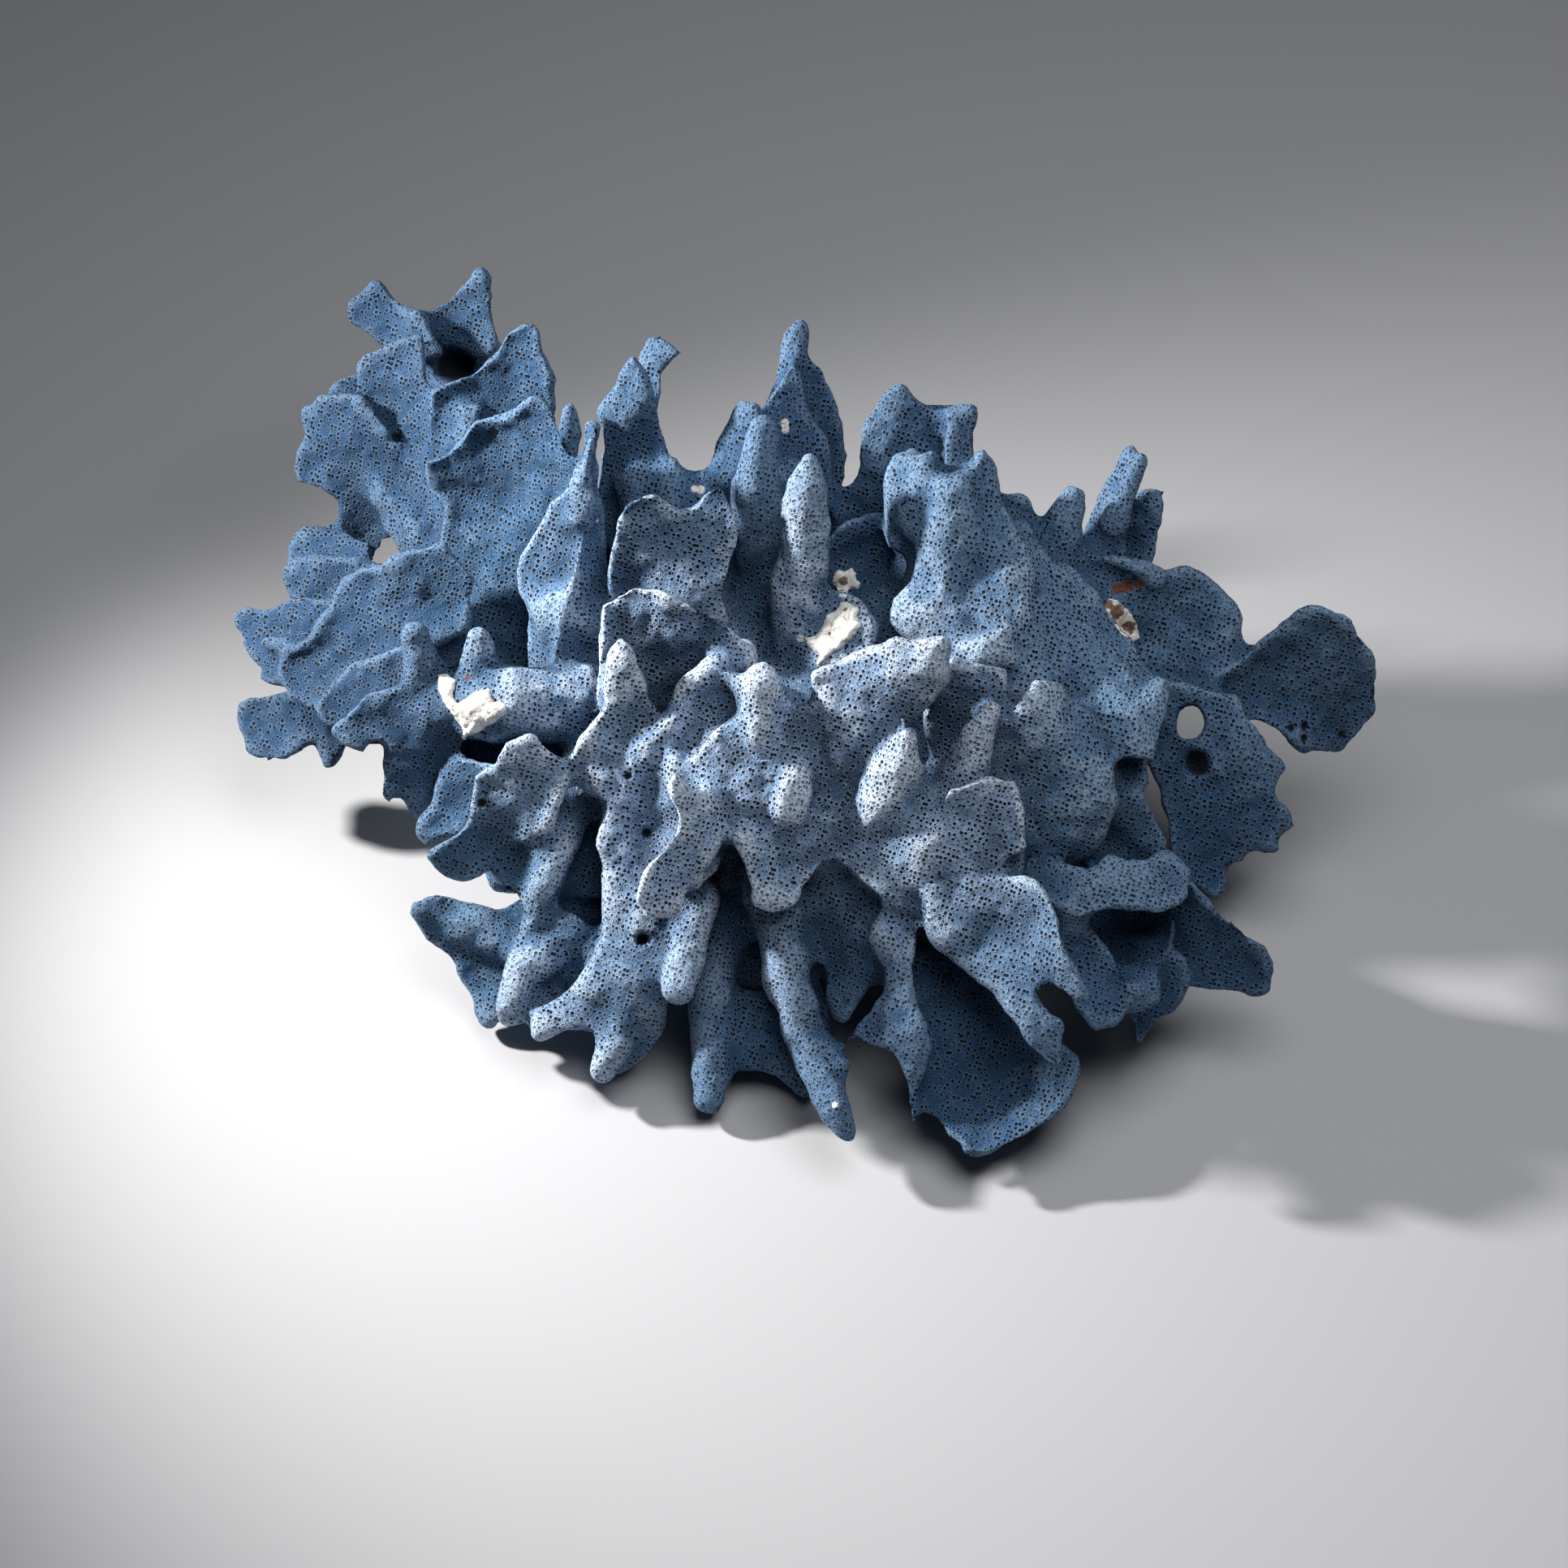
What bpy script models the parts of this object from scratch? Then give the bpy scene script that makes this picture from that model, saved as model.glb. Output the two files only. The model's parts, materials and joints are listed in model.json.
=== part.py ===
"""Blue ridge coral skeleton: a trunk cut off flat below, and the branches that fork from it.

Every blade and finger is drawn in millimetres as it looks from 45 degrees above the front: a to the
right, b up, d toward the viewer. The shapes of one branch are fused, thinned out to few triangles and
cut clear of the branches already made, so each main fork has a hairline joint.
"""

import math

import bmesh
import bpy
from mathutils import Matrix, Vector
from mathutils.bvhtree import BVHTree

MM = 0.001

# How the branches are drawn: the slant of the view, its distance, and where its middle lies.
VIEW_SLANT = math.radians(45)
VIEW_DISTANCE = 1500.0
MIDDLE_HEIGHT = 60.0
MIDDLE_BACK = -25.0

# The trunk, in millimetres about the middle of its cut: its core, and the lumps of its foot and crown,
# each a bearing, a distance from the middle, a height and a radius.
CORE_HEIGHT = 34.0
CORE_RADII = (50.0, 40.0, 36.0)
TRUNK_LUMPS = [(8, 26, 9, 22), (48, 22, 6, 21), (92, 20, 10, 20), (128, 27, 7, 21), (176, 30, 8, 21),
               (216, 26, 11, 20), (258, 20, 7, 21), (300, 22, 9, 20), (334, 30, 6, 19), (20, 26, 56, 14),
               (96, 24, 54, 13), (155, 28, 55, 15), (235, 20, 58, 13), (300, 24, 57, 12)]

# A blade's edge is thinner than its middle, and the whole blade waves.
SQUARE = 7.0
HOLE_SIDES = 10
EDGE_SHARE = 0.66
EDGE_WIDTH = 7.0
DISH_WIDTH = 10.0
WAVE_DEPTH = 4.0
WAVE_A = 8.0
WAVE_B = 10.0

# A root ties a blade to its stem where they don't already run well into each other.
ROOT_INSET = 3.0
ROOT_OVERLAP = 2.0
ROOT_RADIUS = 4.5
ROOT_TAPER = 0.8
ROOT_SEARCH_STEP = 2

# A broad blade has a keel behind it, a blade turned across it that runs back into the coral.
KEEL_INSET = 3.5
KEEL_LEAST = 14
KEEL_REACH = 0.62
KEEL_MOST = 30.0
KEEL_THICK = 5.5
KEEL_SLANT = 0.35
KEEL_STATIONS = 7
KEEL_LOBE = 0.22
KEEL_LOBE_TURN = 2.2
LOWEST_B_PLUS_D = -77.0

# How the tip of a finger is rounded: steps beyond its last point, and how much of its radius is left there.
# Its start is sunk by a share of its radius.
TIP_ROUNDING = ((0.4, 0.8), (0.62, 0.4))
START_SINK = 1.3

# How the branches are made.
GRAIN = 2.1
SMOOTHING_ROUNDS = 5
JOINT_GAP = 0.32
FINGER_SIDES = 3
TRIANGLES_PER_CM2 = 2.3
TRUNK_GRAIN = 3.0
TRUNK_TRIANGLES_PER_CM2 = 1.8
CRUST_GRAIN = 1.2
CRUST_TRIANGLES_PER_CM2 = 40
LEAST_TRIANGLES = 90

SKELETON_BLUE = (0.10, 0.19, 0.36, 1.0)
CRUST_WHITE = (0.78, 0.74, 0.66, 1.0)

# Points nearer than this, in metres, are one point.
MERGE = 1e-6
FLOOR_CUTTER_SIZE = 0.4
FAR_IN_VIEW = 200


def drawn(a, b, d):
    """The place in the model of a point drawn at (a, b), d millimetres toward the viewer."""
    near = 1 - d / VIEW_DISTANCE
    up = b * near * math.cos(VIEW_SLANT) + d * math.sin(VIEW_SLANT)
    back = b * near * math.sin(VIEW_SLANT) - d * math.cos(VIEW_SLANT)
    return Vector((a * near, back + MIDDLE_BACK, up + MIDDLE_HEIGHT)) * MM


def blade(at, lean, thick, outline, hole=(), dish=0):
    """A blade: a point (a, b, d) on it, how d grows with b and with a, its thickness, its outline.

    Its rim stands dish millimetres nearer to the viewer than its middle.
    """
    return {"kind": "blade", "at": at, "lean": lean, "thick": thick, "outline": outline, "hole": hole,
            "dish": dish}


def finger(*points):
    """A finger through points (a, b, d, radius)."""
    return {"kind": "finger", "points": points}


def stem(*points):
    """A stem that carries a branch out of the trunk, through points (a, b, d, radius)."""
    return {"kind": "stem", "points": points}


# The back left corner: a paw, a spike and two fans round a small cave.
BACK_LEFT_FAN = [
    stem((-20, 8, -44, 20), (-50, 34, -50, 18), (-72, 58, -60, 14), (-84, 84, -70, 9), (-82, 101, -82, 8)),
    blade((-98, 118, -66), (0.1, 0.2), 5, [
        (-99.6, 124.1), (-97, 120.3), (-93.3, 117.7), (-90.4, 116.7), (-88.4, 114.7), (-84, 106),
        (-92, 103), (-99, 108.1), (-102.5, 111.5), (-107.5, 113.6), (-107.8, 116.7), (-107, 119.6),
        (-104.8, 120.2), (-101.6, 123.8)]),
    blade((-76, 125, -62), (0.5, 0.1), 5.5, [
        (-74.5, 127.4), (-77.7, 124.2), (-80.6, 121.3), (-86, 117.3), (-87.8, 114.7), (-89.2, 111),
        (-89.5, 105), (-84, 105.5), (-78, 106), (-72, 104), (-69.5, 108), (-71.7, 115),
        (-72, 119.6), (-72.4, 124.2)]),
    blade((-80, 104, -82), (0.0, 0.0), 5, [(-92, 94), (-70, 92), (-69, 108), (-76, 115), (-87, 113)]),
    blade((-95, 106, -58), (0.0, 0.3), 6, [
        (-88.6, 111), (-95, 108.7), (-103.1, 106.6), (-105.1, 104.6), (-105.4, 100.6), (-104, 95),
        (-100, 85), (-95, 79.8), (-91.5, 75.2), (-84.6, 70.6), (-78, 75), (-76, 85), (-75, 93),
        (-85.2, 96), (-88.4, 100), (-88.8, 106)], dish=2),
    blade((-62, 112, -44), (0.45, -0.1), 6, [
        (-88.1, 79.8), (-87.2, 96.5), (-84.6, 97.7), (-74.8, 102.3), (-71, 106.1), (-68.7, 111.2),
        (-65.6, 112.2), (-64.7, 113.6), (-62.1, 114.3), (-60.4, 112.7), (-59.8, 106.9), (-57.5, 101.1),
        (-56, 93.1), (-58, 78), (-72, 70)], dish=3),
]

# The stepped fan at the left, with a small lobe behind it.
LEFT_FAN = [
    stem((-66, 48, -54, 12), (-88, 62, -58, 9), (-100, 76, -62, 5)),
    blade((-105, 80, -63), (0.2, 0.35), 5.5, [
        (-104, 95.4), (-107.7, 96.2), (-110, 95.4), (-114.6, 96), (-114.9, 94.2), (-118.7, 92.8),
        (-119.1, 90.2), (-118.1, 85.6), (-118.7, 83.3), (-121, 78.1), (-120.4, 74.3), (-115.2, 72.9),
        (-110, 69.7), (-109.7, 67.7), (-111.2, 64.8), (-109, 57), (-101, 54.5), (-98.6, 60), (-92, 62.6),
        (-84, 60), (-83, 71), (-91.5, 76), (-95, 84)], dish=3),
    blade((-108, 98, -72), (0.1, 0.3), 4.5, [
        (-104, 101), (-107.7, 100.9), (-110, 99.7), (-111.6, 97.7), (-111.7, 92), (-100, 88)]),
]

# The broad plate in front of the back left fans, and a short finger at its right.
LEFT_PLATE = [
    stem((-36, 26, -44, 15), (-58, 38, -44, 12), (-70, 52, -40, 8)),
    blade((-66, 92, -18), (0.5, 0.5), 6.5, [
        (-88.9, 79.2), (-83.5, 81.2), (-80, 83.8), (-78, 87.6), (-76, 89.6), (-72.5, 90.5), (-69, 90.2),
        (-66.7, 91.3), (-62.7, 95.7), (-60.9, 96), (-57.5, 93.1), (-55.2, 86.7), (-52, 76), (-56, 64),
        (-63, 50), (-68, 43), (-71.3, 35), (-79, 34), (-81.5, 50), (-84.6, 59.6), (-82.9, 69.4),
        (-87.8, 74)], dish=3),
    finger((-55, 72, -32, 4.4), (-53, 87, -27, 3.2), (-53, 93.5, -25, 1.8)),
    blade((-88, 66, -52), (0.3, 1.0), 6, [
        (-98, 61.5), (-91, 63.5), (-84, 61), (-76, 60), (-76, 78), (-84, 73), (-90, 75), (-96, 72)]),
]

# The tiers of small lobes at the far left, the folded plate before them and the square lobe below.
LEFT_TIERS = [
    stem((-60, 34, -44, 13), (-88, 38, -44, 10), (-110, 42, -50, 6)),
    stem((-84, 34, -46, 8), (-104, 20, -55, 5)),
    blade((-115, 60, -62), (-0.3, 0.3), 4.5, [
        (-110.9, 63.9), (-118.1, 63.9), (-120.1, 62.2), (-122.7, 57.6), (-119.8, 53), (-100, 50),
        (-102, 60)]),
    blade((-115, 50, -58), (-0.3, 0.3), 4.5, [
        (-108.6, 56.4), (-119.2, 55.9), (-122.7, 54.1), (-123.8, 52.7), (-123, 46.6), (-118, 42), (-98, 42),
        (-98, 54)]),
    blade((-125, 38, -54), (-0.3, 0.35), 4.5, [
        (-118, 47), (-123.8, 45.2), (-128.5, 43.3), (-133.1, 43.5), (-135.4, 42.6), (-136, 40.3),
        (-133.4, 36), (-133.8, 33.9), (-129.6, 29.6), (-125, 24), (-108, 24), (-102, 42)], dish=3),
    finger((-116, 32, -42, 3.4), (-124, 34, -44, 2.4), (-128.2, 34.8, -45, 1.2)),
    finger((-116, 25, -42, 3.4), (-124, 26, -46, 2.4), (-129.3, 26.6, -48, 1.2)),
    blade((-100, 42, -34), (0.1, 0.35), 5, [
        (-105.4, 53.3), (-99.6, 53.3), (-96.1, 55.6), (-84.6, 59.6), (-76, 50), (-78, 38), (-90, 32),
        (-105, 22), (-118.1, 19.2), (-122.1, 21.8), (-124.4, 26.1), (-125.3, 29), (-122.7, 32.8),
        (-114.6, 36), (-111.7, 41.1), (-109.4, 46.9)], dish=3),
    finger((-100, 52.5, -32, 2.4), (-107, 49.5, -33.5, 2.6), (-111, 42, -35.5, 2.6), (-115.5, 35.5, -38, 2.4),
           (-122, 31.5, -41, 2)),
    blade((-122, 14, -62), (-0.2, 0.3), 5, [
        (-118, 24), (-125.9, 22.4), (-134.2, 19.8), (-135.1, 15.2), (-132.8, 8.5), (-130.2, 6.5),
        (-126.2, 6), (-122.7, 6.5), (-116.9, 10.6), (-114, 10.6), (-113.2, 5.1), (-111.7, 4.2),
        (-108.8, 8.3), (-100, 18), (-102, 26)], dish=3),
]

# The arm that reaches left, with a cupped rim, two stub fingers and a fringe.
LEFT_ARM = [
    stem((-30, 10, -28, 15), (-52, 20, -10, 10), (-66, 20, -7, 9), (-78, 21, -11, 8.5), (-90, 23, -17, 6)),
    blade((-65, 20, -9), (0.1, 0.1), 8, [
        (-84, 22), (-80, 11), (-70.8, 10.3), (-59.2, 13.7), (-48, 12), (-46, 22), (-60, 26)]),
    blade((-105, 22, -30), (0.3, 0.4), 4.5, [
        (-90, 35), (-97.3, 32.5), (-101.9, 30.2), (-105.4, 30.2), (-111.2, 25), (-115.2, 19.8),
        (-115.2, 16.9), (-112.3, 13.2), (-104, 12), (-88, 16)], dish=3),
    blade((-100, 15, -18), (0.2, 0.3), 5, [
        (-90, 25), (-97.3, 23.3), (-102.5, 23), (-107.1, 17.5), (-112.3, 13.2), (-110, 10.6), (-103.4, 6.7),
        (-101.6, 10), (-98.7, 11.1), (-96, 8), (-86, 8), (-82, 18)], dish=3),
    finger((-86, 20, -15, 6), (-89.5, 30, -10, 5), (-91, 37.6, -6, 3.8)),
    finger((-76, 20, -12, 6.5), (-75.4, 31, -7, 5.2), (-75.8, 37, -4, 3.4)),
    blade((-92, 2, -20), (0.5, 0.1), 5, [
        (-97.9, 9.7), (-99.2, 4.6), (-99.9, -3.6), (-97.2, -5.1), (-95.6, -2.1), (-93.3, -2.1),
        (-92.1, -7.7), (-90, -9.2), (-88.2, -5.6), (-86.2, -1.5), (-82, 6), (-76, 14), (-80, 20),
        (-94, 18)]),
]

# The tall pale crest left of the middle.
LEFT_CREST = [
    stem((-24, 20, -36, 16), (-44, 32, -26, 12), (-56, 44, -14, 7)),
    blade((-48, 80, -5), (0.2, 0.5), 6, [
        (-46.9, 90.5), (-48.8, 81.2), (-50.2, 75.2), (-58.1, 69.7), (-59.8, 64.8), (-65.6, 55.6),
        (-66.4, 51), (-65.6, 46.3), (-62.7, 43.5), (-63.8, 25.6), (-62, 16), (-54, 16), (-55, 34),
        (-51.4, 48), (-48.6, 60), (-46.4, 69.5), (-48, 77), (-46, 88.7)]),
    blade((-48, 66, -11), (0.2, -0.9), 5, [
        (-47, 88), (-48.6, 77), (-48, 69), (-50, 60), (-53, 48), (-57, 34), (-56, 16), (-48, 14),
        (-46, 30), (-44, 44), (-43.6, 58.5), (-45, 67.7), (-46.8, 79), (-45.9, 88)]),
    finger((-54, 30, -24, 5), (-51, 52, -16, 4), (-48.6, 68, -12, 3.2), (-47.9, 80, -9, 2.6),
           (-47, 88.6, -8, 2.3)),
    finger((-50, 66, -10, 4), (-49.8, 75, -7, 2.8), (-49.4, 78, -6, 2)),
]

# The lobes low at the front left, with a dark plate behind them under the arm.
FRONT_LEFT_LOBES = [
    stem((-24, -4, -34, 16), (-52, -6, -18, 11), (-68, -10, -15, 6)),
    stem((-34, -16, -32, 14), (-52, -30, -20, 10), (-64, -44, -14, 6)),
    blade((-78, 0, -14), (0.3, 0.3), 4.5, [
        (-71.5, 4.6), (-77.2, 6.4), (-82.8, 5.9), (-85.4, 1), (-86.4, -5.6), (-89.5, -9.7), (-90.3, -12.8),
        (-88.5, -15.1), (-83.3, -12.6), (-76, -13), (-60, -6), (-58, 8)], dish=3),
    blade((-78, -12, -4), (0.3, 0.3), 5, [
        (-62, 12), (-69, 10), (-71.3, 4.6), (-76.4, 1.8), (-76.4, -3.6), (-77.2, -9.2), (-81.3, -13.3),
        (-88.7, -17.9), (-83.8, -23.6), (-79.7, -24.1), (-74.1, -22.3),
        (-70, -16), (-58, -12), (-52, 4)], dish=3),
    blade((-66, -20, -6), (0.2, 0.3), 4.5, [
        (-58, -8), (-62.3, -13.3), (-66.9, -14.9), (-72.1, -20.5), (-69.5, -22.6), (-65.4, -27.7),
        (-56, -28), (-50, -14)]),
    blade((-80, -34, -18), (0.2, 0.2), 5.5, [
        (-56, -26), (-65.9, -27.7), (-70, -30.8), (-74.1, -31.3), (-81.3, -27.9), (-85.9, -27.2),
        (-91.8, -29.2), (-92.5, -31.8), (-88.5, -38.5), (-80.3, -43.8), (-80.8, -46.7), (-77.2, -52.3),
        (-74.6, -58.5), (-72.1, -60), (-66, -54), (-56, -42)]),
    blade((-62, -45, -8), (0.1, 0.1), 6, [
        (-52, -31), (-58.7, -35.1), (-65.4, -37.4), (-67.4, -43.6), (-71, -54.4), (-69.5, -59.2),
        (-66.4, -59.7), (-60.3, -55.4), (-50, -50), (-44, -38)]),
    finger((-49, 2, -6, 7), (-56, -12, -3, 6.2), (-59, -24, -4, 5.6), (-61.5, -35, -7, 4)),
    finger((-68, -38, -16, 6), (-79, -34, -17, 5.4), (-87, -31.5, -18, 4.2)),
    finger((-56, -40, -8, 7), (-63, -46, -6, 5.2), (-67.5, -54, -6, 3.4)),
    blade((-48, -22, -10), (0.0, 0.0), 4.5, [
        (-48, -14), (-52.6, -22.6), (-55.6, -28.5), (-46, -29), (-40, -20)]),
    blade((-66, 4, -24), (0.2, 0.0), 5, [
        (-82, 4), (-79, 13), (-66, 16), (-50, 15), (-48, -6), (-62, -12), (-76, -6)]),
]

# The thick stem at the front left, from its raised finger down to its toes.
FRONT_LEFT_STEM = [
    stem((-14, 2, -26, 16), (-34, -4, -4, 11), (-36, -28, -3, 8), (-38, -48, -5, 7)),
    blade((-40, 30, 18), (0.5, 0.0), 10, [
        (-40.6, 36.2), (-42.7, 33.4), (-44.2, 23.6), (-44.4, 18.6), (-51.1, 10.2), (-52.9, 5.3), (-50, -2),
        (-38, -6), (-30, 6), (-31.8, 15.8), (-34.6, 26.4), (-38.5, 34.8)]),
    blade((-35, -10, 8), (0.2, 0.1), 10, [
        (-49.5, 2.1), (-43.1, -5.6), (-46.9, -14.9), (-43.3, -23.6), (-43.8, -34.4), (-47.9, -46.2),
        (-55.6, -52.8), (-62.3, -55.9), (-62.3, -61.5), (-60.6, -63.3), (-53.6, -60.1), (-44.4, -60),
        (-44.4, -67.1), (-44.6, -71), (-41, -72.4), (-38.1, -71), (-33.9, -67.8), (-29.7, -59.4), (-28, -44),
        (-22, -26), (-20, 2), (-34, 12)]),
    blade((-13, 12, 20), (0.35, 0.1), 8, [
        (-12.5, 16.1), (-15.3, 15.1), (-20.2, 10.2), (-25.1, 1.1), (-25, -10), (-8, -16), (0, 0),
        (-4.1, 10.9)]),
    finger((-27, -4, 12, 4.4), (-27, 2, 16, 3), (-26.9, 6, 18, 1.5)),
    blade((-30, -20, 25), (0.1, -0.45), 5.5, [
        (-26.9, 3), (-23.7, -1), (-18.1, -2.4), (-15, -5.2), (-13.9, -9.4), (-18.1, -19.9), (-25.1, -27.7),
        (-26.2, -31.9), (-33, -33), (-36.7, -28.4), (-32.9, -19.2), (-25.1, -10.1), (-28.3, 0)]),
    finger((-22, -14, 10, 8), (-24, -22, 16, 6)),
    finger((-22, -28, 4, 6), (-24, -42, 10, 4.8), (-25.8, -51.5, 15, 4.4)),
    finger((-38, -52, -2, 7), (-42, -65, 0, 4.8), (-45.2, -72.2, 0.5, 2.9)),
]

# The fingers and the web that hang over the front, round a dark cave.
FRONT_CENTRE = [
    stem((0, -10, -26, 17), (-1, -24, -4, 11), (0, -38, 2, 6.4)),
    stem(
        (-4, -18, -28, 14), (-18, -40, -8, 7), (-18, -54, -4, 6.2), (-17.5, -67, -1, 5.6), (-18, -79, 2, 4.2)),
    finger((0, -36, 1, 6.4), (1, -48, 6, 5.8), (4.5, -60, 10, 5.3), (9, -72, 14, 5), (13, -81, 18, 4.2),
           (15.8, -87, 20, 2)),
    finger((10, -66, 13, 4), (15, -70, 14, 3)),
    blade((-5, -60, -7), (-0.2, 0.0), 5, [
        (-18, -70), (-12.2, -70.3), (-3, -70.6), (3.3, -76.6), (6.1, -77.8), (12, -66), (10, -50),
        (-14, -51), (-22, -58)]),
    blade((0, -18, 16), (0.1, 0.0), 9, [
        (-12, -12), (-8, -24.3), (-7.3, -28.5), (-2.4, -31.5), (2.6, -29.9), (5.4, -24.3), (12, -18),
        (14, -8), (-6, -4)]),
    blade((12, -40, 3), (0.1, 0.25), 6, [
        (8, -14), (6.1, -33.5), (10.3, -46.1), (10.3, -53.1), (12.4, -58), (15.2, -58.7), (22, -48),
        (28, -34), (26, -14)]),
    finger((6, -30, -10, 4), (7.5, -46, -7, 3.4)),
]

# The curled saddle in the middle, its knob, the hanging finger and the plate behind.
CENTRE_SADDLE = [
    stem((-8, 12, -24, 17), (-14, 18, -4, 12), (2, 4, 2, 10)),
    stem((-14, 28, -30, 15), (-24, 46, -18, 9)),
    blade((-25, 45, 10), (0.5, 0.0), 7, [
        (-45, 44), (-37.2, 48.7), (-31, 47.7), (-25.4, 44.6), (-19.5, 42.5), (-13.9, 39), (-10.4, 34.8),
        (-9.6, 29.9), (-12, 20), (-20, 8), (-34, 6), (-46, 18)], dish=5),
    finger((-11, 31, 8, 4.6), (-17, 28, 14, 4), (-23, 23.5, 16, 3.6), (-27, 17, 15, 3.4), (-33, 13, 12, 4)),
    blade((-22, 15, 13), (0.3, 0.0), 6, [
        (-31, 14), (-23, 22), (-13, 28), (-12.5, 21.5), (-9, 12), (-20, 4), (-34, 2)]),
    blade((-4, 28, 24), (0.6, 0.0), 8, [
        (-13.9, 27.8), (-10.4, 26.4), (-8.3, 28.8), (-4.8, 30.2), (-2, 28.5), (0.1, 20.8), (8.5, 17.2),
        (16.2, 12.3), (14, 2), (0, 0), (-10, 8)]),
    finger((-4, 6, 14, 8), (-5.5, 17, 19, 7), (-6, 25, 23, 5)),
    finger((3.4, 10, 13, 5.6), (3, 4, 16.5, 5.2), (1.8, -2, 19, 5), (0.4, -7.5, 19, 4.4)),
    blade((-25, 70, 0), (0.5, 0.0), 7, [
        (-39.7, 68.2), (-36.2, 70.8), (-31, 71.5), (-27.4, 67.7), (-22.8, 66.7), (-19.7, 71.8),
        (-15.9, 74.4), (-13.8, 71.3), (-10.5, 61), (-14, 50), (-14, 38),
        (-26, 34), (-44, 38), (-43, 56)], dish=3),
    finger((-20, 56, -7, 5), (-17.5, 66, -2, 4.2), (-16.6, 71.5, -1, 3)),
]

# The spires at the back of the middle.
BACK_SPIRES = [
    stem((-2, 28, -40, 15), (-2, 54, -36, 13), (0, 76, -36, 8)),
    stem((-10, 36, -42, 13), (-30, 56, -38, 10), (-37, 76, -33, 6)),
    blade((-37, 103, -28), (0.3, 0.1), 9, [
        (-37.2, 105.4), (-40.8, 101), (-41.8, 97.4), (-45.9, 91.8), (-44.4, 84.6), (-46, 66), (-42, 54),
        (-28, 54), (-26, 72), (-30, 85.1), (-31.8, 94.4), (-32.3, 98.5)]),
    blade((-30, 108, -40), (0.1, 0.1), 5.5, [
        (-33.4, 110.8), (-30, 110.6), (-25.4, 106.4), (-27.6, 104.4), (-30.6, 102), (-30, 96.9),
        (-30.4, 86), (-39, 86), (-37.4, 100), (-35.6, 105.1)]),
    finger((-28, 60, -34, 8), (-27.5, 74, -31, 6), (-28, 79, -30, 3)),
    finger((-20, 58, -36, 8), (-21, 72, -32, 6), (-21, 76, -31, 3)),
    blade((-11, 92, -28), (0.3, 0.2), 5.5, [
        (-6.4, 93.3), (-11, 94.1), (-13.6, 89.2), (-17.4, 83.1), (-19, 75.9), (-18, 60), (-4, 60),
        (-2, 80)]),
    finger((-5, 58, -28, 8), (-7, 72, -20, 6.4), (-6.5, 82, -17, 5), (-5.4, 88.6, -15, 3.2)),
    finger((0, 92, -46, 5), (2.6, 104, -45, 3.8), (3, 110, -45, 3.4), (4.2, 113.8, -45, 2.4)),
    blade((2, 100, -38), (0.2, 0.0), 6.5, [
        (2.3, 104.1), (-0.8, 99.5), (-6.9, 91.8), (-8, 70), (12, 68), (12.6, 79), (10.5, 85.6), (5.6, 91.3),
        (4.9, 100.5)]),
    blade((9, 100, -46), (0.2, -0.1), 4.5, [
        (5.6, 103.1), (9.5, 103.6), (12.5, 94.4), (12.8, 90.3), (15.4, 81), (14, 66), (0, 66), (2, 92)]),
    blade((12, 38, -12), (0.2, 0.45), 7, [
        (-3, 50), (10, 48), (19, 46), (23, 38), (20, 28), (9, 24), (-4, 28)]),
    finger((3, 36, -20, 9), (3.6, 48, -12, 7.4), (5.8, 64, -4, 6.2), (5.7, 75, 2, 4.8), (6.6, 80.5, 4, 2.8)),
]

# The big crest at the back right, with the plates behind it.
BACK_RIGHT_CREST = [
    stem((16, 30, -40, 17), (36, 46, -28, 13), (44, 62, -22, 9)),
    blade((28, 96, -36), (0.25, 0.1), 6, [
        (29.1, 98.3), (31.2, 94.8), (37.5, 92.3), (41, 93), (47.6, 93.2), (46.2, 82.5), (44, 66),
        (38, 52), (12, 54), (12.9, 73.4), (16.4, 74.1), (18.5, 78.3), (18.9, 84.6), (21, 91.6),
        (26.2, 96.9)], dish=2),
    blade((20, 64, -24), (0.3, 0.1), 5.5, [
        (10, 60), (14.1, 64.1), (20.8, 66.4), (25.4, 66.4), (34, 70), (38, 38), (14, 32), (9, 46)], dish=3),
    blade((44, 92, -31), (0.1, 0.1), 4, [
        (40, 92.6), (47.6, 93.4), (47.3, 88), (46.2, 80), (46, 66), (36, 66), (40, 80)]),
    blade((40, 80, -4), (-0.12, 0.12), 9, [
        (31.5, 82.9), (34.5, 80.2), (36.8, 82.2), (39, 77.5), (41.7, 79.4), (44.5, 78.5), (47.5, 82.7),
        (49.7, 82.9), (51, 79), (49.5, 74), (55, 67.1), (58.5, 60.1), (61, 53), (62, 42),
        (58, 30), (46, 24), (36, 30),
        (27.7, 37.6), (25.9, 41.1), (27, 45.3), (31.9, 48.8), (32.2, 58.7), (31, 66), (26.6, 72),
        (27, 78.3)], dish=-4),
    finger((30, 62, -12, 6), (28.6, 73, -8, 4.4), (29.6, 79, -7, 3.2)),
    finger((34, 64, -6, 6), (34.6, 75, -3, 4.6), (35.4, 79.5, -2, 3)),
    finger((41, 50, -10, 12), (41.4, 64, -4, 9), (41.6, 73, 1, 5.4)),
    finger((49, 62, -8, 6), (49.2, 74, -5, 4.2), (49.6, 80, -4, 2.6)),
    finger((57, 60, -11, 6), (61, 50, -9, 7.5), (62, 39, -8, 7.5), (58, 30, -7, 6)),
    blade((55, 70, -16), (0.4, -0.1), 6.5, [
        (62.9, 65.1), (59.4, 70.8), (57.3, 71.5), (53.8, 71.5), (50.7, 77.8), (44, 80), (42, 56), (60, 46),
        (68, 58)]),
]

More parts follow.
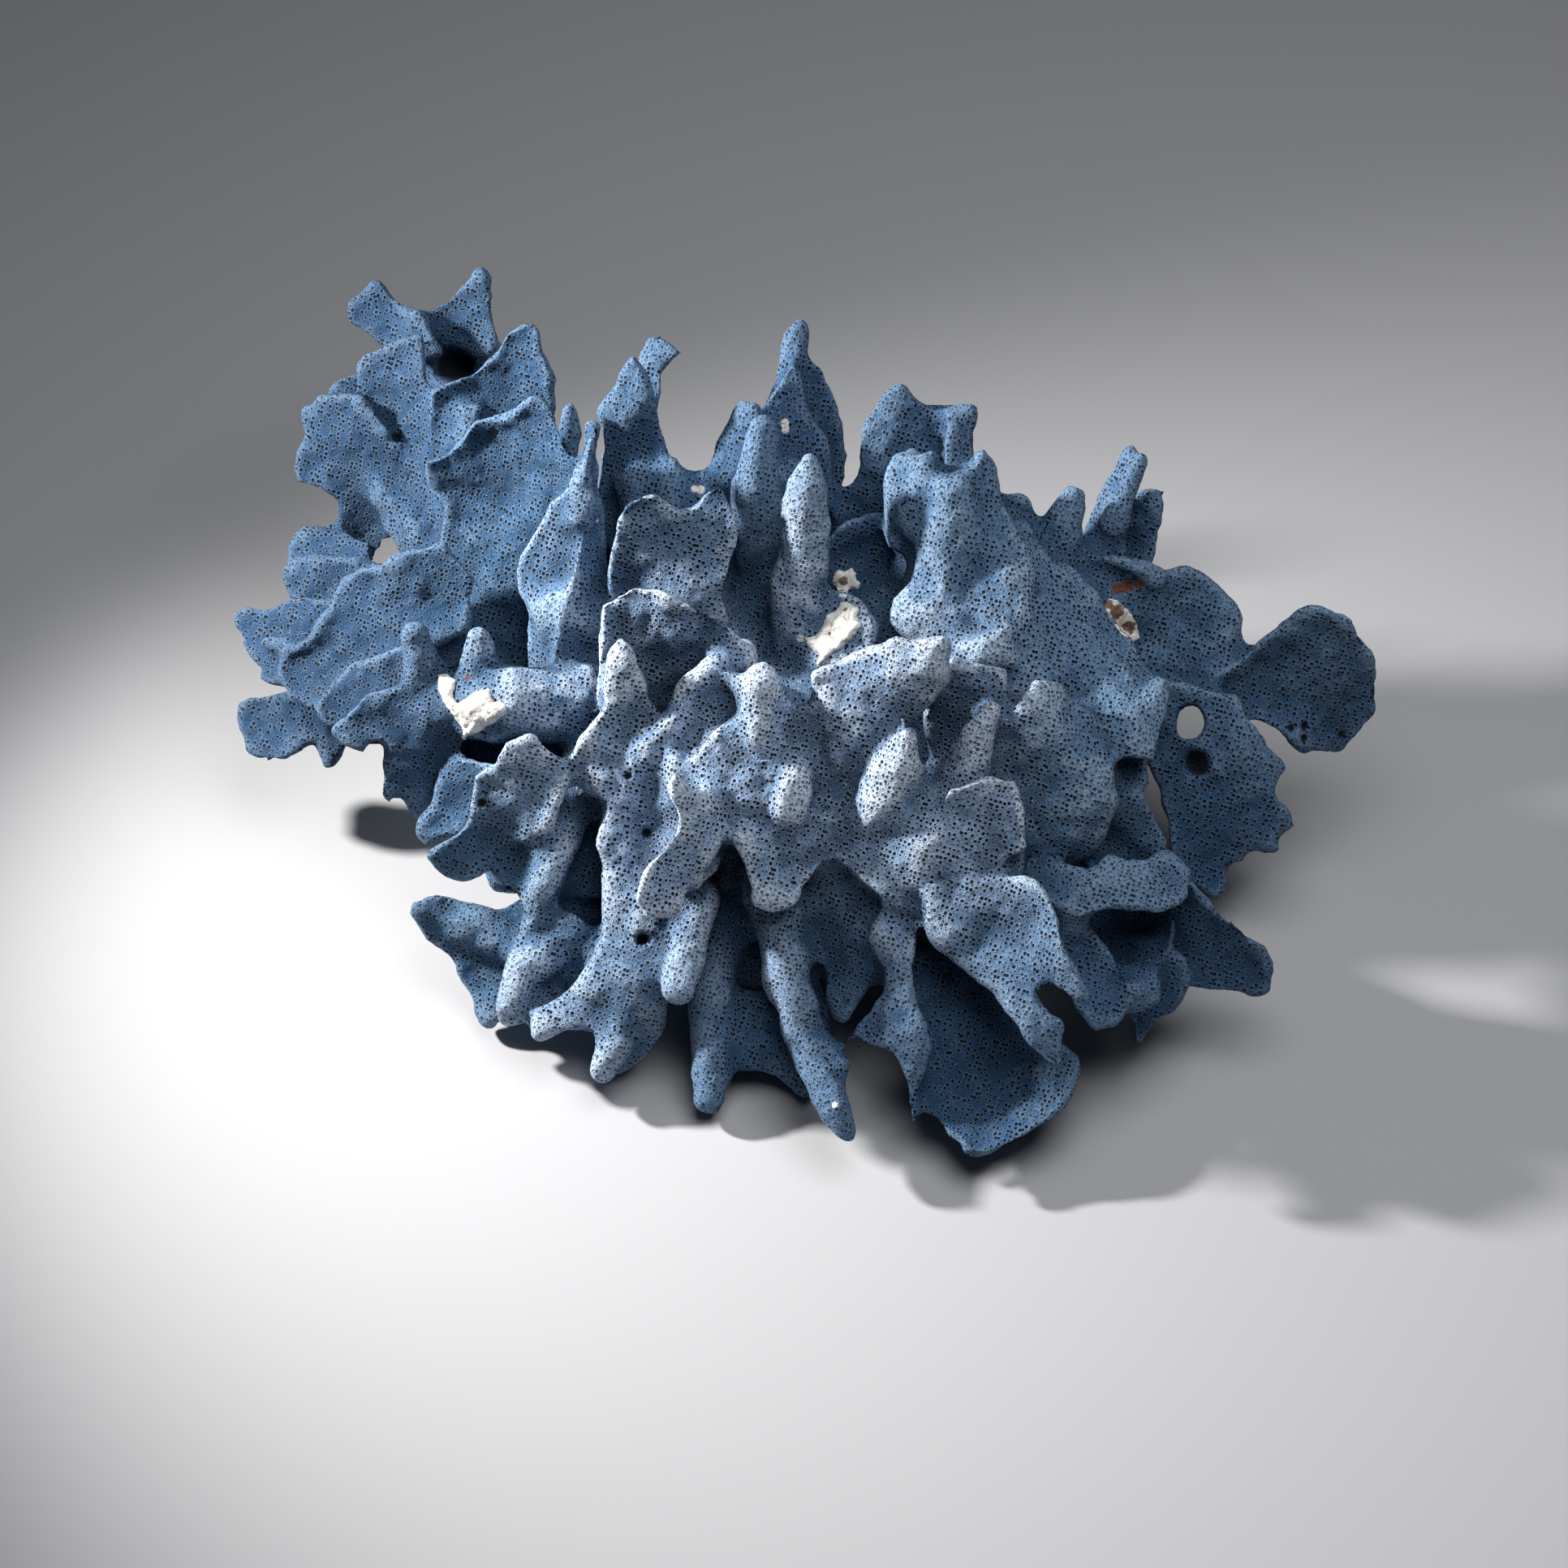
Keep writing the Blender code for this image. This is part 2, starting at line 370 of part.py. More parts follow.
# The right shoulder: its broad plate, three fingers and the lip over a small cave.
RIGHT_SHOULDER = [
    stem((30, 16, -34, 18), (60, 34, -22, 14), (78, 48, -26, 9)),
    finger((68, 54, -20, 7), (69.6, 66, -17, 4.2), (71.4, 71.4, -16, 2)),
    finger((78, 52, -28, 7), (80, 66, -27, 4.4), (83, 76, -25, 3.2), (85.6, 83.3, -23, 1.6)),
    finger((81, 64, -23, 4), (85.6, 74, -21, 3), (88, 81, -20, 1.5)),
    blade((90, 70, -32), (0.3, -0.2), 4.5, [
        (82, 66), (87.5, 71.5), (90.3, 73), (94.4, 72.8), (93.4, 67.2), (91.7, 58.1), (88, 46), (76, 46)]),
    finger((72, 55, -20, 4.4), (79, 55.6, -17, 2.1), (86, 54.2, -17, 1.9), (92, 50.5, -21, 2.3)),
    blade((70, 35, -3), (-0.3, 0.05), 7, [
        (46, 42), (52, 58), (60, 59), (66, 55.4), (70, 53.2), (77.7, 46.2), (81.2, 39.9), (86.1, 35.3),
        (89.6, 26.6), (93.8, 26), (94.9, 22.3), (93.1, 16), (92.7, 10.4), (91, 5.2), (83.3, 6.2), (76, 0),
        (62, 8), (50, 18), (50, 32)], dish=-3),
    blade((84, 4, -4), (0.2, -0.2), 4, [(78, 8), (89.5, 8), (89.4, 0), (86, -2), (82, -3.2), (76, -2)]),
]

# The fans at the far right: an upper lobe, the round paddle and the pierced low fan.
RIGHT_FAN = [
    stem((36, 10, -42, 16), (72, 24, -38, 12), (92, 32, -34, 8), (106, 27, -34, 4.5)),
    blade((100, 45, -28), (0.4, -0.2), 6, [
        (82, 46), (91.7, 52.2), (98.7, 53.6), (106.4, 50.1), (112.4, 43.4), (113.1, 39.9), (112, 30),
        (108, 22), (88, 24)]),
    blade((130, 28, -36), (0.6, -0.2), 5.5, [
        (104, 26), (113.1, 30.8), (116.9, 35), (121.2, 37.8), (127.5, 43.4), (131, 44), (139.4, 40.9),
        (144, 33.6), (146.3, 26.9), (145.9, 17.4), (141.9, 13.9), (138, 7.6), (135.9, 7.3), (130.3, 9),
        (127.5, 8.1), (123.3, 12.5), (115.9, 16), (106, 12)], dish=4),
    blade((108, 0, -32), (0.25, 0.0), 5.5, [
        (90, 26), (112, 22), (115.2, 14.7), (122.6, 6.2), (124.2, 3.8), (120.4, -1.2), (126.6, -10.2),
        (125.8, -11.4), (120.7, -12.1), (121.6, -16.4), (114.3, -15.9), (113, -19.1), (107.9, -19.1),
        (109.5, -23.6), (106, -28), (96, -22), (94.5, -8.3), (90.7, 3.2), (84, 14)],
        hole=(100.4, 15.2, 3.4, 5), dish=2),
]

# The wing, the spike, the pockets and the pale leaf right of the middle.
CENTRE_RIGHT = [
    stem((12, 2, -24, 17), (32, -8, 4, 13), (60, -2, 2, 9)),
    blade((30, 34, 30), (0.5, 0.0), 8.5, [
        (9.2, 29.2), (16.9, 32), (21.2, 33.4), (27.5, 36.5), (31, 35.1), (40.1, 36.9), (41.2, 34.8),
        (40.1, 25.7), (33.8, 15.8), (30, 9), (12, 4), (7, 18), (6.4, 27.1)], dish=-2),
    finger((22, -12, 11, 9), (26, -1, 20, 8), (29.4, 7.6, 27, 5), (31, 13, 31, 2.8)),
    finger((12, -9, 8, 8), (11, 3, 10, 7)),
    blade((48, 28, 16), (0.3, 0.0), 5.5, [
        (34, 18), (41.5, 31.6), (54.1, 28.1), (54.8, 25), (56, 4), (38, 0)]),
    finger((44, 0, 14, 6.4), (48, 11, 19, 4.6), (51.4, 18.5, 22, 3.2)),
    blade((48, 0, 24), (0.4, 0.0), 7, [
        (37, -10), (40.1, -1.7), (48.5, 1.1), (56.8, 0.8), (58.5, -5), (60, -16),
        (48, -22), (38, -18)], dish=3),
    blade((34, -16, 15), (0.1, 0.0), 14, [
        (10, -16), (20.5, -25.5), (27.5, -30.5), (36, -34), (48, -32), (58, -24), (60, -12), (50, -2),
        (20, 0)]),
    blade((68, 20, 14), (0.25, -0.15), 6.5, [
        (62.3, 25.5), (66.8, 24.6), (76.3, 17.3), (80.2, 6.4), (82.4, -4.4), (78.3, -14), (77, -17.8),
        (66, -24), (56, -18), (58.5, -5.1), (50.8, 4), (52.1, 10.9), (60.4, 22.4)], dish=-2),
]

# The antler blade, the skirt and the twisted finger at the front right.
FRONT_RIGHT = [
    stem((16, -14, -24, 16), (38, -26, 2, 11), (46, -32, 14, 7)),
    blade((55, -40, 24), (0.1, 0.4), 5.5, [
        (46, -22), (60.2, -23.7), (64, -25.5), (68.3, -33.8), (67.8, -37.6), (75.6, -52.9), (74.5, -53.9),
        (67.8, -50.7), (64, -48.5), (61.4, -52.3), (64, -55.5), (69.7, -58.7), (67.8, -63.8), (69.4, -71.7),
        (62.7, -66.3), (55.1, -56.1), (51.9, -51), (42.3, -44), (34.7, -36.3), (34, -26)]),
    blade((50, -85, 14), (-0.42, -0.12), 5, [
        (30, -34), (48, -34), (58, -50), (66, -62), (72.9, -66.3), (73.6, -72.1), (69.1, -79.7),
        (60.2, -86.7), (46.8, -92.6), (44.2, -91), (43.8, -86.7), (41, -87), (35.3, -79.7), (32, -66),
        (28, -52)], dish=4),
    blade((32, -60, 16), (-0.1, 0.1), 5.5, [
        (24, -30), (32.1, -36), (31.5, -53.6), (34.7, -57.4), (36.6, -63.8), (33.7, -74.6), (34, -81),
        (32.1, -85.4), (30.2, -79.1), (29.6, -72.7), (27, -66.3), (20, -64), (16.2, -61.8), (19, -57.4),
        (24, -52.9), (25, -47.8), (21, -38)]),
]

# The curled shelf, the bowl and the paddles low at the right.
RIGHT_LOW = [
    stem((34, -4, -30, 15), (64, -16, -12, 11), (86, -30, -8, 7)),
    blade((86, -12, -8), (0.3, 0.0), 5, [
        (78, -2), (87.8, -2.5), (92.9, -10.8), (94.2, -14.6), (93, -24), (76, -24)]),
    blade((82, -24, 13), (-0.7, 0.1), 3.8, [
        (62, -18), (75.7, -21), (80.2, -17.8), (84, -19.7), (89.7, -18.8), (94.2, -15.9), (98, -19.1),
        (100.3, -22.9), (100.5, -27.4), (97.4, -29.9), (91.7, -31.2), (84, -30.6), (77.6, -31.2),
        (72.5, -33.1), (66, -30), (58, -24)]),
    blade((84, -36, -2), (0.2, 0.5), 4.5, [
        (97, -26), (96.8, -34.4), (95.5, -40.1), (92.3, -45.2), (85.3, -49.1), (74, -46), (68, -32),
        (78, -22)], dish=7),
    blade((74, -42, 12), (0.1, 0.0), 4.5, [
        (70, -30), (76.3, -36.3), (84, -45.9), (85.3, -50.4), (85, -55.5), (81.4, -59.3), (76.3, -60.9),
        (71.9, -56.1), (64, -40)], dish=3),
    blade((86, -50, 6), (0.1, 0.0), 4.5, [
        (80, -44), (88, -46), (92.9, -49), (92, -53), (88, -55.5), (82, -56)]),
    blade((90, -45, 0), (0.1, 0.0), 4.5, [
        (88, -36), (99.6, -43.3), (99.9, -48.4), (97.1, -56.1), (94.8, -57.4), (92.3, -56.1), (91, -61.2),
        (87.2, -65), (85.6, -56.1), (80, -42)]),
    blade((105, -38, -4), (0.4, 0.2), 5.5, [
        (86, -20), (100.6, -24.2), (107.6, -32.5), (110.1, -33.8), (119.1, -41.1), (120.4, -45.2),
        (119.7, -51), (115.2, -52.1), (100.6, -50), (86, -40)], dish=3),
]

BRANCHES = {
    "front_left_stem": FRONT_LEFT_STEM,
    "centre_saddle": CENTRE_SADDLE,
    "centre_right": CENTRE_RIGHT,
    "front_centre": FRONT_CENTRE,
    "front_right": FRONT_RIGHT,
    "front_left_lobes": FRONT_LEFT_LOBES,
    "left_crest": LEFT_CREST,
    "left_arm": LEFT_ARM,
    "right_shoulder": RIGHT_SHOULDER,
    "back_right_crest": BACK_RIGHT_CREST,
    "back_spires": BACK_SPIRES,
    "left_plate": LEFT_PLATE,
    "right_low": RIGHT_LOW,
    "right_fan": RIGHT_FAN,
    "back_left_fan": BACK_LEFT_FAN,
    "left_fan": LEFT_FAN,
    "left_tiers": LEFT_TIERS,
}

# The hidden sides. A stem runs to a hub (bearing, distance, height), and blades grow from the hub, each
# with its bearing, its rise, its reach, its width and its turn about its own length.
REAR_BRANCHES = {
    "rear_left": ((132, 54, 42), [(104, 18, 46, 40, 20), (130, 36, 44, 38, -50), (152, -4, 48, 40, 80),
                                  (126, -14, 46, 38, 30)]),
    "rear_middle": ((90, 48, 42), [(68, 22, 42, 38, 30), (95, 0, 46, 42, 80), (108, 40, 40, 34, -20),
                                   (86, -22, 42, 36, 10)]),
    "rear_right": ((46, 52, 36), [(24, 12, 46, 38, 20), (50, 34, 42, 36, -40), (64, -8, 44, 40, 70)]),
    "low_left": ((186, 50, 22), [(170, 2, 34, 28, 40), (196, -6, 32, 28, -60), (216, 2, 30, 24, 30)]),
    "low_right": ((-6, 52, 21), [(12, 4, 38, 28, -30), (-10, -6, 36, 28, 60), (-30, 2, 32, 24, 20)]),
}
HUB_RADIUS = 9.0
STEM_RADIUS = 15.0
STEM_START = 0.3
STEM_END = 1.15
REAR_THICK = 5.5
REAR_STEPS = 16
REAR_WAIST = 0.3
LOBES = 3
LOBE_DEPTH = 0.2

# The white crusts, each spot drawn as (a, b, radius).
CRUSTS = {
    "left_scar_crust": [(-78, 23.5, 4.4), (-74.5, 19.5, 4.4), (-77.5, 15.5, 3.6), (-71, 19.5, 3)],
    "centre_crust": [(8.2, 32.5, 2.8), (10.5, 36, 3), (13, 39.5, 3), (15, 43, 2.4)],
    "right_shoulder_crust": [(81.5, 43.2, 2.6), (84.5, 40.8, 2.8), (86.6, 37.6, 2.4)],
}


def clear_scene():
    for old in list(bpy.data.objects):
        bpy.data.objects.remove(old, do_unlink=True)


def new_collection(name):
    made = bpy.data.collections.new(name)
    bpy.context.scene.collection.children.link(made)
    return made


def plain_material(name, colour, roughness):
    made = bpy.data.materials.new(name)
    made.use_nodes = True
    shader = made.node_tree.nodes["Principled BSDF"]
    shader.inputs["Base Color"].default_value = colour
    shader.inputs["Roughness"].default_value = roughness
    shader.inputs["Metallic"].default_value = 0.0
    return made


def mesh_of_curve(curve):
    """The curve's solid as a mesh with its caps joined on, and the curve removed."""
    holder = bpy.data.objects.new("drawn_curve", curve)
    bpy.context.scene.collection.objects.link(holder)
    bpy.context.view_layer.update()
    seen = holder.evaluated_get(bpy.context.evaluated_depsgraph_get())
    mesh = bpy.data.meshes.new_from_object(seen)
    bpy.data.objects.remove(holder)
    bpy.data.curves.remove(curve)
    return mesh


def outline_curve(outline, hole, thick):
    curve = bpy.data.curves.new("blade_outline", "CURVE")
    curve.dimensions = "2D"
    curve.fill_mode = "BOTH"
    curve.extrude = thick / 2
    loops = [outline]
    if hole:
        a, b, half_width, half_height = hole
        turns = [2 * math.pi * step / HOLE_SIDES for step in range(HOLE_SIDES)]
        loops.append([(a + half_width * math.cos(t), b + half_height * math.sin(t)) for t in turns])
    for loop in loops:
        spline = curve.splines.new("POLY")
        spline.points.add(len(loop) - 1)
        for point, (a, b) in zip(spline.points, loop):
            point.co = (a, b, 0, 1)
        spline.use_cyclic_u = True
    return curve


def edge_distance(a, b, outline):
    """How far a drawn point lies from the nearest side of an outline."""
    best = math.inf
    for (a0, b0), (a1, b1) in zip(outline, outline[1:] + outline[:1]):
        along_a, along_b = a1 - a0, b1 - b0
        share = ((a - a0) * along_a + (b - b0) * along_b) / (along_a ** 2 + along_b ** 2)
        share = min(1, max(0, share))
        best = min(best, math.hypot(a - a0 - share * along_a, b - b0 - share * along_b))
    return best


def cut_in_squares(mesh, side):
    """Cuts a drawn blade along a square grid, so that it can be bent."""
    work = bmesh.new()
    work.from_mesh(mesh)
    bmesh.ops.remove_doubles(work, verts=work.verts, dist=MERGE)
    for axis in (0, 1):
        values = [vertex.co[axis] for vertex in work.verts]
        normal = Vector((axis == 0, axis == 1, 0))
        for step in range(math.ceil(min(values) / side), math.floor(max(values) / side) + 1):
            geometry = work.verts[:] + work.edges[:] + work.faces[:]
            bmesh.ops.bisect_plane(work, geom=geometry, plane_co=normal * (step * side), plane_no=normal)
    work.to_mesh(mesh)
    work.free()


def blade_depth(shape, a, b):
    """How far toward the viewer the middle of a blade lies at a drawn point: it leans, and waves gently."""
    at_a, at_b, at_d = shape["at"]
    lean_b, lean_a = shape["lean"]
    wave = WAVE_DEPTH * math.sin(a / WAVE_A + at_b) * math.sin(b / WAVE_B + at_a)
    rim = 0
    if shape["dish"]:
        rim = shape["dish"] * (1 - min(1, edge_distance(a, b, shape["outline"]) / DISH_WIDTH)) ** 2
    return at_d + lean_b * (b - at_b) + lean_a * (a - at_a) + wave + rim


def blade_mesh(shape):
    """The blade's solid, thin at its edge and swollen inside it."""
    outline = shape["outline"]
    mesh = mesh_of_curve(outline_curve(outline, shape["hole"], shape["thick"]))
    cut_in_squares(mesh, SQUARE)
    slant = math.hypot(1, *shape["lean"])
    for vertex in mesh.vertices:
        a, b, off = vertex.co
        swell = EDGE_SHARE + (1 - EDGE_SHARE) * min(1, edge_distance(a, b, outline) / EDGE_WIDTH)
        vertex.co = drawn(a, b, blade_depth(shape, a, b) + off * swell * slant)
    return mesh


def round_line(stations):
    """A tapered tube through the given places, each with its radius in millimetres."""
    curve = bpy.data.curves.new("finger_line", "CURVE")
    curve.dimensions = "3D"
    curve.bevel_depth = MM
    curve.bevel_resolution = FINGER_SIDES
    curve.use_fill_caps = True
    spline = curve.splines.new("POLY")
    spline.points.add(len(stations) - 1)
    for point, (place, radius) in zip(spline.points, stations):
        point.co = (*place, 1)
        point.radius = radius
    return curve


def finger_mesh(shape):
    """A finger's solid, with its start sunk away from the viewer and a rounded tip beyond its last point."""
    stations = [(drawn(a, b, d), radius) for a, b, d, radius in shape["points"]]
    if shape["kind"] == "finger":
        a, b, d, radius = shape["points"][0]
        stations.insert(0, (drawn(a, b, d - START_SINK * radius), radius))
    tip, tip_radius = stations[-1]
    onward = (tip - stations[-2][0]).normalized() * tip_radius * MM
    stations += [(tip + onward * step, tip_radius * share) for step, share in TIP_ROUNDING]
    return mesh_of_curve(round_line(stations))


def inside(a, b, outline):
    """Whether a drawn point lies inside an outline."""
    crossings = 0
    for (a0, b0), (a1, b1) in zip(outline, outline[1:] + outline[:1]):
        if (b0 > b) != (b1 > b) and a < a0 + (b - b0) * (a1 - a0) / (b1 - b0):
            crossings += 1
    return crossings % 2 == 1


def keel_run(shape):
    """The column of a blade that its keel stands on, and the lowest and highest b of the keel there."""
    outline = shape["outline"]
    column = sum(a for a, _ in outline) / len(outline)
    rows = [b for _, b in outline]
    run = [b for b in range(math.ceil(min(rows)), math.floor(max(rows)) + 1)
           if inside(column, b, outline) and edge_distance(column, b, outline) > KEEL_INSET]
    if not run:
        return column, 0, 0
    return column, run[0], run[-1]


def keel_mesh(shape):
    """The keel behind a blade, deepest toward the middle of the coral, with a lobed free edge."""
    column, low, high = keel_run(shape)
    if high - low < KEEL_LEAST:
        return None
    root, tip = (low, high) if abs(low) < abs(high) else (high, low)
    reach = min(KEEL_MOST, KEEL_REACH * (high - low))
    front = []
    back = []
    for step in range(KEEL_STATIONS):
        share = step / (KEEL_STATIONS - 1)
        b = root + (tip - root) * share
        d = blade_depth(shape, column, b)
        lobe = 1 - KEEL_LOBE * (1 + math.cos(KEEL_LOBE_TURN * step + column))
        front.append((b, d))
        back.append((b, max(LOWEST_B_PLUS_D - b, d - 1 - reach * lobe * math.sqrt(1 - share))))
    outline = front + back[::-1]
    mesh = mesh_of_curve(outline_curve(outline, (), KEEL_THICK))
    cut_in_squares(mesh, SQUARE)
    slant = KEEL_SLANT * math.sin(column + low)
    for vertex in mesh.vertices:
        b, d, off = vertex.co
        swell = EDGE_SHARE + (1 - EDGE_SHARE) * min(1, edge_distance(b, d, outline) / EDGE_WIDTH)
        behind = blade_depth(shape, column, b) - d
        vertex.co = drawn(column + slant * behind + off * swell, b, d)
    return mesh


def solid_places(shape):
    """Places well inside a shape, each with how much material is round it."""
    if shape["kind"] != "blade":
        places = []
        for (a0, b0, d0, r0), (a1, b1, d1, r1) in zip(shape["points"], shape["points"][1:]):
            for share in (0.0, 0.33, 0.66, 1.0):
                mix = [(1 - share) * v + share * w for v, w in ((a0, a1), (b0, b1), (d0, d1), (r0, r1))]
                places.append((drawn(*mix[:3]), mix[3]))
        return places
    outline = shape["outline"]
    columns = [a for a, _ in outline]
    rows = [b for _, b in outline]
    places = []
    for a in range(math.ceil(min(columns)), math.floor(max(columns)), ROOT_SEARCH_STEP):
        for b in range(math.ceil(min(rows)), math.floor(max(rows)), ROOT_SEARCH_STEP):
            if inside(a, b, outline) and edge_distance(a, b, outline) > ROOT_INSET:
                places.append((drawn(a, b, blade_depth(shape, a, b)), shape["thick"] / 2))
    return places


def root_meshes(shapes):
    """Short roots that tie each shape of a branch to what already grows from its stem, nearest first."""
    grown = []
    loose = []
    for shape in shapes:
        if shape["kind"] == "stem":
            grown += solid_places(shape)
        else:
            loose.append(solid_places(shape))
    roots = []
    while loose:
        found = []
        for index, places in enumerate(loose):
            for here, here_radius in places:
                for there, there_radius in grown:
                    gap = (here - there).length / MM - here_radius - there_radius
                    found.append((gap, index, here, there))
        gap, index, here, there = min(found, key=lambda row: row[0])
        if gap > -ROOT_OVERLAP:
            roots.append(mesh_of_curve(round_line([(there, ROOT_RADIUS), (here, ROOT_RADIUS * ROOT_TAPER)])))
        grown += loose.pop(index)
    return roots


def turned_place(bearing, distance, height):
    angle = math.radians(bearing)
    return Vector((distance * math.cos(angle), distance * math.sin(angle), height)) * MM


def rear_blade_mesh(hub, bearing, rise, reach, width, turn):
    """A lobed blade that grows outward from its hub, on the sides that the front view hides."""
    root = width / 4
    outline = [(-root, -root), (-root, root)]
    for step in range(REAR_STEPS + 1):
        share = step / REAR_STEPS
        swing = (0.5 - share) * math.pi
        edge = 1 - LOBE_DEPTH * abs(math.sin(math.pi * LOBES * share + math.radians(bearing)))
        along = reach * (REAR_WAIST + (1 - REAR_WAIST) * edge * math.cos(swing))
        outline.append((along, width / 2 * edge * math.sin(swing)))
    mesh = mesh_of_curve(outline_curve(outline, (), REAR_THICK))
    place = Matrix.Translation(turned_place(*hub))
    place @= Matrix.Rotation(math.radians(bearing), 4, "Z")
    place @= Matrix.Rotation(math.radians(-rise), 4, "Y")
    place @= Matrix.Rotation(math.radians(turn), 4, "X")
    place @= Matrix.Scale(MM, 4)
    mesh.transform(place)
    return mesh


def stem_mesh(hub):
    """The stem from inside the trunk out to the hub of a hidden branch."""
    bearing, distance, height = hub
    stations = [(STEM_START, STEM_RADIUS), (STEM_END, HUB_RADIUS)]
    line = [(turned_place(bearing, distance * share, height), radius) for share, radius in stations]
    return mesh_of_curve(round_line(line))


def ball_mesh(centre, radii, detail):
    mesh = bpy.data.meshes.new("ball")
    work = bmesh.new()
    bmesh.ops.create_icosphere(work, subdivisions=detail, radius=1.0)
    bmesh.ops.scale(work, vec=Vector(radii), verts=work.verts)
    bmesh.ops.translate(work, vec=Vector(centre), verts=work.verts)
    work.to_mesh(mesh)
    work.free()
    return mesh


def trunk_meshes():
    """The core that every branch forks from, and its lumps, of which the lowest reach past the cut."""
    core = ball_mesh(Vector((0, 0, CORE_HEIGHT)) * MM, Vector(CORE_RADII) * MM, 4)
    lumps = []
    for bearing, distance, height, radius in TRUNK_LUMPS:
        place = turned_place(bearing, distance, height)
        lumps.append(ball_mesh(place, Vector((radius, radius, radius)) * MM, 3))
    return [core] + lumps


def joined(name, meshes, home):
    work = bmesh.new()
    for mesh in meshes:
        work.from_mesh(mesh)
        bpy.data.meshes.remove(mesh)
    bmesh.ops.remove_doubles(work, verts=work.verts, dist=MERGE)
    whole = bpy.data.meshes.new(name)
    work.to_mesh(whole)
    work.free()
    made = bpy.data.objects.new(name, whole)
    home.objects.link(made)
    return made


def apply_modifiers(thing):
    bpy.context.view_layer.update()
    seen = thing.evaluated_get(bpy.context.evaluated_depsgraph_get())
    mesh = bpy.data.meshes.new_from_object(seen)
    old = thing.data
    thing.modifiers.clear()
    thing.data = mesh
    bpy.data.meshes.remove(old)


def fuse(thing, grain):
    remesh = thing.modifiers.new("fuse", "REMESH")
    remesh.mode = "VOXEL"
    remesh.voxel_size = grain * MM
    smooth = thing.modifiers.new("soften", "SMOOTH")
    smooth.factor = 0.5
    smooth.iterations = SMOOTHING_ROUNDS
    apply_modifiers(thing)


def thin_out(thing, density, least):
    area = sum(face.area for face in thing.data.polygons) * 1e4
    triangles = sum(len(face.vertices) - 2 for face in thing.data.polygons)
    wanted = max(least, area * density)
    fewer = thing.modifiers.new("thin_out", "DECIMATE")
    fewer.ratio = min(1.0, wanted / triangles)
    fewer.use_collapse_triangulate = True
    apply_modifiers(thing)


def keep_biggest_body(thing):
    """Removes what a cut left loose, or hanging by one point, so that the branch is one closed body."""
    work = bmesh.new()
    work.from_mesh(thing.data)
    bmesh.ops.remove_doubles(work, verts=work.verts, dist=MERGE)
    bmesh.ops.dissolve_degenerate(work, edges=work.edges, dist=MERGE)
    unseen = set(work.faces)
    bodies = []
    while unseen:
        waiting = [unseen.pop()]
        body = list(waiting)
        while waiting:
            for edge in waiting.pop().edges:
                for other in edge.link_faces:
                    if other in unseen and edge.is_manifold:
                        unseen.remove(other)
                        waiting.append(other)
                        body.append(other)
        bodies.append(body)
    bodies.sort(key=len)
    for body in bodies[:-1]:
        bmesh.ops.delete(work, geom=body, context="FACES")
    work.to_mesh(thing.data)
    work.free()


def box_of(thing):
    corners = [vertex.co for vertex in thing.data.vertices]
    low = Vector([min(corner[axis] for corner in corners) for axis in range(3)])
    high = Vector([max(corner[axis] for corner in corners) for axis in range(3)])
    return low, high


def boxes_meet(first, second):
    return all(first[0][axis] < second[1][axis] and second[0][axis] < first[1][axis] for axis in range(3))


def swollen_cutter(thing, home):
    """A copy of the branch that is bigger all round by the joint's gap, for cutting its neighbours."""
    cutter = bpy.data.objects.new(thing.name + "_cutter", thing.data.copy())
    home.objects.link(cutter)
    cutter.hide_render = True
    cutter.display_type = "WIRE"
    swell = cutter.modifiers.new("swell", "DISPLACE")
    swell.mid_level = 0.0
    swell.strength = JOINT_GAP * MM
    apply_modifiers(cutter)
    return cutter


def cut_clear(thing, earlier):
    """Cuts a branch clear of each earlier one: of its swollen copy, then of its own sharp tips."""
    own = box_of(thing)
    for cutter in earlier:
        if not boxes_meet(own, box_of(cutter)):
            continue
        cut = thing.modifiers.new("clear_of_" + cutter.name, "BOOLEAN")
        cut.operation = "DIFFERENCE"
        cut.solver = "EXACT"
        cut.object = cutter
    apply_modifiers(thing)
    keep_biggest_body(thing)


def cut_flat(thing, home):
    """Cuts the trunk off level at its foot."""
    mesh = bpy.data.meshes.new("floor_cutter")
    work = bmesh.new()
    bmesh.ops.create_cube(work, size=FLOOR_CUTTER_SIZE)
    bmesh.ops.translate(work, vec=Vector((0, 0, -FLOOR_CUTTER_SIZE / 2)), verts=work.verts)
    work.to_mesh(mesh)
    work.free()
    cutter = bpy.data.objects.new("floor_cutter", mesh)
    home.objects.link(cutter)
    cutter.hide_render = True
    cutter.display_type = "WIRE"
    cut = thing.modifiers.new("cut_flat", "BOOLEAN")
    cut.operation = "DIFFERENCE"
    cut.solver = "EXACT"
    cut.object = cutter
    apply_modifiers(thing)
    keep_biggest_body(thing)


def make_trunk(parts, cutters, paint):
    """The trunk's swollen cutter, and the trunk, cut off level."""
    trunk = joined("trunk", trunk_meshes(), parts)
    fuse(trunk, TRUNK_GRAIN)
    thin_out(trunk, TRUNK_TRIANGLES_PER_CM2, LEAST_TRIANGLES)
    cutter = swollen_cutter(trunk, cutters)
    cut_flat(trunk, cutters)
    trunk.data.materials.append(paint)
    return [cutter, trunk]


def make_branch(name, meshes, grain, density, homes, earlier, paint):
    """A branch's swollen cutter for those that follow, and the branch, cut clear of the earlier ones."""
    parts, cutters = homes
    branch = joined(name, meshes, parts)
    fuse(branch, grain)
    thin_out(branch, density, LEAST_TRIANGLES)
    cutter = swollen_cutter(branch, cutters)
    cut_clear(branch, earlier)
    branch.data.materials.append(paint)
    return [cutter, branch]


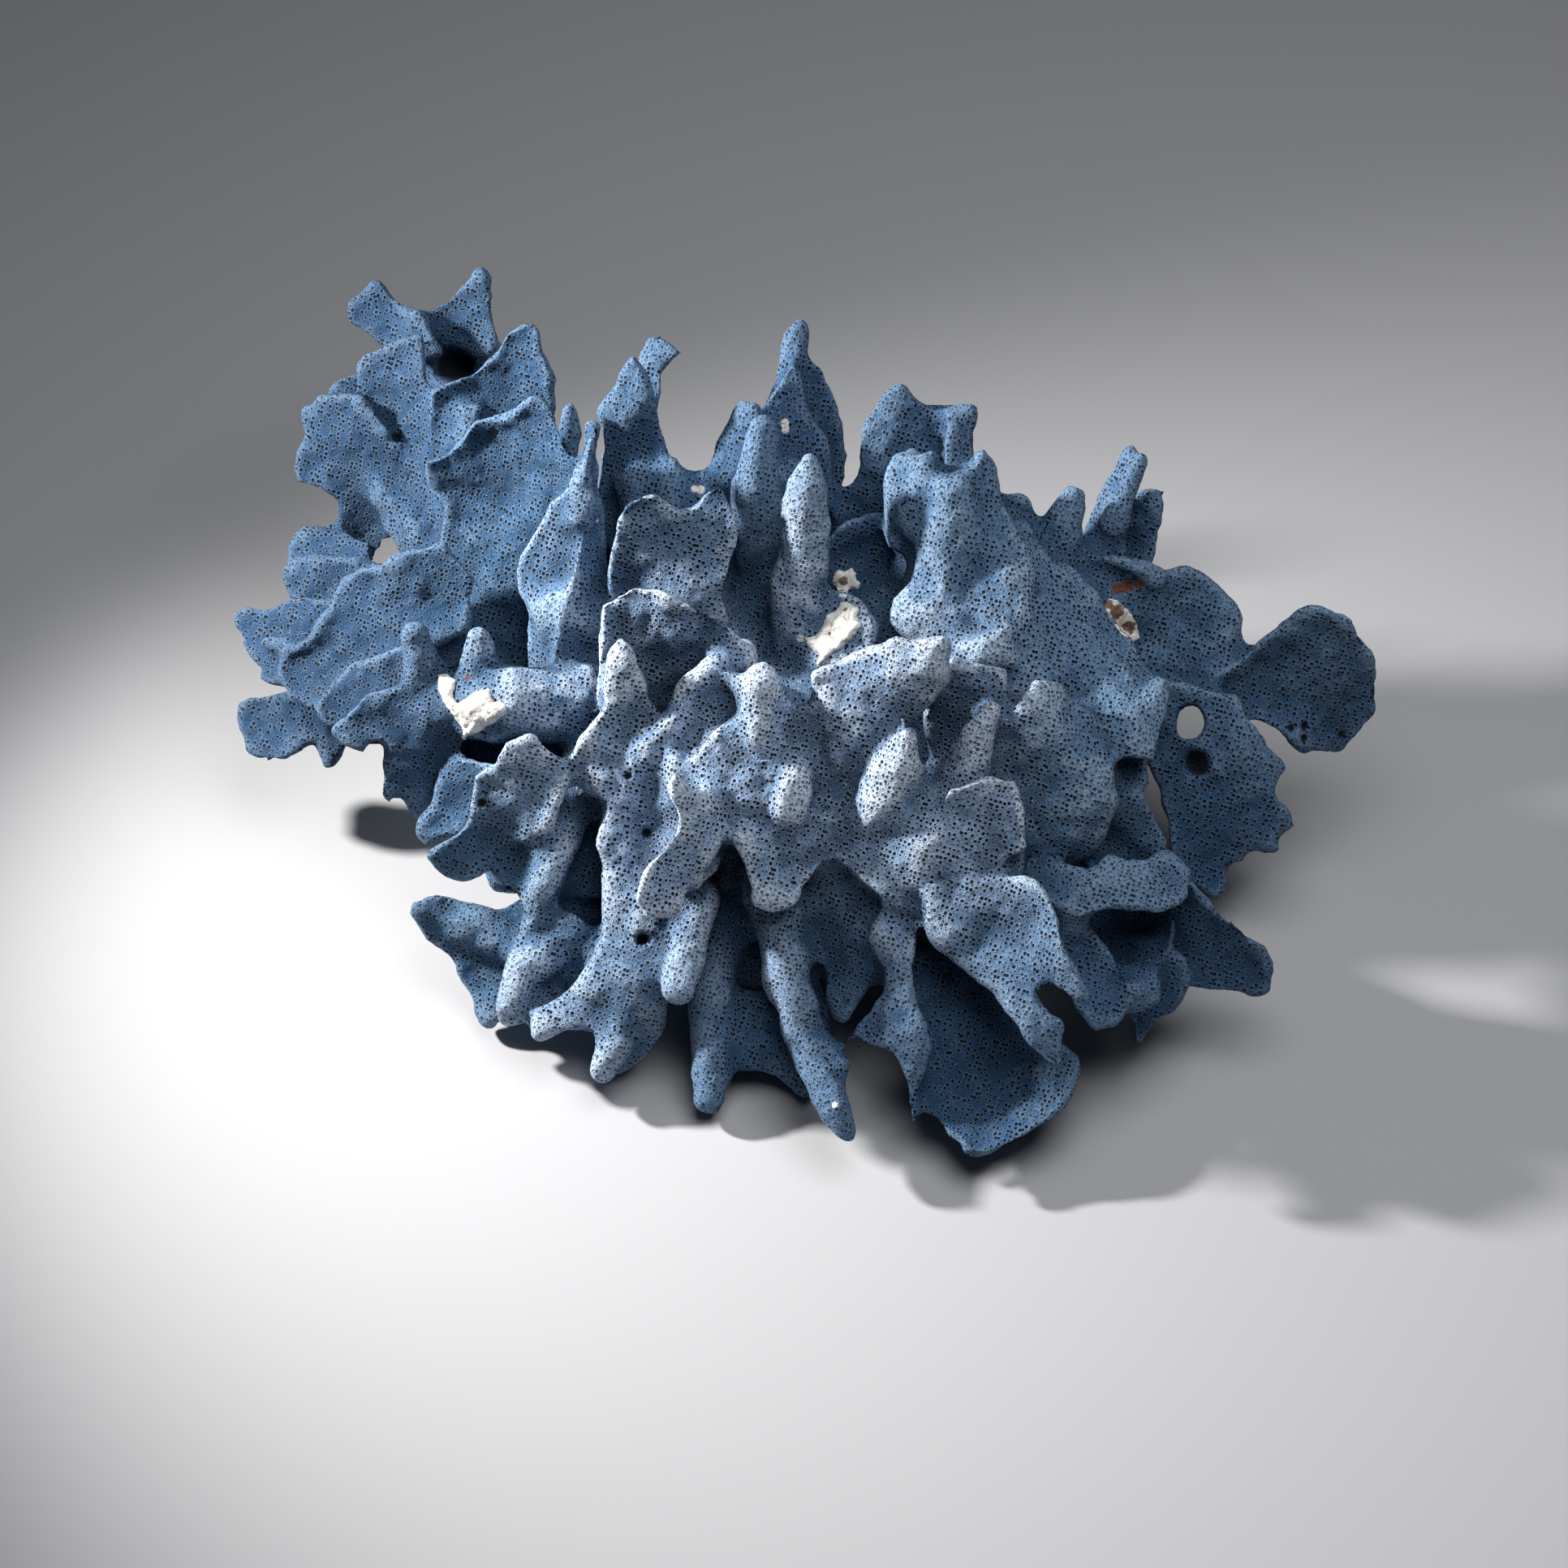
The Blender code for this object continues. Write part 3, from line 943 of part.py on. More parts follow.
def seen_from_front(things):
    """A function that gives the first point of the model behind a drawn point (a, b)."""
    work = bmesh.new()
    for thing in things:
        work.from_mesh(thing.data)
    tree = BVHTree.FromBMesh(work)
    work.free()

    def first_point(a, b):
        near = drawn(a, b, FAR_IN_VIEW)
        far = drawn(a, b, -FAR_IN_VIEW)
        return tree.ray_cast(near, (far - near).normalized())[0]

    return first_point


def crust_meshes(spots, first_point):
    return [ball_mesh(first_point(a, b), Vector((radius, radius, radius)) * MM, 2) for a, b, radius in spots]


def main():
    clear_scene()
    parts = new_collection("blue_ridge_coral_skeleton")
    cutters = new_collection("cutters")
    homes = (parts, cutters)
    blue = plain_material("blue_skeleton", SKELETON_BLUE, 0.9)
    white = plain_material("white_crust", CRUST_WHITE, 0.85)
    made = make_trunk(parts, cutters, blue)
    for name, shapes in BRANCHES.items():
        blades = [shape for shape in shapes if shape["kind"] == "blade"]
        meshes = [blade_mesh(shape) for shape in blades]
        meshes += [finger_mesh(shape) for shape in shapes if shape["kind"] != "blade"]
        meshes += root_meshes(shapes)
        meshes += [keel for keel in map(keel_mesh, blades) if keel]
        made += make_branch(name, meshes, GRAIN, TRIANGLES_PER_CM2, homes, made, blue)
    for name, (hub, rows) in REAR_BRANCHES.items():
        meshes = [stem_mesh(hub)] + [rear_blade_mesh(hub, *row) for row in rows]
        made += make_branch(name, meshes, GRAIN, TRIANGLES_PER_CM2, homes, made, blue)
    first_point = seen_from_front([thing for thing in made if not thing.hide_render])
    for name, spots in CRUSTS.items():
        meshes = crust_meshes(spots, first_point)
        made += make_branch(name, meshes, CRUST_GRAIN, CRUST_TRIANGLES_PER_CM2, homes, made, white)


main()
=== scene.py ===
"""Blue ridge coral skeleton: its finished surface, its crusts, its finishes and a plain studio.

Every blade and finger is drawn in millimetres as it looks from 45 degrees above the front: a to the
right, b up, d toward the viewer. All shapes are grown together into one fine skin with lumps and folds.
Each vertex learns how sharp its ridge is and how open to the light it lies. Then the skin is parted
into the trunk and the branches, and the parted ends are closed inside the coral.
"""

import json
import math

import bmesh
import bpy
import numpy as np
from bpy.props import FloatProperty, FloatVectorProperty, IntProperty, PointerProperty
from mathutils import Matrix, Vector
from mathutils.bvhtree import BVHTree

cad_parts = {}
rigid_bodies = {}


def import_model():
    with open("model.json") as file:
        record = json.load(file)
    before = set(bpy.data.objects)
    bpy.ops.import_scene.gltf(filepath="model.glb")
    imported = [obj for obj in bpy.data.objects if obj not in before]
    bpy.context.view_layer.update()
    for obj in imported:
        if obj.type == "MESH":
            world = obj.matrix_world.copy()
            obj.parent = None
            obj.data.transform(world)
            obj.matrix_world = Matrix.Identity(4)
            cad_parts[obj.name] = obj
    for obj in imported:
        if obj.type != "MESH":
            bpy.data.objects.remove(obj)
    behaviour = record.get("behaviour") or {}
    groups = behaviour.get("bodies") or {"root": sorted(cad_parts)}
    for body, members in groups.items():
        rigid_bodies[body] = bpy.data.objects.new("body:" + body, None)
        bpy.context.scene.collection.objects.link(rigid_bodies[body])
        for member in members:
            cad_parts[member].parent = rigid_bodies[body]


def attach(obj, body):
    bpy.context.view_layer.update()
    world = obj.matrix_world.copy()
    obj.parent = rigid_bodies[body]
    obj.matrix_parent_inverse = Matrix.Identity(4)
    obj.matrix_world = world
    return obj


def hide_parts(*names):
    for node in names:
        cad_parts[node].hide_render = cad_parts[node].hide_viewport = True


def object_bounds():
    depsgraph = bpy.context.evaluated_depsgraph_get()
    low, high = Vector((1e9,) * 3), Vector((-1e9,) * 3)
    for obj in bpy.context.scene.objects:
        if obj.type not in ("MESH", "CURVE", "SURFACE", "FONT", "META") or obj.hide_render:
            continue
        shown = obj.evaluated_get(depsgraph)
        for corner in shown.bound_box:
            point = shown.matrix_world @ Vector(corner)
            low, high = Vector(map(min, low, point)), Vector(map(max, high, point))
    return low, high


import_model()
CAD_BOX = [list(corner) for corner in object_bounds()]

bl_info = {
    "name": "Blue ridge coral skeleton",
    "version": (1, 0, 0),
    "blender": (4, 5, 0),
    "location": "View3D > Sidebar > Coral",
    "description": "Models a dry blue ridge coral skeleton with its crusts, its finishes and a plain studio",
    "category": "Add Mesh",
}

MM = 0.001

# How the branches are drawn: the slant of the view, its distance, and where its middle lies.
VIEW_SLANT = math.radians(45)
VIEW_DISTANCE = 1500.0
MIDDLE_HEIGHT = 60.0
MIDDLE_BACK = -25.0

# What the photograph shows across its whole width, in millimetres, and the camera's sensor.
PHOTO_WIDTH = 386.4
SENSOR_WIDTH = 36.0

# The trunk's core, and the lumps of its foot and crown, each a bearing, a distance, a height and a radius.
CORE_HEIGHT = 34.0
CORE_RADII = (50.0, 40.0, 36.0)
CORE_DETAIL = 4
LUMP_DETAIL = 3
TRUNK_LUMPS = [(8, 26, 9, 22), (48, 22, 6, 21), (92, 20, 10, 20), (128, 27, 7, 21), (176, 30, 8, 21),
               (216, 26, 11, 20), (258, 20, 7, 21), (300, 22, 9, 20), (334, 30, 6, 19), (20, 26, 56, 14),
               (96, 24, 54, 13), (155, 28, 55, 15), (235, 20, 58, 13), (300, 24, 57, 12)]

# A blade is cut in squares, thins toward its edge, may be dished, and waves.
SQUARE = 3.0
HOLE_SIDES = 14
EDGE_SHARE = 0.66
EDGE_WIDTH = 7.0
DISH_WIDTH = 10.0
WAVE_DEPTH = 4.0
WAVE_A = 8.0
WAVE_B = 10.0

# A root ties a blade to its stem where they don't already run well into each other.
ROOT_INSET = 3.0
ROOT_OVERLAP = 2.0
ROOT_RADIUS = 4.5
ROOT_TAPER = 0.8
ROOT_SEARCH_STEP = 2

# A broad blade has a keel behind it, a blade turned across it that runs back into the coral.
KEEL_INSET = 3.5
KEEL_LEAST = 14
KEEL_REACH = 0.62
KEEL_MOST = 30.0
KEEL_THICK = 5.5
KEEL_SLANT = 0.35
KEEL_STATIONS = 7
KEEL_LOBE = 0.22
KEEL_LOBE_TURN = 2.2
KEEL_BEHIND = 1

# The least sum of b and d that a keel reaches, which keeps it clear of the ground.
LOWEST_B_PLUS_D = -77.0

# How finely fingers and stems are rounded, as Blender's bevel counts it.
FINGER_ROUNDING = 5

# How a finger's tip is rounded: steps beyond its last point, and how much of its radius is left there.
TIP_ROUNDING = ((0.4, 0.8), (0.62, 0.4))

# How far a finger's start is sunk, as a share of its radius.
START_SINK = 1.3

# Where along a finger its inside is sampled for roots.
FINGER_SHARES = (0.0, 0.33, 0.66, 1.0)

# Points nearer than this, in metres, are one point.
MERGE = 1e-6

# Farther toward the viewer than any part of the coral, in millimetres.
FAR_IN_VIEW = 200

# The noise that displaces the skin: how many layers each cloud has, and how strongly joins are softened.
LUMP_LAYERS = 1
FOLD_LAYERS = 2
BUMP_LAYERS = 2
CRUST_LAYERS = 2
SOFTEN_SHARE = 0.5

# How a piece is closed: a cap face's longest side, how deep the cap lies, and how often it's divided.
CAP_STEP = 3.0 * MM
CAP_DEPTH = 1.2 * MM
CAP_LEAST = 0.15 * MM
CAP_ROUNDS = 7

# How the skin learns its ridges, its openness and its pore map.
RIDGE_ROUNDS = 14
BROAD_RIDGE_ROUNDS = 90
SAMPLE_EVERY = 13
SAMPLE_LIFT = 1.2
LEAST_FACING = 0.15
LEAST_WEIGHT = 1e-6
SKY_REACH = 38.0
SKY_WAY_COUNT = 22
SPREAD_ROUNDS = 24
CHART_ROUNDS = 10
CHART_WAY_COUNT = 30
CHART_TILT = (0.31, 0.53, 0.79)
PORE_UNIT = 10.0
EVENING_ROUNDS = 6
SPOT_FADE = 1.5

# The studio, in metres: the lights' places, aims, tints and widths, the camera's reach and the floor.
KEY_PLACE = (-0.40, 0.09, 0.28)
KEY_AIM = (0.21, -0.14, 0.03)
KEY_TINT = (1.0, 0.985, 0.96)
KEY_SOFTNESS = 0.02
FILL_PLACE = (0.15, -0.10, 0.70)
FILL_AIM = (0.15, -0.12, 0.0)
FILL_TINT = (0.97, 0.985, 1.0)
FILL_WIDTH = 0.6
SKY_TINT = (0.90, 0.94, 1.0, 1.0)
CAMERA_REACH = 10.0
FLOOR_HALF = 4.0


def drawn(a, b, d):
    """The place in the model of a point drawn at (a, b), d millimetres toward the viewer."""
    near = 1 - d / VIEW_DISTANCE
    up = b * near * math.cos(VIEW_SLANT) + d * math.sin(VIEW_SLANT)
    back = b * near * math.sin(VIEW_SLANT) - d * math.cos(VIEW_SLANT)
    return Vector((a * near, back + MIDDLE_BACK, up + MIDDLE_HEIGHT)) * MM


def blade(at, lean, thick, outline, hole=(), dish=0):
    """A blade: a point (a, b, d) on it, how d grows with b and with a, its thickness, its outline.

    A hole in it is the (a, b) of its middle, half its width and half its height. Its rim stands dish
    millimetres nearer to the viewer than its middle.
    """
    return {"kind": "blade", "at": at, "lean": lean, "thick": thick, "outline": outline, "hole": hole,
            "dish": dish}


def finger(*points):
    """A finger through points (a, b, d, radius)."""
    return {"kind": "finger", "points": points}


def stem(*points):
    """A stem that carries a branch out of the trunk, through points (a, b, d, radius)."""
    return {"kind": "stem", "points": points}


# The back left corner: a paw, a spike and two fans round a small cave.
BACK_LEFT_FAN = [
    stem((-20, 8, -44, 20), (-50, 34, -50, 18), (-72, 58, -60, 14), (-84, 84, -70, 9), (-82, 101, -82, 8)),
    blade((-98, 118, -66), (0.1, 0.2), 5, [
        (-99.6, 124.1), (-97, 120.3), (-93.3, 117.7), (-90.4, 116.7), (-88.4, 114.7), (-84, 106),
        (-92, 103), (-99, 108.1), (-102.5, 111.5), (-107.5, 113.6), (-107.8, 116.7), (-107, 119.6),
        (-104.8, 120.2), (-101.6, 123.8)]),
    blade((-76, 125, -62), (0.5, 0.1), 5.5, [
        (-74.5, 127.4), (-77.7, 124.2), (-80.6, 121.3), (-86, 117.3), (-87.8, 114.7), (-89.2, 111),
        (-89.5, 105), (-84, 105.5), (-78, 106), (-72, 104), (-69.5, 108), (-71.7, 115),
        (-72, 119.6), (-72.4, 124.2)]),
    blade((-80, 104, -82), (0.0, 0.0), 5, [(-92, 94), (-70, 92), (-69, 108), (-76, 115), (-87, 113)]),
    blade((-95, 106, -58), (0.0, 0.3), 6, [
        (-88.6, 111), (-95, 108.7), (-103.1, 106.6), (-105.1, 104.6), (-105.4, 100.6), (-104, 95),
        (-100, 85), (-95, 79.8), (-91.5, 75.2), (-84.6, 70.6), (-78, 75), (-76, 85), (-75, 93),
        (-85.2, 96), (-88.4, 100), (-88.8, 106)], dish=2),
    blade((-62, 112, -44), (0.45, -0.1), 6, [
        (-88.1, 79.8), (-87.2, 96.5), (-84.6, 97.7), (-74.8, 102.3), (-71, 106.1), (-68.7, 111.2),
        (-65.6, 112.2), (-64.7, 113.6), (-62.1, 114.3), (-60.4, 112.7), (-59.8, 106.9), (-57.5, 101.1),
        (-56, 93.1), (-58, 78), (-72, 70)], dish=3),
]

# The stepped fan at the left, with a small lobe behind it.
LEFT_FAN = [
    stem((-66, 48, -54, 12), (-88, 62, -58, 9), (-100, 76, -62, 5)),
    blade((-105, 80, -63), (0.2, 0.35), 5.5, [
        (-104, 95.4), (-107.7, 96.2), (-110, 95.4), (-114.6, 96), (-114.9, 94.2), (-118.7, 92.8),
        (-119.1, 90.2), (-118.1, 85.6), (-118.7, 83.3), (-121, 78.1), (-120.4, 74.3), (-115.2, 72.9),
        (-110, 69.7), (-109.7, 67.7), (-111.2, 64.8), (-109, 57), (-101, 54.5), (-98.6, 60), (-92, 62.6),
        (-84, 60), (-83, 71), (-91.5, 76), (-95, 84)], dish=3),
    blade((-108, 98, -72), (0.1, 0.3), 4.5, [
        (-104, 101), (-107.7, 100.9), (-110, 99.7), (-111.6, 97.7), (-111.7, 92), (-100, 88)]),
]

# The broad plate in front of the back left fans, and a short finger at its right.
LEFT_PLATE = [
    stem((-36, 26, -44, 15), (-58, 38, -44, 12), (-70, 52, -40, 8)),
    blade((-66, 92, -18), (0.5, 0.5), 6.5, [
        (-88.9, 79.2), (-83.5, 81.2), (-80, 83.8), (-78, 87.6), (-76, 89.6), (-72.5, 90.5), (-69, 90.2),
        (-66.7, 91.3), (-62.7, 95.7), (-60.9, 96), (-57.5, 93.1), (-55.2, 86.7), (-52, 76), (-56, 64),
        (-63, 50), (-68, 43), (-71.3, 35), (-79, 34), (-81.5, 50), (-84.6, 59.6), (-82.9, 69.4),
        (-87.8, 74)], dish=3),
    finger((-55, 72, -32, 4.4), (-53, 87, -27, 3.2), (-53, 93.5, -25, 1.8)),
    blade((-88, 66, -52), (0.3, 1.0), 6, [
        (-98, 61.5), (-91, 63.5), (-84, 61), (-76, 60), (-76, 78), (-84, 73), (-90, 75), (-96, 72)]),
]

# The tiers of small lobes at the far left, the folded plate before them and the square lobe below.
LEFT_TIERS = [
    stem((-60, 34, -44, 13), (-88, 38, -44, 10), (-110, 42, -50, 6)),
    stem((-84, 34, -46, 8), (-104, 20, -55, 5)),
    blade((-115, 60, -62), (-0.3, 0.3), 4.5, [
        (-110.9, 63.9), (-118.1, 63.9), (-120.1, 62.2), (-122.7, 57.6), (-119.8, 53), (-100, 50),
        (-102, 60)]),
    blade((-115, 50, -58), (-0.3, 0.3), 4.5, [
        (-108.6, 56.4), (-119.2, 55.9), (-122.7, 54.1), (-123.8, 52.7), (-123, 46.6), (-118, 42), (-98, 42),
        (-98, 54)]),
    blade((-125, 38, -54), (-0.3, 0.35), 4.5, [
        (-118, 47), (-123.8, 45.2), (-128.5, 43.3), (-133.1, 43.5), (-135.4, 42.6), (-136, 40.3),
        (-133.4, 36), (-133.8, 33.9), (-129.6, 29.6), (-125, 24), (-108, 24), (-102, 42)], dish=3),
    finger((-116, 32, -42, 3.4), (-124, 34, -44, 2.4), (-128.2, 34.8, -45, 1.2)),
    finger((-116, 25, -42, 3.4), (-124, 26, -46, 2.4), (-129.3, 26.6, -48, 1.2)),
    blade((-100, 42, -34), (0.1, 0.35), 5, [
        (-105.4, 53.3), (-99.6, 53.3), (-96.1, 55.6), (-84.6, 59.6), (-76, 50), (-78, 38), (-90, 32),
        (-105, 22), (-118.1, 19.2), (-122.1, 21.8), (-124.4, 26.1), (-125.3, 29), (-122.7, 32.8),
        (-114.6, 36), (-111.7, 41.1), (-109.4, 46.9)], dish=3),
    finger((-100, 52.5, -32, 2.4), (-107, 49.5, -33.5, 2.6), (-111, 42, -35.5, 2.6),
           (-115.5, 35.5, -38, 2.4), (-122, 31.5, -41, 2)),
    blade((-122, 14, -62), (-0.2, 0.3), 5, [
        (-118, 24), (-125.9, 22.4), (-134.2, 19.8), (-135.1, 15.2), (-132.8, 8.5), (-130.2, 6.5),
        (-126.2, 6), (-122.7, 6.5), (-116.9, 10.6), (-114, 10.6), (-113.2, 5.1), (-111.7, 4.2),
        (-108.8, 8.3), (-100, 18), (-102, 26)], dish=3),
]

# The arm that reaches left, with a cupped rim, two stub fingers and a fringe.
LEFT_ARM = [
    stem((-30, 10, -28, 15), (-52, 20, -10, 10), (-66, 20, -7, 9), (-78, 21, -11, 8.5), (-90, 23, -17, 6)),
    blade((-65, 20, -9), (0.1, 0.1), 8, [
        (-84, 22), (-80, 11), (-70.8, 10.3), (-59.2, 13.7), (-48, 12), (-46, 22), (-60, 26)]),
    blade((-105, 22, -30), (0.3, 0.4), 4.5, [
        (-90, 35), (-97.3, 32.5), (-101.9, 30.2), (-105.4, 30.2), (-111.2, 25), (-115.2, 19.8),
        (-115.2, 16.9), (-112.3, 13.2), (-104, 12), (-88, 16)], dish=3),
    blade((-100, 15, -18), (0.2, 0.3), 5, [
        (-90, 25), (-97.3, 23.3), (-102.5, 23), (-107.1, 17.5), (-112.3, 13.2), (-110, 10.6), (-103.4, 6.7),
        (-101.6, 10), (-98.7, 11.1), (-96, 8), (-86, 8), (-82, 18)], dish=3),
    finger((-86, 20, -15, 6), (-89.5, 30, -10, 5), (-91, 37.6, -6, 3.8)),
    finger((-76, 20, -12, 6.5), (-75.4, 31, -7, 5.2), (-75.8, 37, -4, 3.4)),
    blade((-92, 2, -20), (0.5, 0.1), 5, [
        (-97.9, 9.7), (-99.2, 4.6), (-99.9, -3.6), (-97.2, -5.1), (-95.6, -2.1), (-93.3, -2.1),
        (-92.1, -7.7), (-90, -9.2), (-88.2, -5.6), (-86.2, -1.5), (-82, 6), (-76, 14), (-80, 20),
        (-94, 18)]),
]

# The tall pale crest left of the middle.
LEFT_CREST = [
    stem((-24, 20, -36, 16), (-44, 32, -26, 12), (-56, 44, -14, 7)),
    blade((-48, 80, -5), (0.2, 0.5), 6, [
        (-46.9, 90.5), (-48.8, 81.2), (-50.2, 75.2), (-58.1, 69.7), (-59.8, 64.8), (-65.6, 55.6),
        (-66.4, 51), (-65.6, 46.3), (-62.7, 43.5), (-63.8, 25.6), (-62, 16), (-54, 16), (-55, 34),
        (-51.4, 48), (-48.6, 60), (-46.4, 69.5), (-48, 77), (-46, 88.7)]),
    blade((-48, 66, -11), (0.2, -0.9), 5, [
        (-47, 88), (-48.6, 77), (-48, 69), (-50, 60), (-53, 48), (-57, 34), (-56, 16), (-48, 14),
        (-46, 30), (-44, 44), (-43.6, 58.5), (-45, 67.7), (-46.8, 79), (-45.9, 88)]),
    finger((-54, 30, -24, 5), (-51, 52, -16, 4), (-48.6, 68, -12, 3.2), (-47.9, 80, -9, 2.6),
           (-47, 88.6, -8, 2.3)),
    finger((-50, 66, -10, 4), (-49.8, 75, -7, 2.8), (-49.4, 78, -6, 2)),
]

# The lobes low at the front left, with a dark plate behind them under the arm.
FRONT_LEFT_LOBES = [
    stem((-24, -4, -34, 16), (-52, -6, -18, 11), (-68, -10, -15, 6)),
    stem((-34, -16, -32, 14), (-52, -30, -20, 10), (-64, -44, -14, 6)),
    blade((-78, 0, -14), (0.3, 0.3), 4.5, [
        (-71.5, 4.6), (-77.2, 6.4), (-82.8, 5.9), (-85.4, 1), (-86.4, -5.6), (-89.5, -9.7), (-90.3, -12.8),
        (-88.5, -15.1), (-83.3, -12.6), (-76, -13), (-60, -6), (-58, 8)], dish=3),
    blade((-78, -12, -4), (0.3, 0.3), 5, [
        (-62, 12), (-69, 10), (-71.3, 4.6), (-76.4, 1.8), (-76.4, -3.6), (-77.2, -9.2), (-81.3, -13.3),
        (-88.7, -17.9), (-83.8, -23.6), (-79.7, -24.1), (-74.1, -22.3),
        (-70, -16), (-58, -12), (-52, 4)], dish=3),
    blade((-66, -20, -6), (0.2, 0.3), 4.5, [
        (-58, -8), (-62.3, -13.3), (-66.9, -14.9), (-72.1, -20.5), (-69.5, -22.6), (-65.4, -27.7),
        (-56, -28), (-50, -14)]),
    blade((-80, -34, -18), (0.2, 0.2), 5.5, [
        (-56, -26), (-65.9, -27.7), (-70, -30.8), (-74.1, -31.3), (-81.3, -27.9), (-85.9, -27.2),
        (-91.8, -29.2), (-92.5, -31.8), (-88.5, -38.5), (-80.3, -43.8), (-80.8, -46.7), (-77.2, -52.3),
        (-74.6, -58.5), (-72.1, -60), (-66, -54), (-56, -42)]),
    blade((-62, -45, -8), (0.1, 0.1), 6, [
        (-52, -31), (-58.7, -35.1), (-65.4, -37.4), (-67.4, -43.6), (-71, -54.4), (-69.5, -59.2),
        (-66.4, -59.7), (-60.3, -55.4), (-50, -50), (-44, -38)]),
    finger((-49, 2, -6, 7), (-56, -12, -3, 6.2), (-59, -24, -4, 5.6), (-61.5, -35, -7, 4)),
    finger((-68, -38, -16, 6), (-79, -34, -17, 5.4), (-87, -31.5, -18, 4.2)),
    finger((-56, -40, -8, 7), (-63, -46, -6, 5.2), (-67.5, -54, -6, 3.4)),
    blade((-48, -22, -10), (0.0, 0.0), 4.5, [
        (-48, -14), (-52.6, -22.6), (-55.6, -28.5), (-46, -29), (-40, -20)]),
    blade((-66, 4, -24), (0.2, 0.0), 5, [
        (-82, 4), (-79, 13), (-66, 16), (-50, 15), (-48, -6), (-62, -12), (-76, -6)]),
]

# The thick stem at the front left, from its raised finger down to its toes.
FRONT_LEFT_STEM = [
    stem((-14, 2, -26, 16), (-34, -4, -4, 11), (-36, -28, -3, 8), (-38, -48, -5, 7)),
    blade((-40, 30, 18), (0.5, 0.0), 10, [
        (-40.6, 36.2), (-42.7, 33.4), (-44.2, 23.6), (-44.4, 18.6), (-51.1, 10.2), (-52.9, 5.3), (-50, -2),
        (-38, -6), (-30, 6), (-31.8, 15.8), (-34.6, 26.4), (-38.5, 34.8)]),
    blade((-35, -10, 8), (0.2, 0.1), 10, [
        (-49.5, 2.1), (-43.1, -5.6), (-46.9, -14.9), (-43.3, -23.6), (-43.8, -34.4), (-47.9, -46.2),
        (-55.6, -52.8), (-62.3, -55.9), (-62.3, -61.5), (-60.6, -63.3), (-53.6, -60.1), (-44.4, -60),
        (-44.4, -67.1), (-44.6, -71), (-41, -72.4), (-38.1, -71), (-33.9, -67.8), (-29.7, -59.4), (-28, -44),
        (-22, -26), (-20, 2), (-34, 12)]),
    blade((-13, 12, 20), (0.35, 0.1), 8, [
        (-12.5, 16.1), (-15.3, 15.1), (-20.2, 10.2), (-25.1, 1.1), (-25, -10), (-8, -16), (0, 0),
        (-4.1, 10.9)]),
    finger((-27, -4, 12, 4.4), (-27, 2, 16, 3), (-26.9, 6, 18, 1.5)),
    blade((-30, -20, 25), (0.1, -0.45), 5.5, [
        (-26.9, 3), (-23.7, -1), (-18.1, -2.4), (-15, -5.2), (-13.9, -9.4), (-18.1, -19.9), (-25.1, -27.7),
        (-26.2, -31.9), (-33, -33), (-36.7, -28.4), (-32.9, -19.2), (-25.1, -10.1), (-28.3, 0)]),
    finger((-22, -14, 10, 8), (-24, -22, 16, 6)),
    finger((-22, -28, 4, 6), (-24, -42, 10, 4.8), (-25.8, -51.5, 15, 4.4)),
    finger((-38, -52, -2, 7), (-42, -65, 0, 4.8), (-45.2, -72.2, 0.5, 2.9)),
]

# The fingers and the web that hang over the front, round a dark cave.
FRONT_CENTRE = [
    stem((0, -10, -26, 17), (-1, -24, -4, 11), (0, -38, 2, 6.4)),
    stem((-4, -18, -28, 14), (-18, -40, -8, 7), (-18, -54, -4, 6.2), (-17.5, -67, -1, 5.6),
         (-18, -79, 2, 4.2)),
    finger((0, -36, 1, 6.4), (1, -48, 6, 5.8), (4.5, -60, 10, 5.3), (9, -72, 14, 5), (13, -81, 18, 4.2),
           (15.8, -87, 20, 2)),
    finger((10, -66, 13, 4), (15, -70, 14, 3)),
    blade((-5, -60, -7), (-0.2, 0.0), 5, [
        (-18, -70), (-12.2, -70.3), (-3, -70.6), (3.3, -76.6), (6.1, -77.8), (12, -66), (10, -50),
        (-14, -51), (-22, -58)]),
    blade((0, -18, 16), (0.1, 0.0), 9, [
        (-12, -12), (-8, -24.3), (-7.3, -28.5), (-2.4, -31.5), (2.6, -29.9), (5.4, -24.3), (12, -18),
        (14, -8), (-6, -4)]),
    blade((12, -40, 3), (0.1, 0.25), 6, [
        (8, -14), (6.1, -33.5), (10.3, -46.1), (10.3, -53.1), (12.4, -58), (15.2, -58.7), (22, -48),
        (28, -34), (26, -14)]),
    finger((6, -30, -10, 4), (7.5, -46, -7, 3.4)),
]

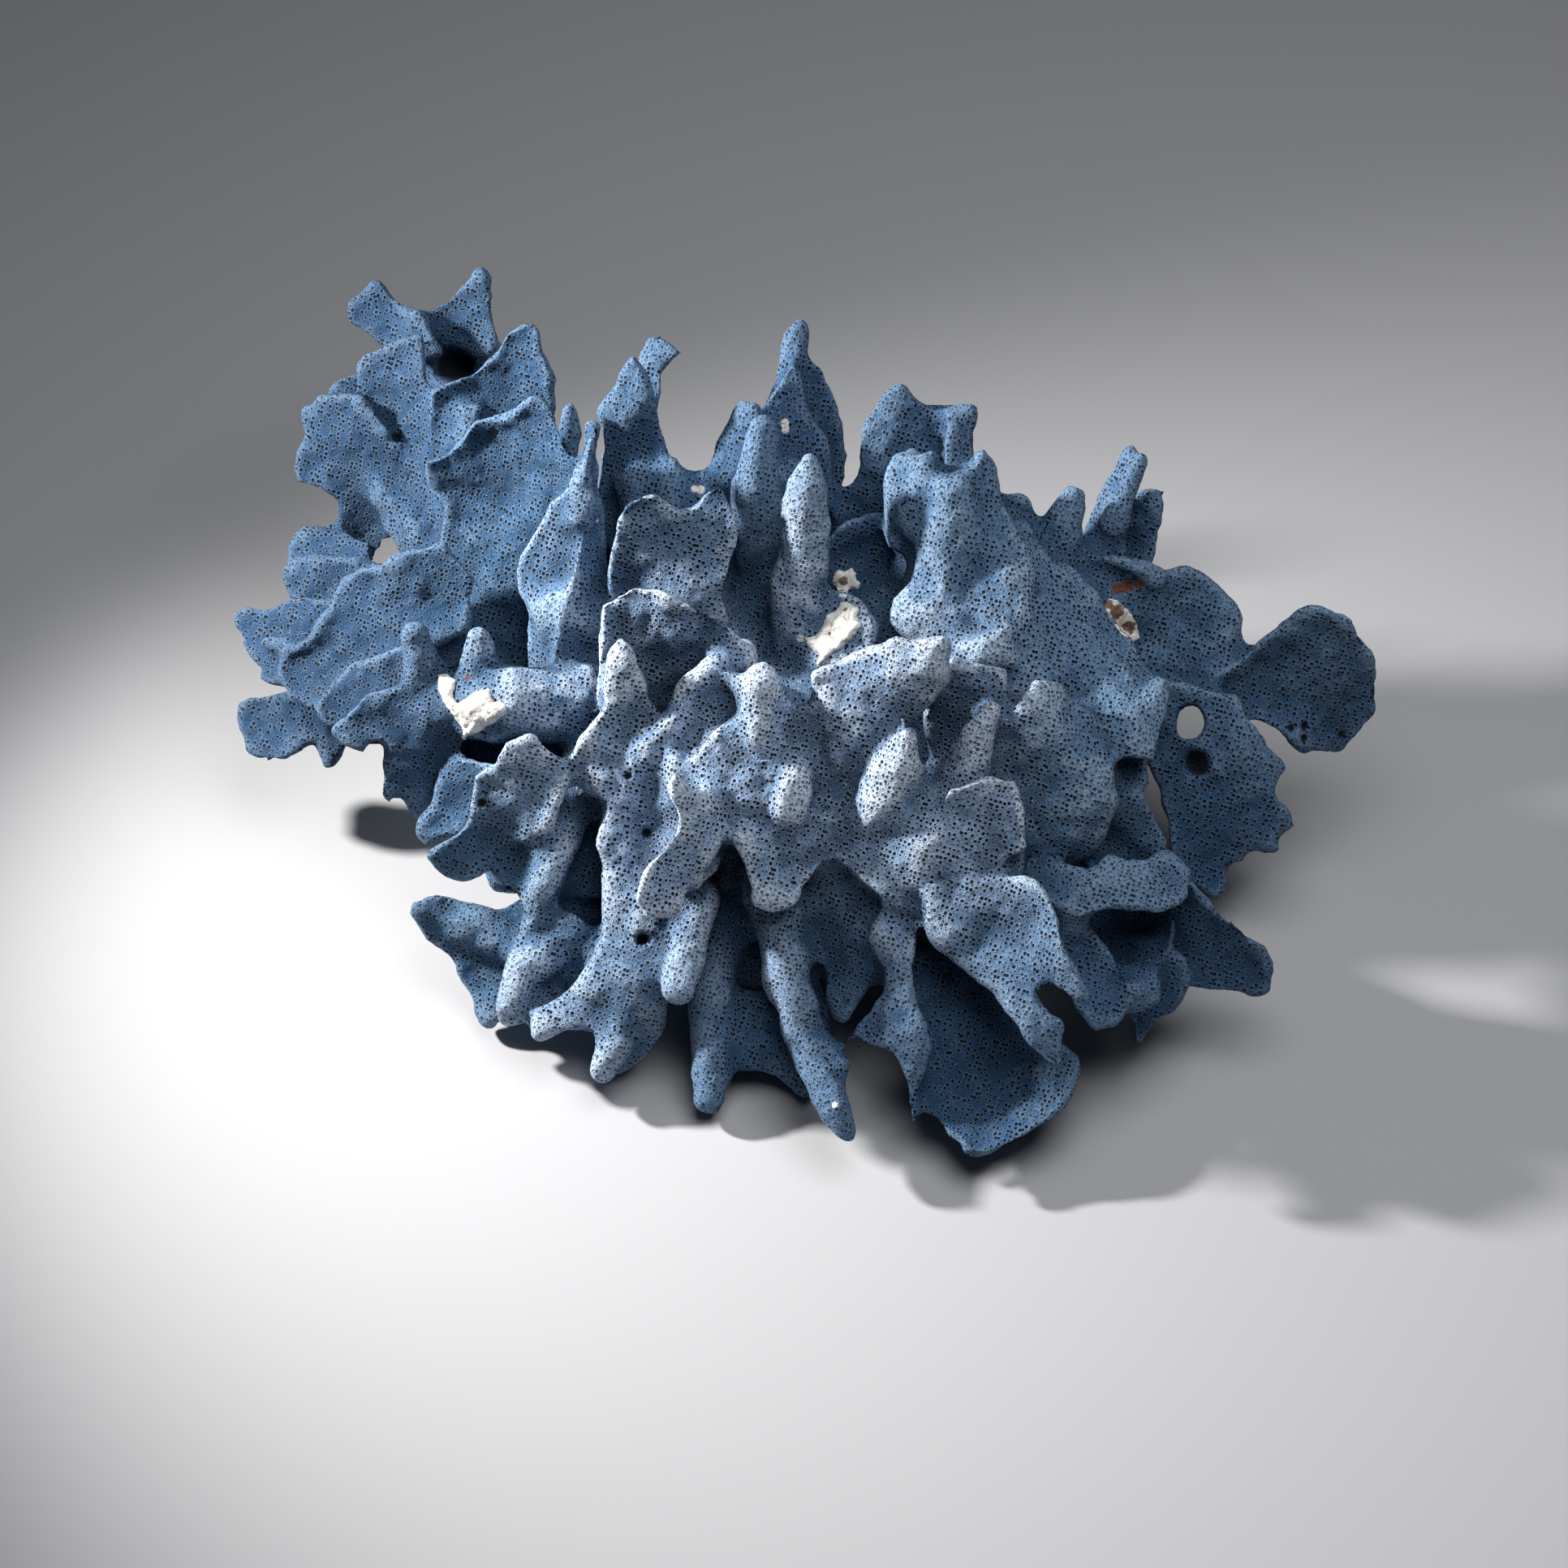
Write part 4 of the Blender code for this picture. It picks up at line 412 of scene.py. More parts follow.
# The curled saddle in the middle, its knob, the hanging finger and the plate behind.
CENTRE_SADDLE = [
    stem((-8, 12, -24, 17), (-14, 18, -4, 12), (2, 4, 2, 10)),
    stem((-14, 28, -30, 15), (-24, 46, -18, 9)),
    blade((-25, 45, 10), (0.5, 0.0), 7, [
        (-45, 44), (-37.2, 48.7), (-31, 47.7), (-25.4, 44.6), (-19.5, 42.5), (-13.9, 39), (-10.4, 34.8),
        (-9.6, 29.9), (-12, 20), (-20, 8), (-34, 6), (-46, 18)], dish=5),
    finger((-11, 31, 8, 4.6), (-17, 28, 14, 4), (-23, 23.5, 16, 3.6), (-27, 17, 15, 3.4), (-33, 13, 12, 4)),
    blade((-22, 15, 13), (0.3, 0.0), 6, [
        (-31, 14), (-23, 22), (-13, 28), (-12.5, 21.5), (-9, 12), (-20, 4), (-34, 2)]),
    blade((-4, 28, 24), (0.6, 0.0), 8, [
        (-13.9, 27.8), (-10.4, 26.4), (-8.3, 28.8), (-4.8, 30.2), (-2, 28.5), (0.1, 20.8), (8.5, 17.2),
        (16.2, 12.3), (14, 2), (0, 0), (-10, 8)]),
    finger((-4, 6, 14, 8), (-5.5, 17, 19, 7), (-6, 25, 23, 5)),
    finger((3.4, 10, 13, 5.6), (3, 4, 16.5, 5.2), (1.8, -2, 19, 5), (0.4, -7.5, 19, 4.4)),
    blade((-25, 70, 0), (0.5, 0.0), 7, [
        (-39.7, 68.2), (-36.2, 70.8), (-31, 71.5), (-27.4, 67.7), (-22.8, 66.7), (-19.7, 71.8),
        (-15.9, 74.4), (-13.8, 71.3), (-10.5, 61), (-14, 50), (-14, 38),
        (-26, 34), (-44, 38), (-43, 56)], dish=3),
    finger((-20, 56, -7, 5), (-17.5, 66, -2, 4.2), (-16.6, 71.5, -1, 3)),
]

# The spires at the back of the middle.
BACK_SPIRES = [
    stem((-2, 28, -40, 15), (-2, 54, -36, 13), (0, 76, -36, 8)),
    stem((-10, 36, -42, 13), (-30, 56, -38, 10), (-37, 76, -33, 6)),
    blade((-37, 103, -28), (0.3, 0.1), 9, [
        (-37.2, 105.4), (-40.8, 101), (-41.8, 97.4), (-45.9, 91.8), (-44.4, 84.6), (-46, 66), (-42, 54),
        (-28, 54), (-26, 72), (-30, 85.1), (-31.8, 94.4), (-32.3, 98.5)]),
    blade((-30, 108, -40), (0.1, 0.1), 5.5, [
        (-33.4, 110.8), (-30, 110.6), (-25.4, 106.4), (-27.6, 104.4), (-30.6, 102), (-30, 96.9),
        (-30.4, 86), (-39, 86), (-37.4, 100), (-35.6, 105.1)]),
    finger((-28, 60, -34, 8), (-27.5, 74, -31, 6), (-28, 79, -30, 3)),
    finger((-20, 58, -36, 8), (-21, 72, -32, 6), (-21, 76, -31, 3)),
    blade((-11, 92, -28), (0.3, 0.2), 5.5, [
        (-6.4, 93.3), (-11, 94.1), (-13.6, 89.2), (-17.4, 83.1), (-19, 75.9), (-18, 60), (-4, 60),
        (-2, 80)]),
    finger((-5, 58, -28, 8), (-7, 72, -20, 6.4), (-6.5, 82, -17, 5), (-5.4, 88.6, -15, 3.2)),
    finger((0, 92, -46, 5), (2.6, 104, -45, 3.8), (3, 110, -45, 3.4), (4.2, 113.8, -45, 2.4)),
    blade((2, 100, -38), (0.2, 0.0), 6.5, [
        (2.3, 104.1), (-0.8, 99.5), (-6.9, 91.8), (-8, 70), (12, 68), (12.6, 79), (10.5, 85.6), (5.6, 91.3),
        (4.9, 100.5)]),
    blade((9, 100, -46), (0.2, -0.1), 4.5, [
        (5.6, 103.1), (9.5, 103.6), (12.5, 94.4), (12.8, 90.3), (15.4, 81), (14, 66), (0, 66), (2, 92)]),
    blade((12, 38, -12), (0.2, 0.45), 7, [
        (-3, 50), (10, 48), (19, 46), (23, 38), (20, 28), (9, 24), (-4, 28)]),
    finger((3, 36, -20, 9), (3.6, 48, -12, 7.4), (5.8, 64, -4, 6.2), (5.7, 75, 2, 4.8), (6.6, 80.5, 4, 2.8)),
]

# The big crest at the back right, with the plates behind it.
BACK_RIGHT_CREST = [
    stem((16, 30, -40, 17), (36, 46, -28, 13), (44, 62, -22, 9)),
    blade((28, 96, -36), (0.25, 0.1), 6, [
        (29.1, 98.3), (31.2, 94.8), (37.5, 92.3), (41, 93), (47.6, 93.2), (46.2, 82.5), (44, 66),
        (38, 52), (12, 54), (12.9, 73.4), (16.4, 74.1), (18.5, 78.3), (18.9, 84.6), (21, 91.6),
        (26.2, 96.9)], dish=2),
    blade((20, 64, -24), (0.3, 0.1), 5.5, [
        (10, 60), (14.1, 64.1), (20.8, 66.4), (25.4, 66.4), (34, 70), (38, 38), (14, 32), (9, 46)], dish=3),
    blade((44, 92, -31), (0.1, 0.1), 4, [
        (40, 92.6), (47.6, 93.4), (47.3, 88), (46.2, 80), (46, 66), (36, 66), (40, 80)]),
    blade((40, 80, -4), (-0.12, 0.12), 9, [
        (31.5, 82.9), (34.5, 80.2), (36.8, 82.2), (39, 77.5), (41.7, 79.4), (44.5, 78.5), (47.5, 82.7),
        (49.7, 82.9), (51, 79), (49.5, 74), (55, 67.1), (58.5, 60.1), (61, 53), (62, 42),
        (58, 30), (46, 24), (36, 30),
        (27.7, 37.6), (25.9, 41.1), (27, 45.3), (31.9, 48.8), (32.2, 58.7), (31, 66), (26.6, 72),
        (27, 78.3)], dish=-4),
    finger((30, 62, -12, 6), (28.6, 73, -8, 4.4), (29.6, 79, -7, 3.2)),
    finger((34, 64, -6, 6), (34.6, 75, -3, 4.6), (35.4, 79.5, -2, 3)),
    finger((41, 50, -10, 12), (41.4, 64, -4, 9), (41.6, 73, 1, 5.4)),
    finger((49, 62, -8, 6), (49.2, 74, -5, 4.2), (49.6, 80, -4, 2.6)),
    finger((57, 60, -11, 6), (61, 50, -9, 7.5), (62, 39, -8, 7.5), (58, 30, -7, 6)),
    blade((55, 70, -16), (0.4, -0.1), 6.5, [
        (62.9, 65.1), (59.4, 70.8), (57.3, 71.5), (53.8, 71.5), (50.7, 77.8), (44, 80), (42, 56), (60, 46),
        (68, 58)]),
]

# The right shoulder: its broad plate, three fingers and the lip over a small cave.
RIGHT_SHOULDER = [
    stem((30, 16, -34, 18), (60, 34, -22, 14), (78, 48, -26, 9)),
    finger((68, 54, -20, 7), (69.6, 66, -17, 4.2), (71.4, 71.4, -16, 2)),
    finger((78, 52, -28, 7), (80, 66, -27, 4.4), (83, 76, -25, 3.2), (85.6, 83.3, -23, 1.6)),
    finger((81, 64, -23, 4), (85.6, 74, -21, 3), (88, 81, -20, 1.5)),
    blade((90, 70, -32), (0.3, -0.2), 4.5, [
        (82, 66), (87.5, 71.5), (90.3, 73), (94.4, 72.8), (93.4, 67.2), (91.7, 58.1), (88, 46), (76, 46)]),
    finger((72, 55, -20, 4.4), (79, 55.6, -17, 2.1), (86, 54.2, -17, 1.9), (92, 50.5, -21, 2.3)),
    blade((70, 35, -3), (-0.3, 0.05), 7, [
        (46, 42), (52, 58), (60, 59), (66, 55.4), (70, 53.2), (77.7, 46.2), (81.2, 39.9), (86.1, 35.3),
        (89.6, 26.6), (93.8, 26), (94.9, 22.3), (93.1, 16), (92.7, 10.4), (91, 5.2), (83.3, 6.2), (76, 0),
        (62, 8), (50, 18), (50, 32)], dish=-3),
    blade((84, 4, -4), (0.2, -0.2), 4, [(78, 8), (89.5, 8), (89.4, 0), (86, -2), (82, -3.2), (76, -2)]),
]

# The fans at the far right: an upper lobe, the round paddle and the pierced low fan.
RIGHT_FAN = [
    stem((36, 10, -42, 16), (72, 24, -38, 12), (92, 32, -34, 8), (106, 27, -34, 4.5)),
    blade((100, 45, -28), (0.4, -0.2), 6, [
        (82, 46), (91.7, 52.2), (98.7, 53.6), (106.4, 50.1), (112.4, 43.4), (113.1, 39.9), (112, 30),
        (108, 22), (88, 24)]),
    blade((130, 28, -36), (0.6, -0.2), 5.5, [
        (104, 26), (113.1, 30.8), (116.9, 35), (121.2, 37.8), (127.5, 43.4), (131, 44), (139.4, 40.9),
        (144, 33.6), (146.3, 26.9), (145.9, 17.4), (141.9, 13.9), (138, 7.6), (135.9, 7.3), (130.3, 9),
        (127.5, 8.1), (123.3, 12.5), (115.9, 16), (106, 12)], dish=4),
    blade((108, 0, -32), (0.25, 0.0), 5.5, [
        (90, 26), (112, 22), (115.2, 14.7), (122.6, 6.2), (124.2, 3.8), (120.4, -1.2), (126.6, -10.2),
        (125.8, -11.4), (120.7, -12.1), (121.6, -16.4), (114.3, -15.9), (113, -19.1), (107.9, -19.1),
        (109.5, -23.6), (106, -28), (96, -22), (94.5, -8.3), (90.7, 3.2), (84, 14)],
        hole=(100.4, 15.2, 3.4, 5), dish=2),
]

# The wing, the spike, the pockets and the pale leaf right of the middle.
CENTRE_RIGHT = [
    stem((12, 2, -24, 17), (32, -8, 4, 13), (60, -2, 2, 9)),
    blade((30, 34, 30), (0.5, 0.0), 8.5, [
        (9.2, 29.2), (16.9, 32), (21.2, 33.4), (27.5, 36.5), (31, 35.1), (40.1, 36.9), (41.2, 34.8),
        (40.1, 25.7), (33.8, 15.8), (30, 9), (12, 4), (7, 18), (6.4, 27.1)], dish=-2),
    finger((22, -12, 11, 9), (26, -1, 20, 8), (29.4, 7.6, 27, 5), (31, 13, 31, 2.8)),
    finger((12, -9, 8, 8), (11, 3, 10, 7)),
    blade((48, 28, 16), (0.3, 0.0), 5.5, [
        (34, 18), (41.5, 31.6), (54.1, 28.1), (54.8, 25), (56, 4), (38, 0)]),
    finger((44, 0, 14, 6.4), (48, 11, 19, 4.6), (51.4, 18.5, 22, 3.2)),
    blade((48, 0, 24), (0.4, 0.0), 7, [
        (37, -10), (40.1, -1.7), (48.5, 1.1), (56.8, 0.8), (58.5, -5), (60, -16),
        (48, -22), (38, -18)], dish=3),
    blade((34, -16, 15), (0.1, 0.0), 14, [
        (10, -16), (20.5, -25.5), (27.5, -30.5), (36, -34), (48, -32), (58, -24), (60, -12), (50, -2),
        (20, 0)]),
    blade((68, 20, 14), (0.25, -0.15), 6.5, [
        (62.3, 25.5), (66.8, 24.6), (76.3, 17.3), (80.2, 6.4), (82.4, -4.4), (78.3, -14), (77, -17.8),
        (66, -24), (56, -18), (58.5, -5.1), (50.8, 4), (52.1, 10.9), (60.4, 22.4)], dish=-2),
]

# The antler blade, the skirt and the twisted finger at the front right.
FRONT_RIGHT = [
    stem((16, -14, -24, 16), (38, -26, 2, 11), (46, -32, 14, 7)),
    blade((55, -40, 24), (0.1, 0.4), 5.5, [
        (46, -22), (60.2, -23.7), (64, -25.5), (68.3, -33.8), (67.8, -37.6), (75.6, -52.9), (74.5, -53.9),
        (67.8, -50.7), (64, -48.5), (61.4, -52.3), (64, -55.5), (69.7, -58.7), (67.8, -63.8), (69.4, -71.7),
        (62.7, -66.3), (55.1, -56.1), (51.9, -51), (42.3, -44), (34.7, -36.3), (34, -26)]),
    blade((50, -85, 14), (-0.42, -0.12), 5, [
        (30, -34), (48, -34), (58, -50), (66, -62), (72.9, -66.3), (73.6, -72.1), (69.1, -79.7),
        (60.2, -86.7), (46.8, -92.6), (44.2, -91), (43.8, -86.7), (41, -87), (35.3, -79.7), (32, -66),
        (28, -52)], dish=4),
    blade((32, -60, 16), (-0.1, 0.1), 5.5, [
        (24, -30), (32.1, -36), (31.5, -53.6), (34.7, -57.4), (36.6, -63.8), (33.7, -74.6), (34, -81),
        (32.1, -85.4), (30.2, -79.1), (29.6, -72.7), (27, -66.3), (20, -64), (16.2, -61.8), (19, -57.4),
        (24, -52.9), (25, -47.8), (21, -38)]),
]

# The curled shelf, the bowl and the paddles low at the right.
RIGHT_LOW = [
    stem((34, -4, -30, 15), (64, -16, -12, 11), (86, -30, -8, 7)),
    blade((86, -12, -8), (0.3, 0.0), 5, [
        (78, -2), (87.8, -2.5), (92.9, -10.8), (94.2, -14.6), (93, -24), (76, -24)]),
    blade((82, -24, 13), (-0.7, 0.1), 3.8, [
        (62, -18), (75.7, -21), (80.2, -17.8), (84, -19.7), (89.7, -18.8), (94.2, -15.9), (98, -19.1),
        (100.3, -22.9), (100.5, -27.4), (97.4, -29.9), (91.7, -31.2), (84, -30.6), (77.6, -31.2),
        (72.5, -33.1), (66, -30), (58, -24)]),
    blade((84, -36, -2), (0.2, 0.5), 4.5, [
        (97, -26), (96.8, -34.4), (95.5, -40.1), (92.3, -45.2), (85.3, -49.1), (74, -46), (68, -32),
        (78, -22)], dish=7),
    blade((74, -42, 12), (0.1, 0.0), 4.5, [
        (70, -30), (76.3, -36.3), (84, -45.9), (85.3, -50.4), (85, -55.5), (81.4, -59.3), (76.3, -60.9),
        (71.9, -56.1), (64, -40)], dish=3),
    blade((86, -50, 6), (0.1, 0.0), 4.5, [
        (80, -44), (88, -46), (92.9, -49), (92, -53), (88, -55.5), (82, -56)]),
    blade((90, -45, 0), (0.1, 0.0), 4.5, [
        (88, -36), (99.6, -43.3), (99.9, -48.4), (97.1, -56.1), (94.8, -57.4), (92.3, -56.1), (91, -61.2),
        (87.2, -65), (85.6, -56.1), (80, -42)]),
    blade((105, -38, -4), (0.4, 0.2), 5.5, [
        (86, -20), (100.6, -24.2), (107.6, -32.5), (110.1, -33.8), (119.1, -41.1), (120.4, -45.2),
        (119.7, -51), (115.2, -52.1), (100.6, -50), (86, -40)], dish=3),
]

BRANCHES = {
    "front_left_stem": FRONT_LEFT_STEM,
    "centre_saddle": CENTRE_SADDLE,
    "centre_right": CENTRE_RIGHT,
    "front_centre": FRONT_CENTRE,
    "front_right": FRONT_RIGHT,
    "front_left_lobes": FRONT_LEFT_LOBES,
    "left_crest": LEFT_CREST,
    "left_arm": LEFT_ARM,
    "right_shoulder": RIGHT_SHOULDER,
    "back_right_crest": BACK_RIGHT_CREST,
    "back_spires": BACK_SPIRES,
    "left_plate": LEFT_PLATE,
    "right_low": RIGHT_LOW,
    "right_fan": RIGHT_FAN,
    "back_left_fan": BACK_LEFT_FAN,
    "left_fan": LEFT_FAN,
    "left_tiers": LEFT_TIERS,
}

# The hidden sides: a hub (bearing, distance, height), and its blades (bearing, rise, reach, width, turn).
REAR_BRANCHES = {
    "rear_left": ((132, 54, 42), [(104, 18, 46, 40, 20), (130, 36, 44, 38, -50), (152, -4, 48, 40, 80),
                                  (126, -14, 46, 38, 30)]),
    "rear_middle": ((90, 48, 42), [(68, 22, 42, 38, 30), (95, 0, 46, 42, 80), (108, 40, 40, 34, -20),
                                   (86, -22, 42, 36, 10)]),
    "rear_right": ((46, 52, 36), [(24, 12, 46, 38, 20), (50, 34, 42, 36, -40), (64, -8, 44, 40, 70)]),
    "low_left": ((186, 50, 22), [(170, 2, 34, 28, 40), (196, -6, 32, 28, -60), (216, 2, 30, 24, 30)]),
    "low_right": ((-6, 52, 21), [(12, 4, 38, 28, -30), (-10, -6, 36, 28, 60), (-30, 2, 32, 24, 20)]),
}

# A hidden branch's stem: its radii, and where it starts and ends as shares of the hub's distance.
HUB_RADIUS = 9.0
STEM_RADIUS = 15.0
STEM_START = 0.3
STEM_END = 1.15

# A hidden blade: its thickness, the steps and the waist of its outline, and its lobes.
REAR_THICK = 5.5
REAR_STEPS = 16
REAR_WAIST = 0.3
LOBES = 3
LOBE_DEPTH = 0.2


def mesh_of_curve(curve):
    """The curve's solid as a mesh, with the curve itself removed."""
    holder = bpy.data.objects.new("drawn_curve", curve)
    bpy.context.scene.collection.objects.link(holder)
    bpy.context.view_layer.update()
    seen = holder.evaluated_get(bpy.context.evaluated_depsgraph_get())
    mesh = bpy.data.meshes.new_from_object(seen)
    bpy.data.objects.remove(holder)
    bpy.data.curves.remove(curve)
    return mesh


def outline_curve(outline, hole, thick):
    curve = bpy.data.curves.new("blade_outline", "CURVE")
    curve.dimensions = "2D"
    curve.fill_mode = "BOTH"
    curve.extrude = thick / 2
    loops = [outline]
    if hole:
        a, b, half_width, half_height = hole
        turns = [2 * math.pi * step / HOLE_SIDES for step in range(HOLE_SIDES)]
        loops.append([(a + half_width * math.cos(t), b + half_height * math.sin(t)) for t in turns])
    for loop in loops:
        spline = curve.splines.new("POLY")
        spline.points.add(len(loop) - 1)
        for point, (a, b) in zip(spline.points, loop):
            point.co = (a, b, 0, 1)
        spline.use_cyclic_u = True
    return curve


def edge_distance(a, b, outline):
    """How far a drawn point lies from the nearest side of an outline."""
    best = math.inf
    for (a0, b0), (a1, b1) in zip(outline, outline[1:] + outline[:1]):
        along_a, along_b = a1 - a0, b1 - b0
        share = ((a - a0) * along_a + (b - b0) * along_b) / (along_a ** 2 + along_b ** 2)
        share = min(1, max(0, share))
        best = min(best, math.hypot(a - a0 - share * along_a, b - b0 - share * along_b))
    return best


def cut_in_squares(mesh, side):
    """Cuts a drawn blade along a square grid, so that it can be bent."""
    work = bmesh.new()
    work.from_mesh(mesh)
    bmesh.ops.remove_doubles(work, verts=work.verts, dist=MERGE)
    for axis in (0, 1):
        values = [vertex.co[axis] for vertex in work.verts]
        normal = Vector((axis == 0, axis == 1, 0))
        for step in range(math.ceil(min(values) / side), math.floor(max(values) / side) + 1):
            geometry = work.verts[:] + work.edges[:] + work.faces[:]
            bmesh.ops.bisect_plane(work, geom=geometry, plane_co=normal * (step * side), plane_no=normal)
    work.to_mesh(mesh)
    work.free()


def blade_depth(shape, a, b):
    """How far toward the viewer the middle of a blade lies at a drawn point: it leans, and waves gently."""
    at_a, at_b, at_d = shape["at"]
    lean_b, lean_a = shape["lean"]
    wave = WAVE_DEPTH * math.sin(a / WAVE_A + at_b) * math.sin(b / WAVE_B + at_a)
    rim = 0
    if shape["dish"]:
        rim = shape["dish"] * (1 - min(1, edge_distance(a, b, shape["outline"]) / DISH_WIDTH)) ** 2
    return at_d + lean_b * (b - at_b) + lean_a * (a - at_a) + wave + rim


def blade_mesh(shape):
    """The blade's solid, thin at its edge and swollen inside it."""
    outline = shape["outline"]
    mesh = mesh_of_curve(outline_curve(outline, shape["hole"], shape["thick"]))
    cut_in_squares(mesh, SQUARE)
    slant = math.hypot(1, *shape["lean"])
    for vertex in mesh.vertices:
        a, b, off = vertex.co
        swell = EDGE_SHARE + (1 - EDGE_SHARE) * min(1, edge_distance(a, b, outline) / EDGE_WIDTH)
        vertex.co = drawn(a, b, blade_depth(shape, a, b) + off * swell * slant)
    return mesh


def round_line(stations):
    """A tapered tube through the given places, each with its radius in millimetres."""
    curve = bpy.data.curves.new("finger_line", "CURVE")
    curve.dimensions = "3D"
    curve.bevel_depth = MM
    curve.bevel_resolution = FINGER_ROUNDING
    curve.use_fill_caps = True
    spline = curve.splines.new("POLY")
    spline.points.add(len(stations) - 1)
    for point, (place, radius) in zip(spline.points, stations):
        point.co = (*place, 1)
        point.radius = radius
    return curve


def finger_mesh(shape):
    """A finger's solid, with its start sunk away from the viewer and a rounded tip beyond its last point."""
    stations = [(drawn(a, b, d), radius) for a, b, d, radius in shape["points"]]
    if shape["kind"] == "finger":
        a, b, d, radius = shape["points"][0]
        stations.insert(0, (drawn(a, b, d - START_SINK * radius), radius))
    tip, tip_radius = stations[-1]
    onward = (tip - stations[-2][0]).normalized() * tip_radius * MM
    stations += [(tip + onward * step, tip_radius * share) for step, share in TIP_ROUNDING]
    return mesh_of_curve(round_line(stations))


def inside(a, b, outline):
    """Whether a drawn point lies inside an outline."""
    crossings = 0
    for (a0, b0), (a1, b1) in zip(outline, outline[1:] + outline[:1]):
        if (b0 > b) != (b1 > b) and a < a0 + (b - b0) * (a1 - a0) / (b1 - b0):
            crossings += 1
    return crossings % 2 == 1


def keel_run(shape):
    """The column of a blade that its keel stands on, and the lowest and highest b of the keel there."""
    outline = shape["outline"]
    column = sum(a for a, _ in outline) / len(outline)
    rows = [b for _, b in outline]
    run = [b for b in range(math.ceil(min(rows)), math.floor(max(rows)) + 1)
           if inside(column, b, outline) and edge_distance(column, b, outline) > KEEL_INSET]
    if not run:
        return column, 0, 0
    return column, run[0], run[-1]


def keel_mesh(shape):
    """The keel behind a blade, deepest toward the middle of the coral, with a lobed free edge."""
    column, low, high = keel_run(shape)
    if high - low < KEEL_LEAST:
        return None
    root, tip = (low, high) if abs(low) < abs(high) else (high, low)
    reach = min(KEEL_MOST, KEEL_REACH * (high - low))
    front = []
    back = []
    for step in range(KEEL_STATIONS):
        share = step / (KEEL_STATIONS - 1)
        b = root + (tip - root) * share
        d = blade_depth(shape, column, b)
        lobe = 1 - KEEL_LOBE * (1 + math.cos(KEEL_LOBE_TURN * step + column))
        front.append((b, d))
        back.append((b, max(LOWEST_B_PLUS_D - b, d - KEEL_BEHIND - reach * lobe * math.sqrt(1 - share))))
    outline = front + back[::-1]
    mesh = mesh_of_curve(outline_curve(outline, (), KEEL_THICK))
    cut_in_squares(mesh, SQUARE)
    slant = KEEL_SLANT * math.sin(column + low)
    for vertex in mesh.vertices:
        b, d, off = vertex.co
        swell = EDGE_SHARE + (1 - EDGE_SHARE) * min(1, edge_distance(b, d, outline) / EDGE_WIDTH)
        behind = blade_depth(shape, column, b) - d
        vertex.co = drawn(column + slant * behind + off * swell, b, d)
    return mesh


def solid_places(shape):
    """Places well inside a shape, each with how much material is round it."""
    if shape["kind"] != "blade":
        places = []
        for (a0, b0, d0, r0), (a1, b1, d1, r1) in zip(shape["points"], shape["points"][1:]):
            for share in FINGER_SHARES:
                mix = [(1 - share) * v + share * w for v, w in ((a0, a1), (b0, b1), (d0, d1), (r0, r1))]
                places.append((drawn(*mix[:3]), mix[3]))
        return places
    outline = shape["outline"]
    columns = [a for a, _ in outline]
    rows = [b for _, b in outline]
    places = []
    for a in range(math.ceil(min(columns)), math.floor(max(columns)), ROOT_SEARCH_STEP):
        for b in range(math.ceil(min(rows)), math.floor(max(rows)), ROOT_SEARCH_STEP):
            if inside(a, b, outline) and edge_distance(a, b, outline) > ROOT_INSET:
                places.append((drawn(a, b, blade_depth(shape, a, b)), shape["thick"] / 2))
    return places


def root_meshes(shapes):
    """Short roots that tie each shape of a branch to what already grows from its stem, nearest first."""
    grown = []
    loose = []
    for shape in shapes:
        if shape["kind"] == "stem":
            grown += solid_places(shape)
        else:
            loose.append(solid_places(shape))
    roots = []
    while loose:
        found = []
        for index, places in enumerate(loose):
            for here, here_radius in places:
                for there, there_radius in grown:
                    gap = (here - there).length / MM - here_radius - there_radius
                    found.append((gap, index, here, there))
        gap, index, here, there = min(found, key=lambda row: row[0])
        if gap > -ROOT_OVERLAP:
            roots.append(mesh_of_curve(round_line([(there, ROOT_RADIUS), (here, ROOT_RADIUS * ROOT_TAPER)])))
        grown += loose.pop(index)
    return roots


def turned_place(bearing, distance, height):
    angle = math.radians(bearing)
    return Vector((distance * math.cos(angle), distance * math.sin(angle), height)) * MM


def rear_blade_mesh(hub, bearing, rise, reach, width, turn):
    """A lobed blade that grows outward from its hub, on the sides that the front view hides."""
    root = width / 4
    outline = [(-root, -root), (-root, root)]
    for step in range(REAR_STEPS + 1):
        share = step / REAR_STEPS
        swing = (0.5 - share) * math.pi
        edge = 1 - LOBE_DEPTH * abs(math.sin(math.pi * LOBES * share + math.radians(bearing)))
        along = reach * (REAR_WAIST + (1 - REAR_WAIST) * edge * math.cos(swing))
        outline.append((along, width / 2 * edge * math.sin(swing)))
    mesh = mesh_of_curve(outline_curve(outline, (), REAR_THICK))
    place = Matrix.Translation(turned_place(*hub))
    place @= Matrix.Rotation(math.radians(bearing), 4, "Z")
    place @= Matrix.Rotation(math.radians(-rise), 4, "Y")
    place @= Matrix.Rotation(math.radians(turn), 4, "X")
    place @= Matrix.Scale(MM, 4)
    mesh.transform(place)
    return mesh


def stem_mesh(hub):
    """The stem from inside the trunk out to the hub of a hidden branch."""
    bearing, distance, height = hub
    stations = [(STEM_START, STEM_RADIUS), (STEM_END, HUB_RADIUS)]
    line = [(turned_place(bearing, distance * share, height), radius) for share, radius in stations]
    return mesh_of_curve(round_line(line))


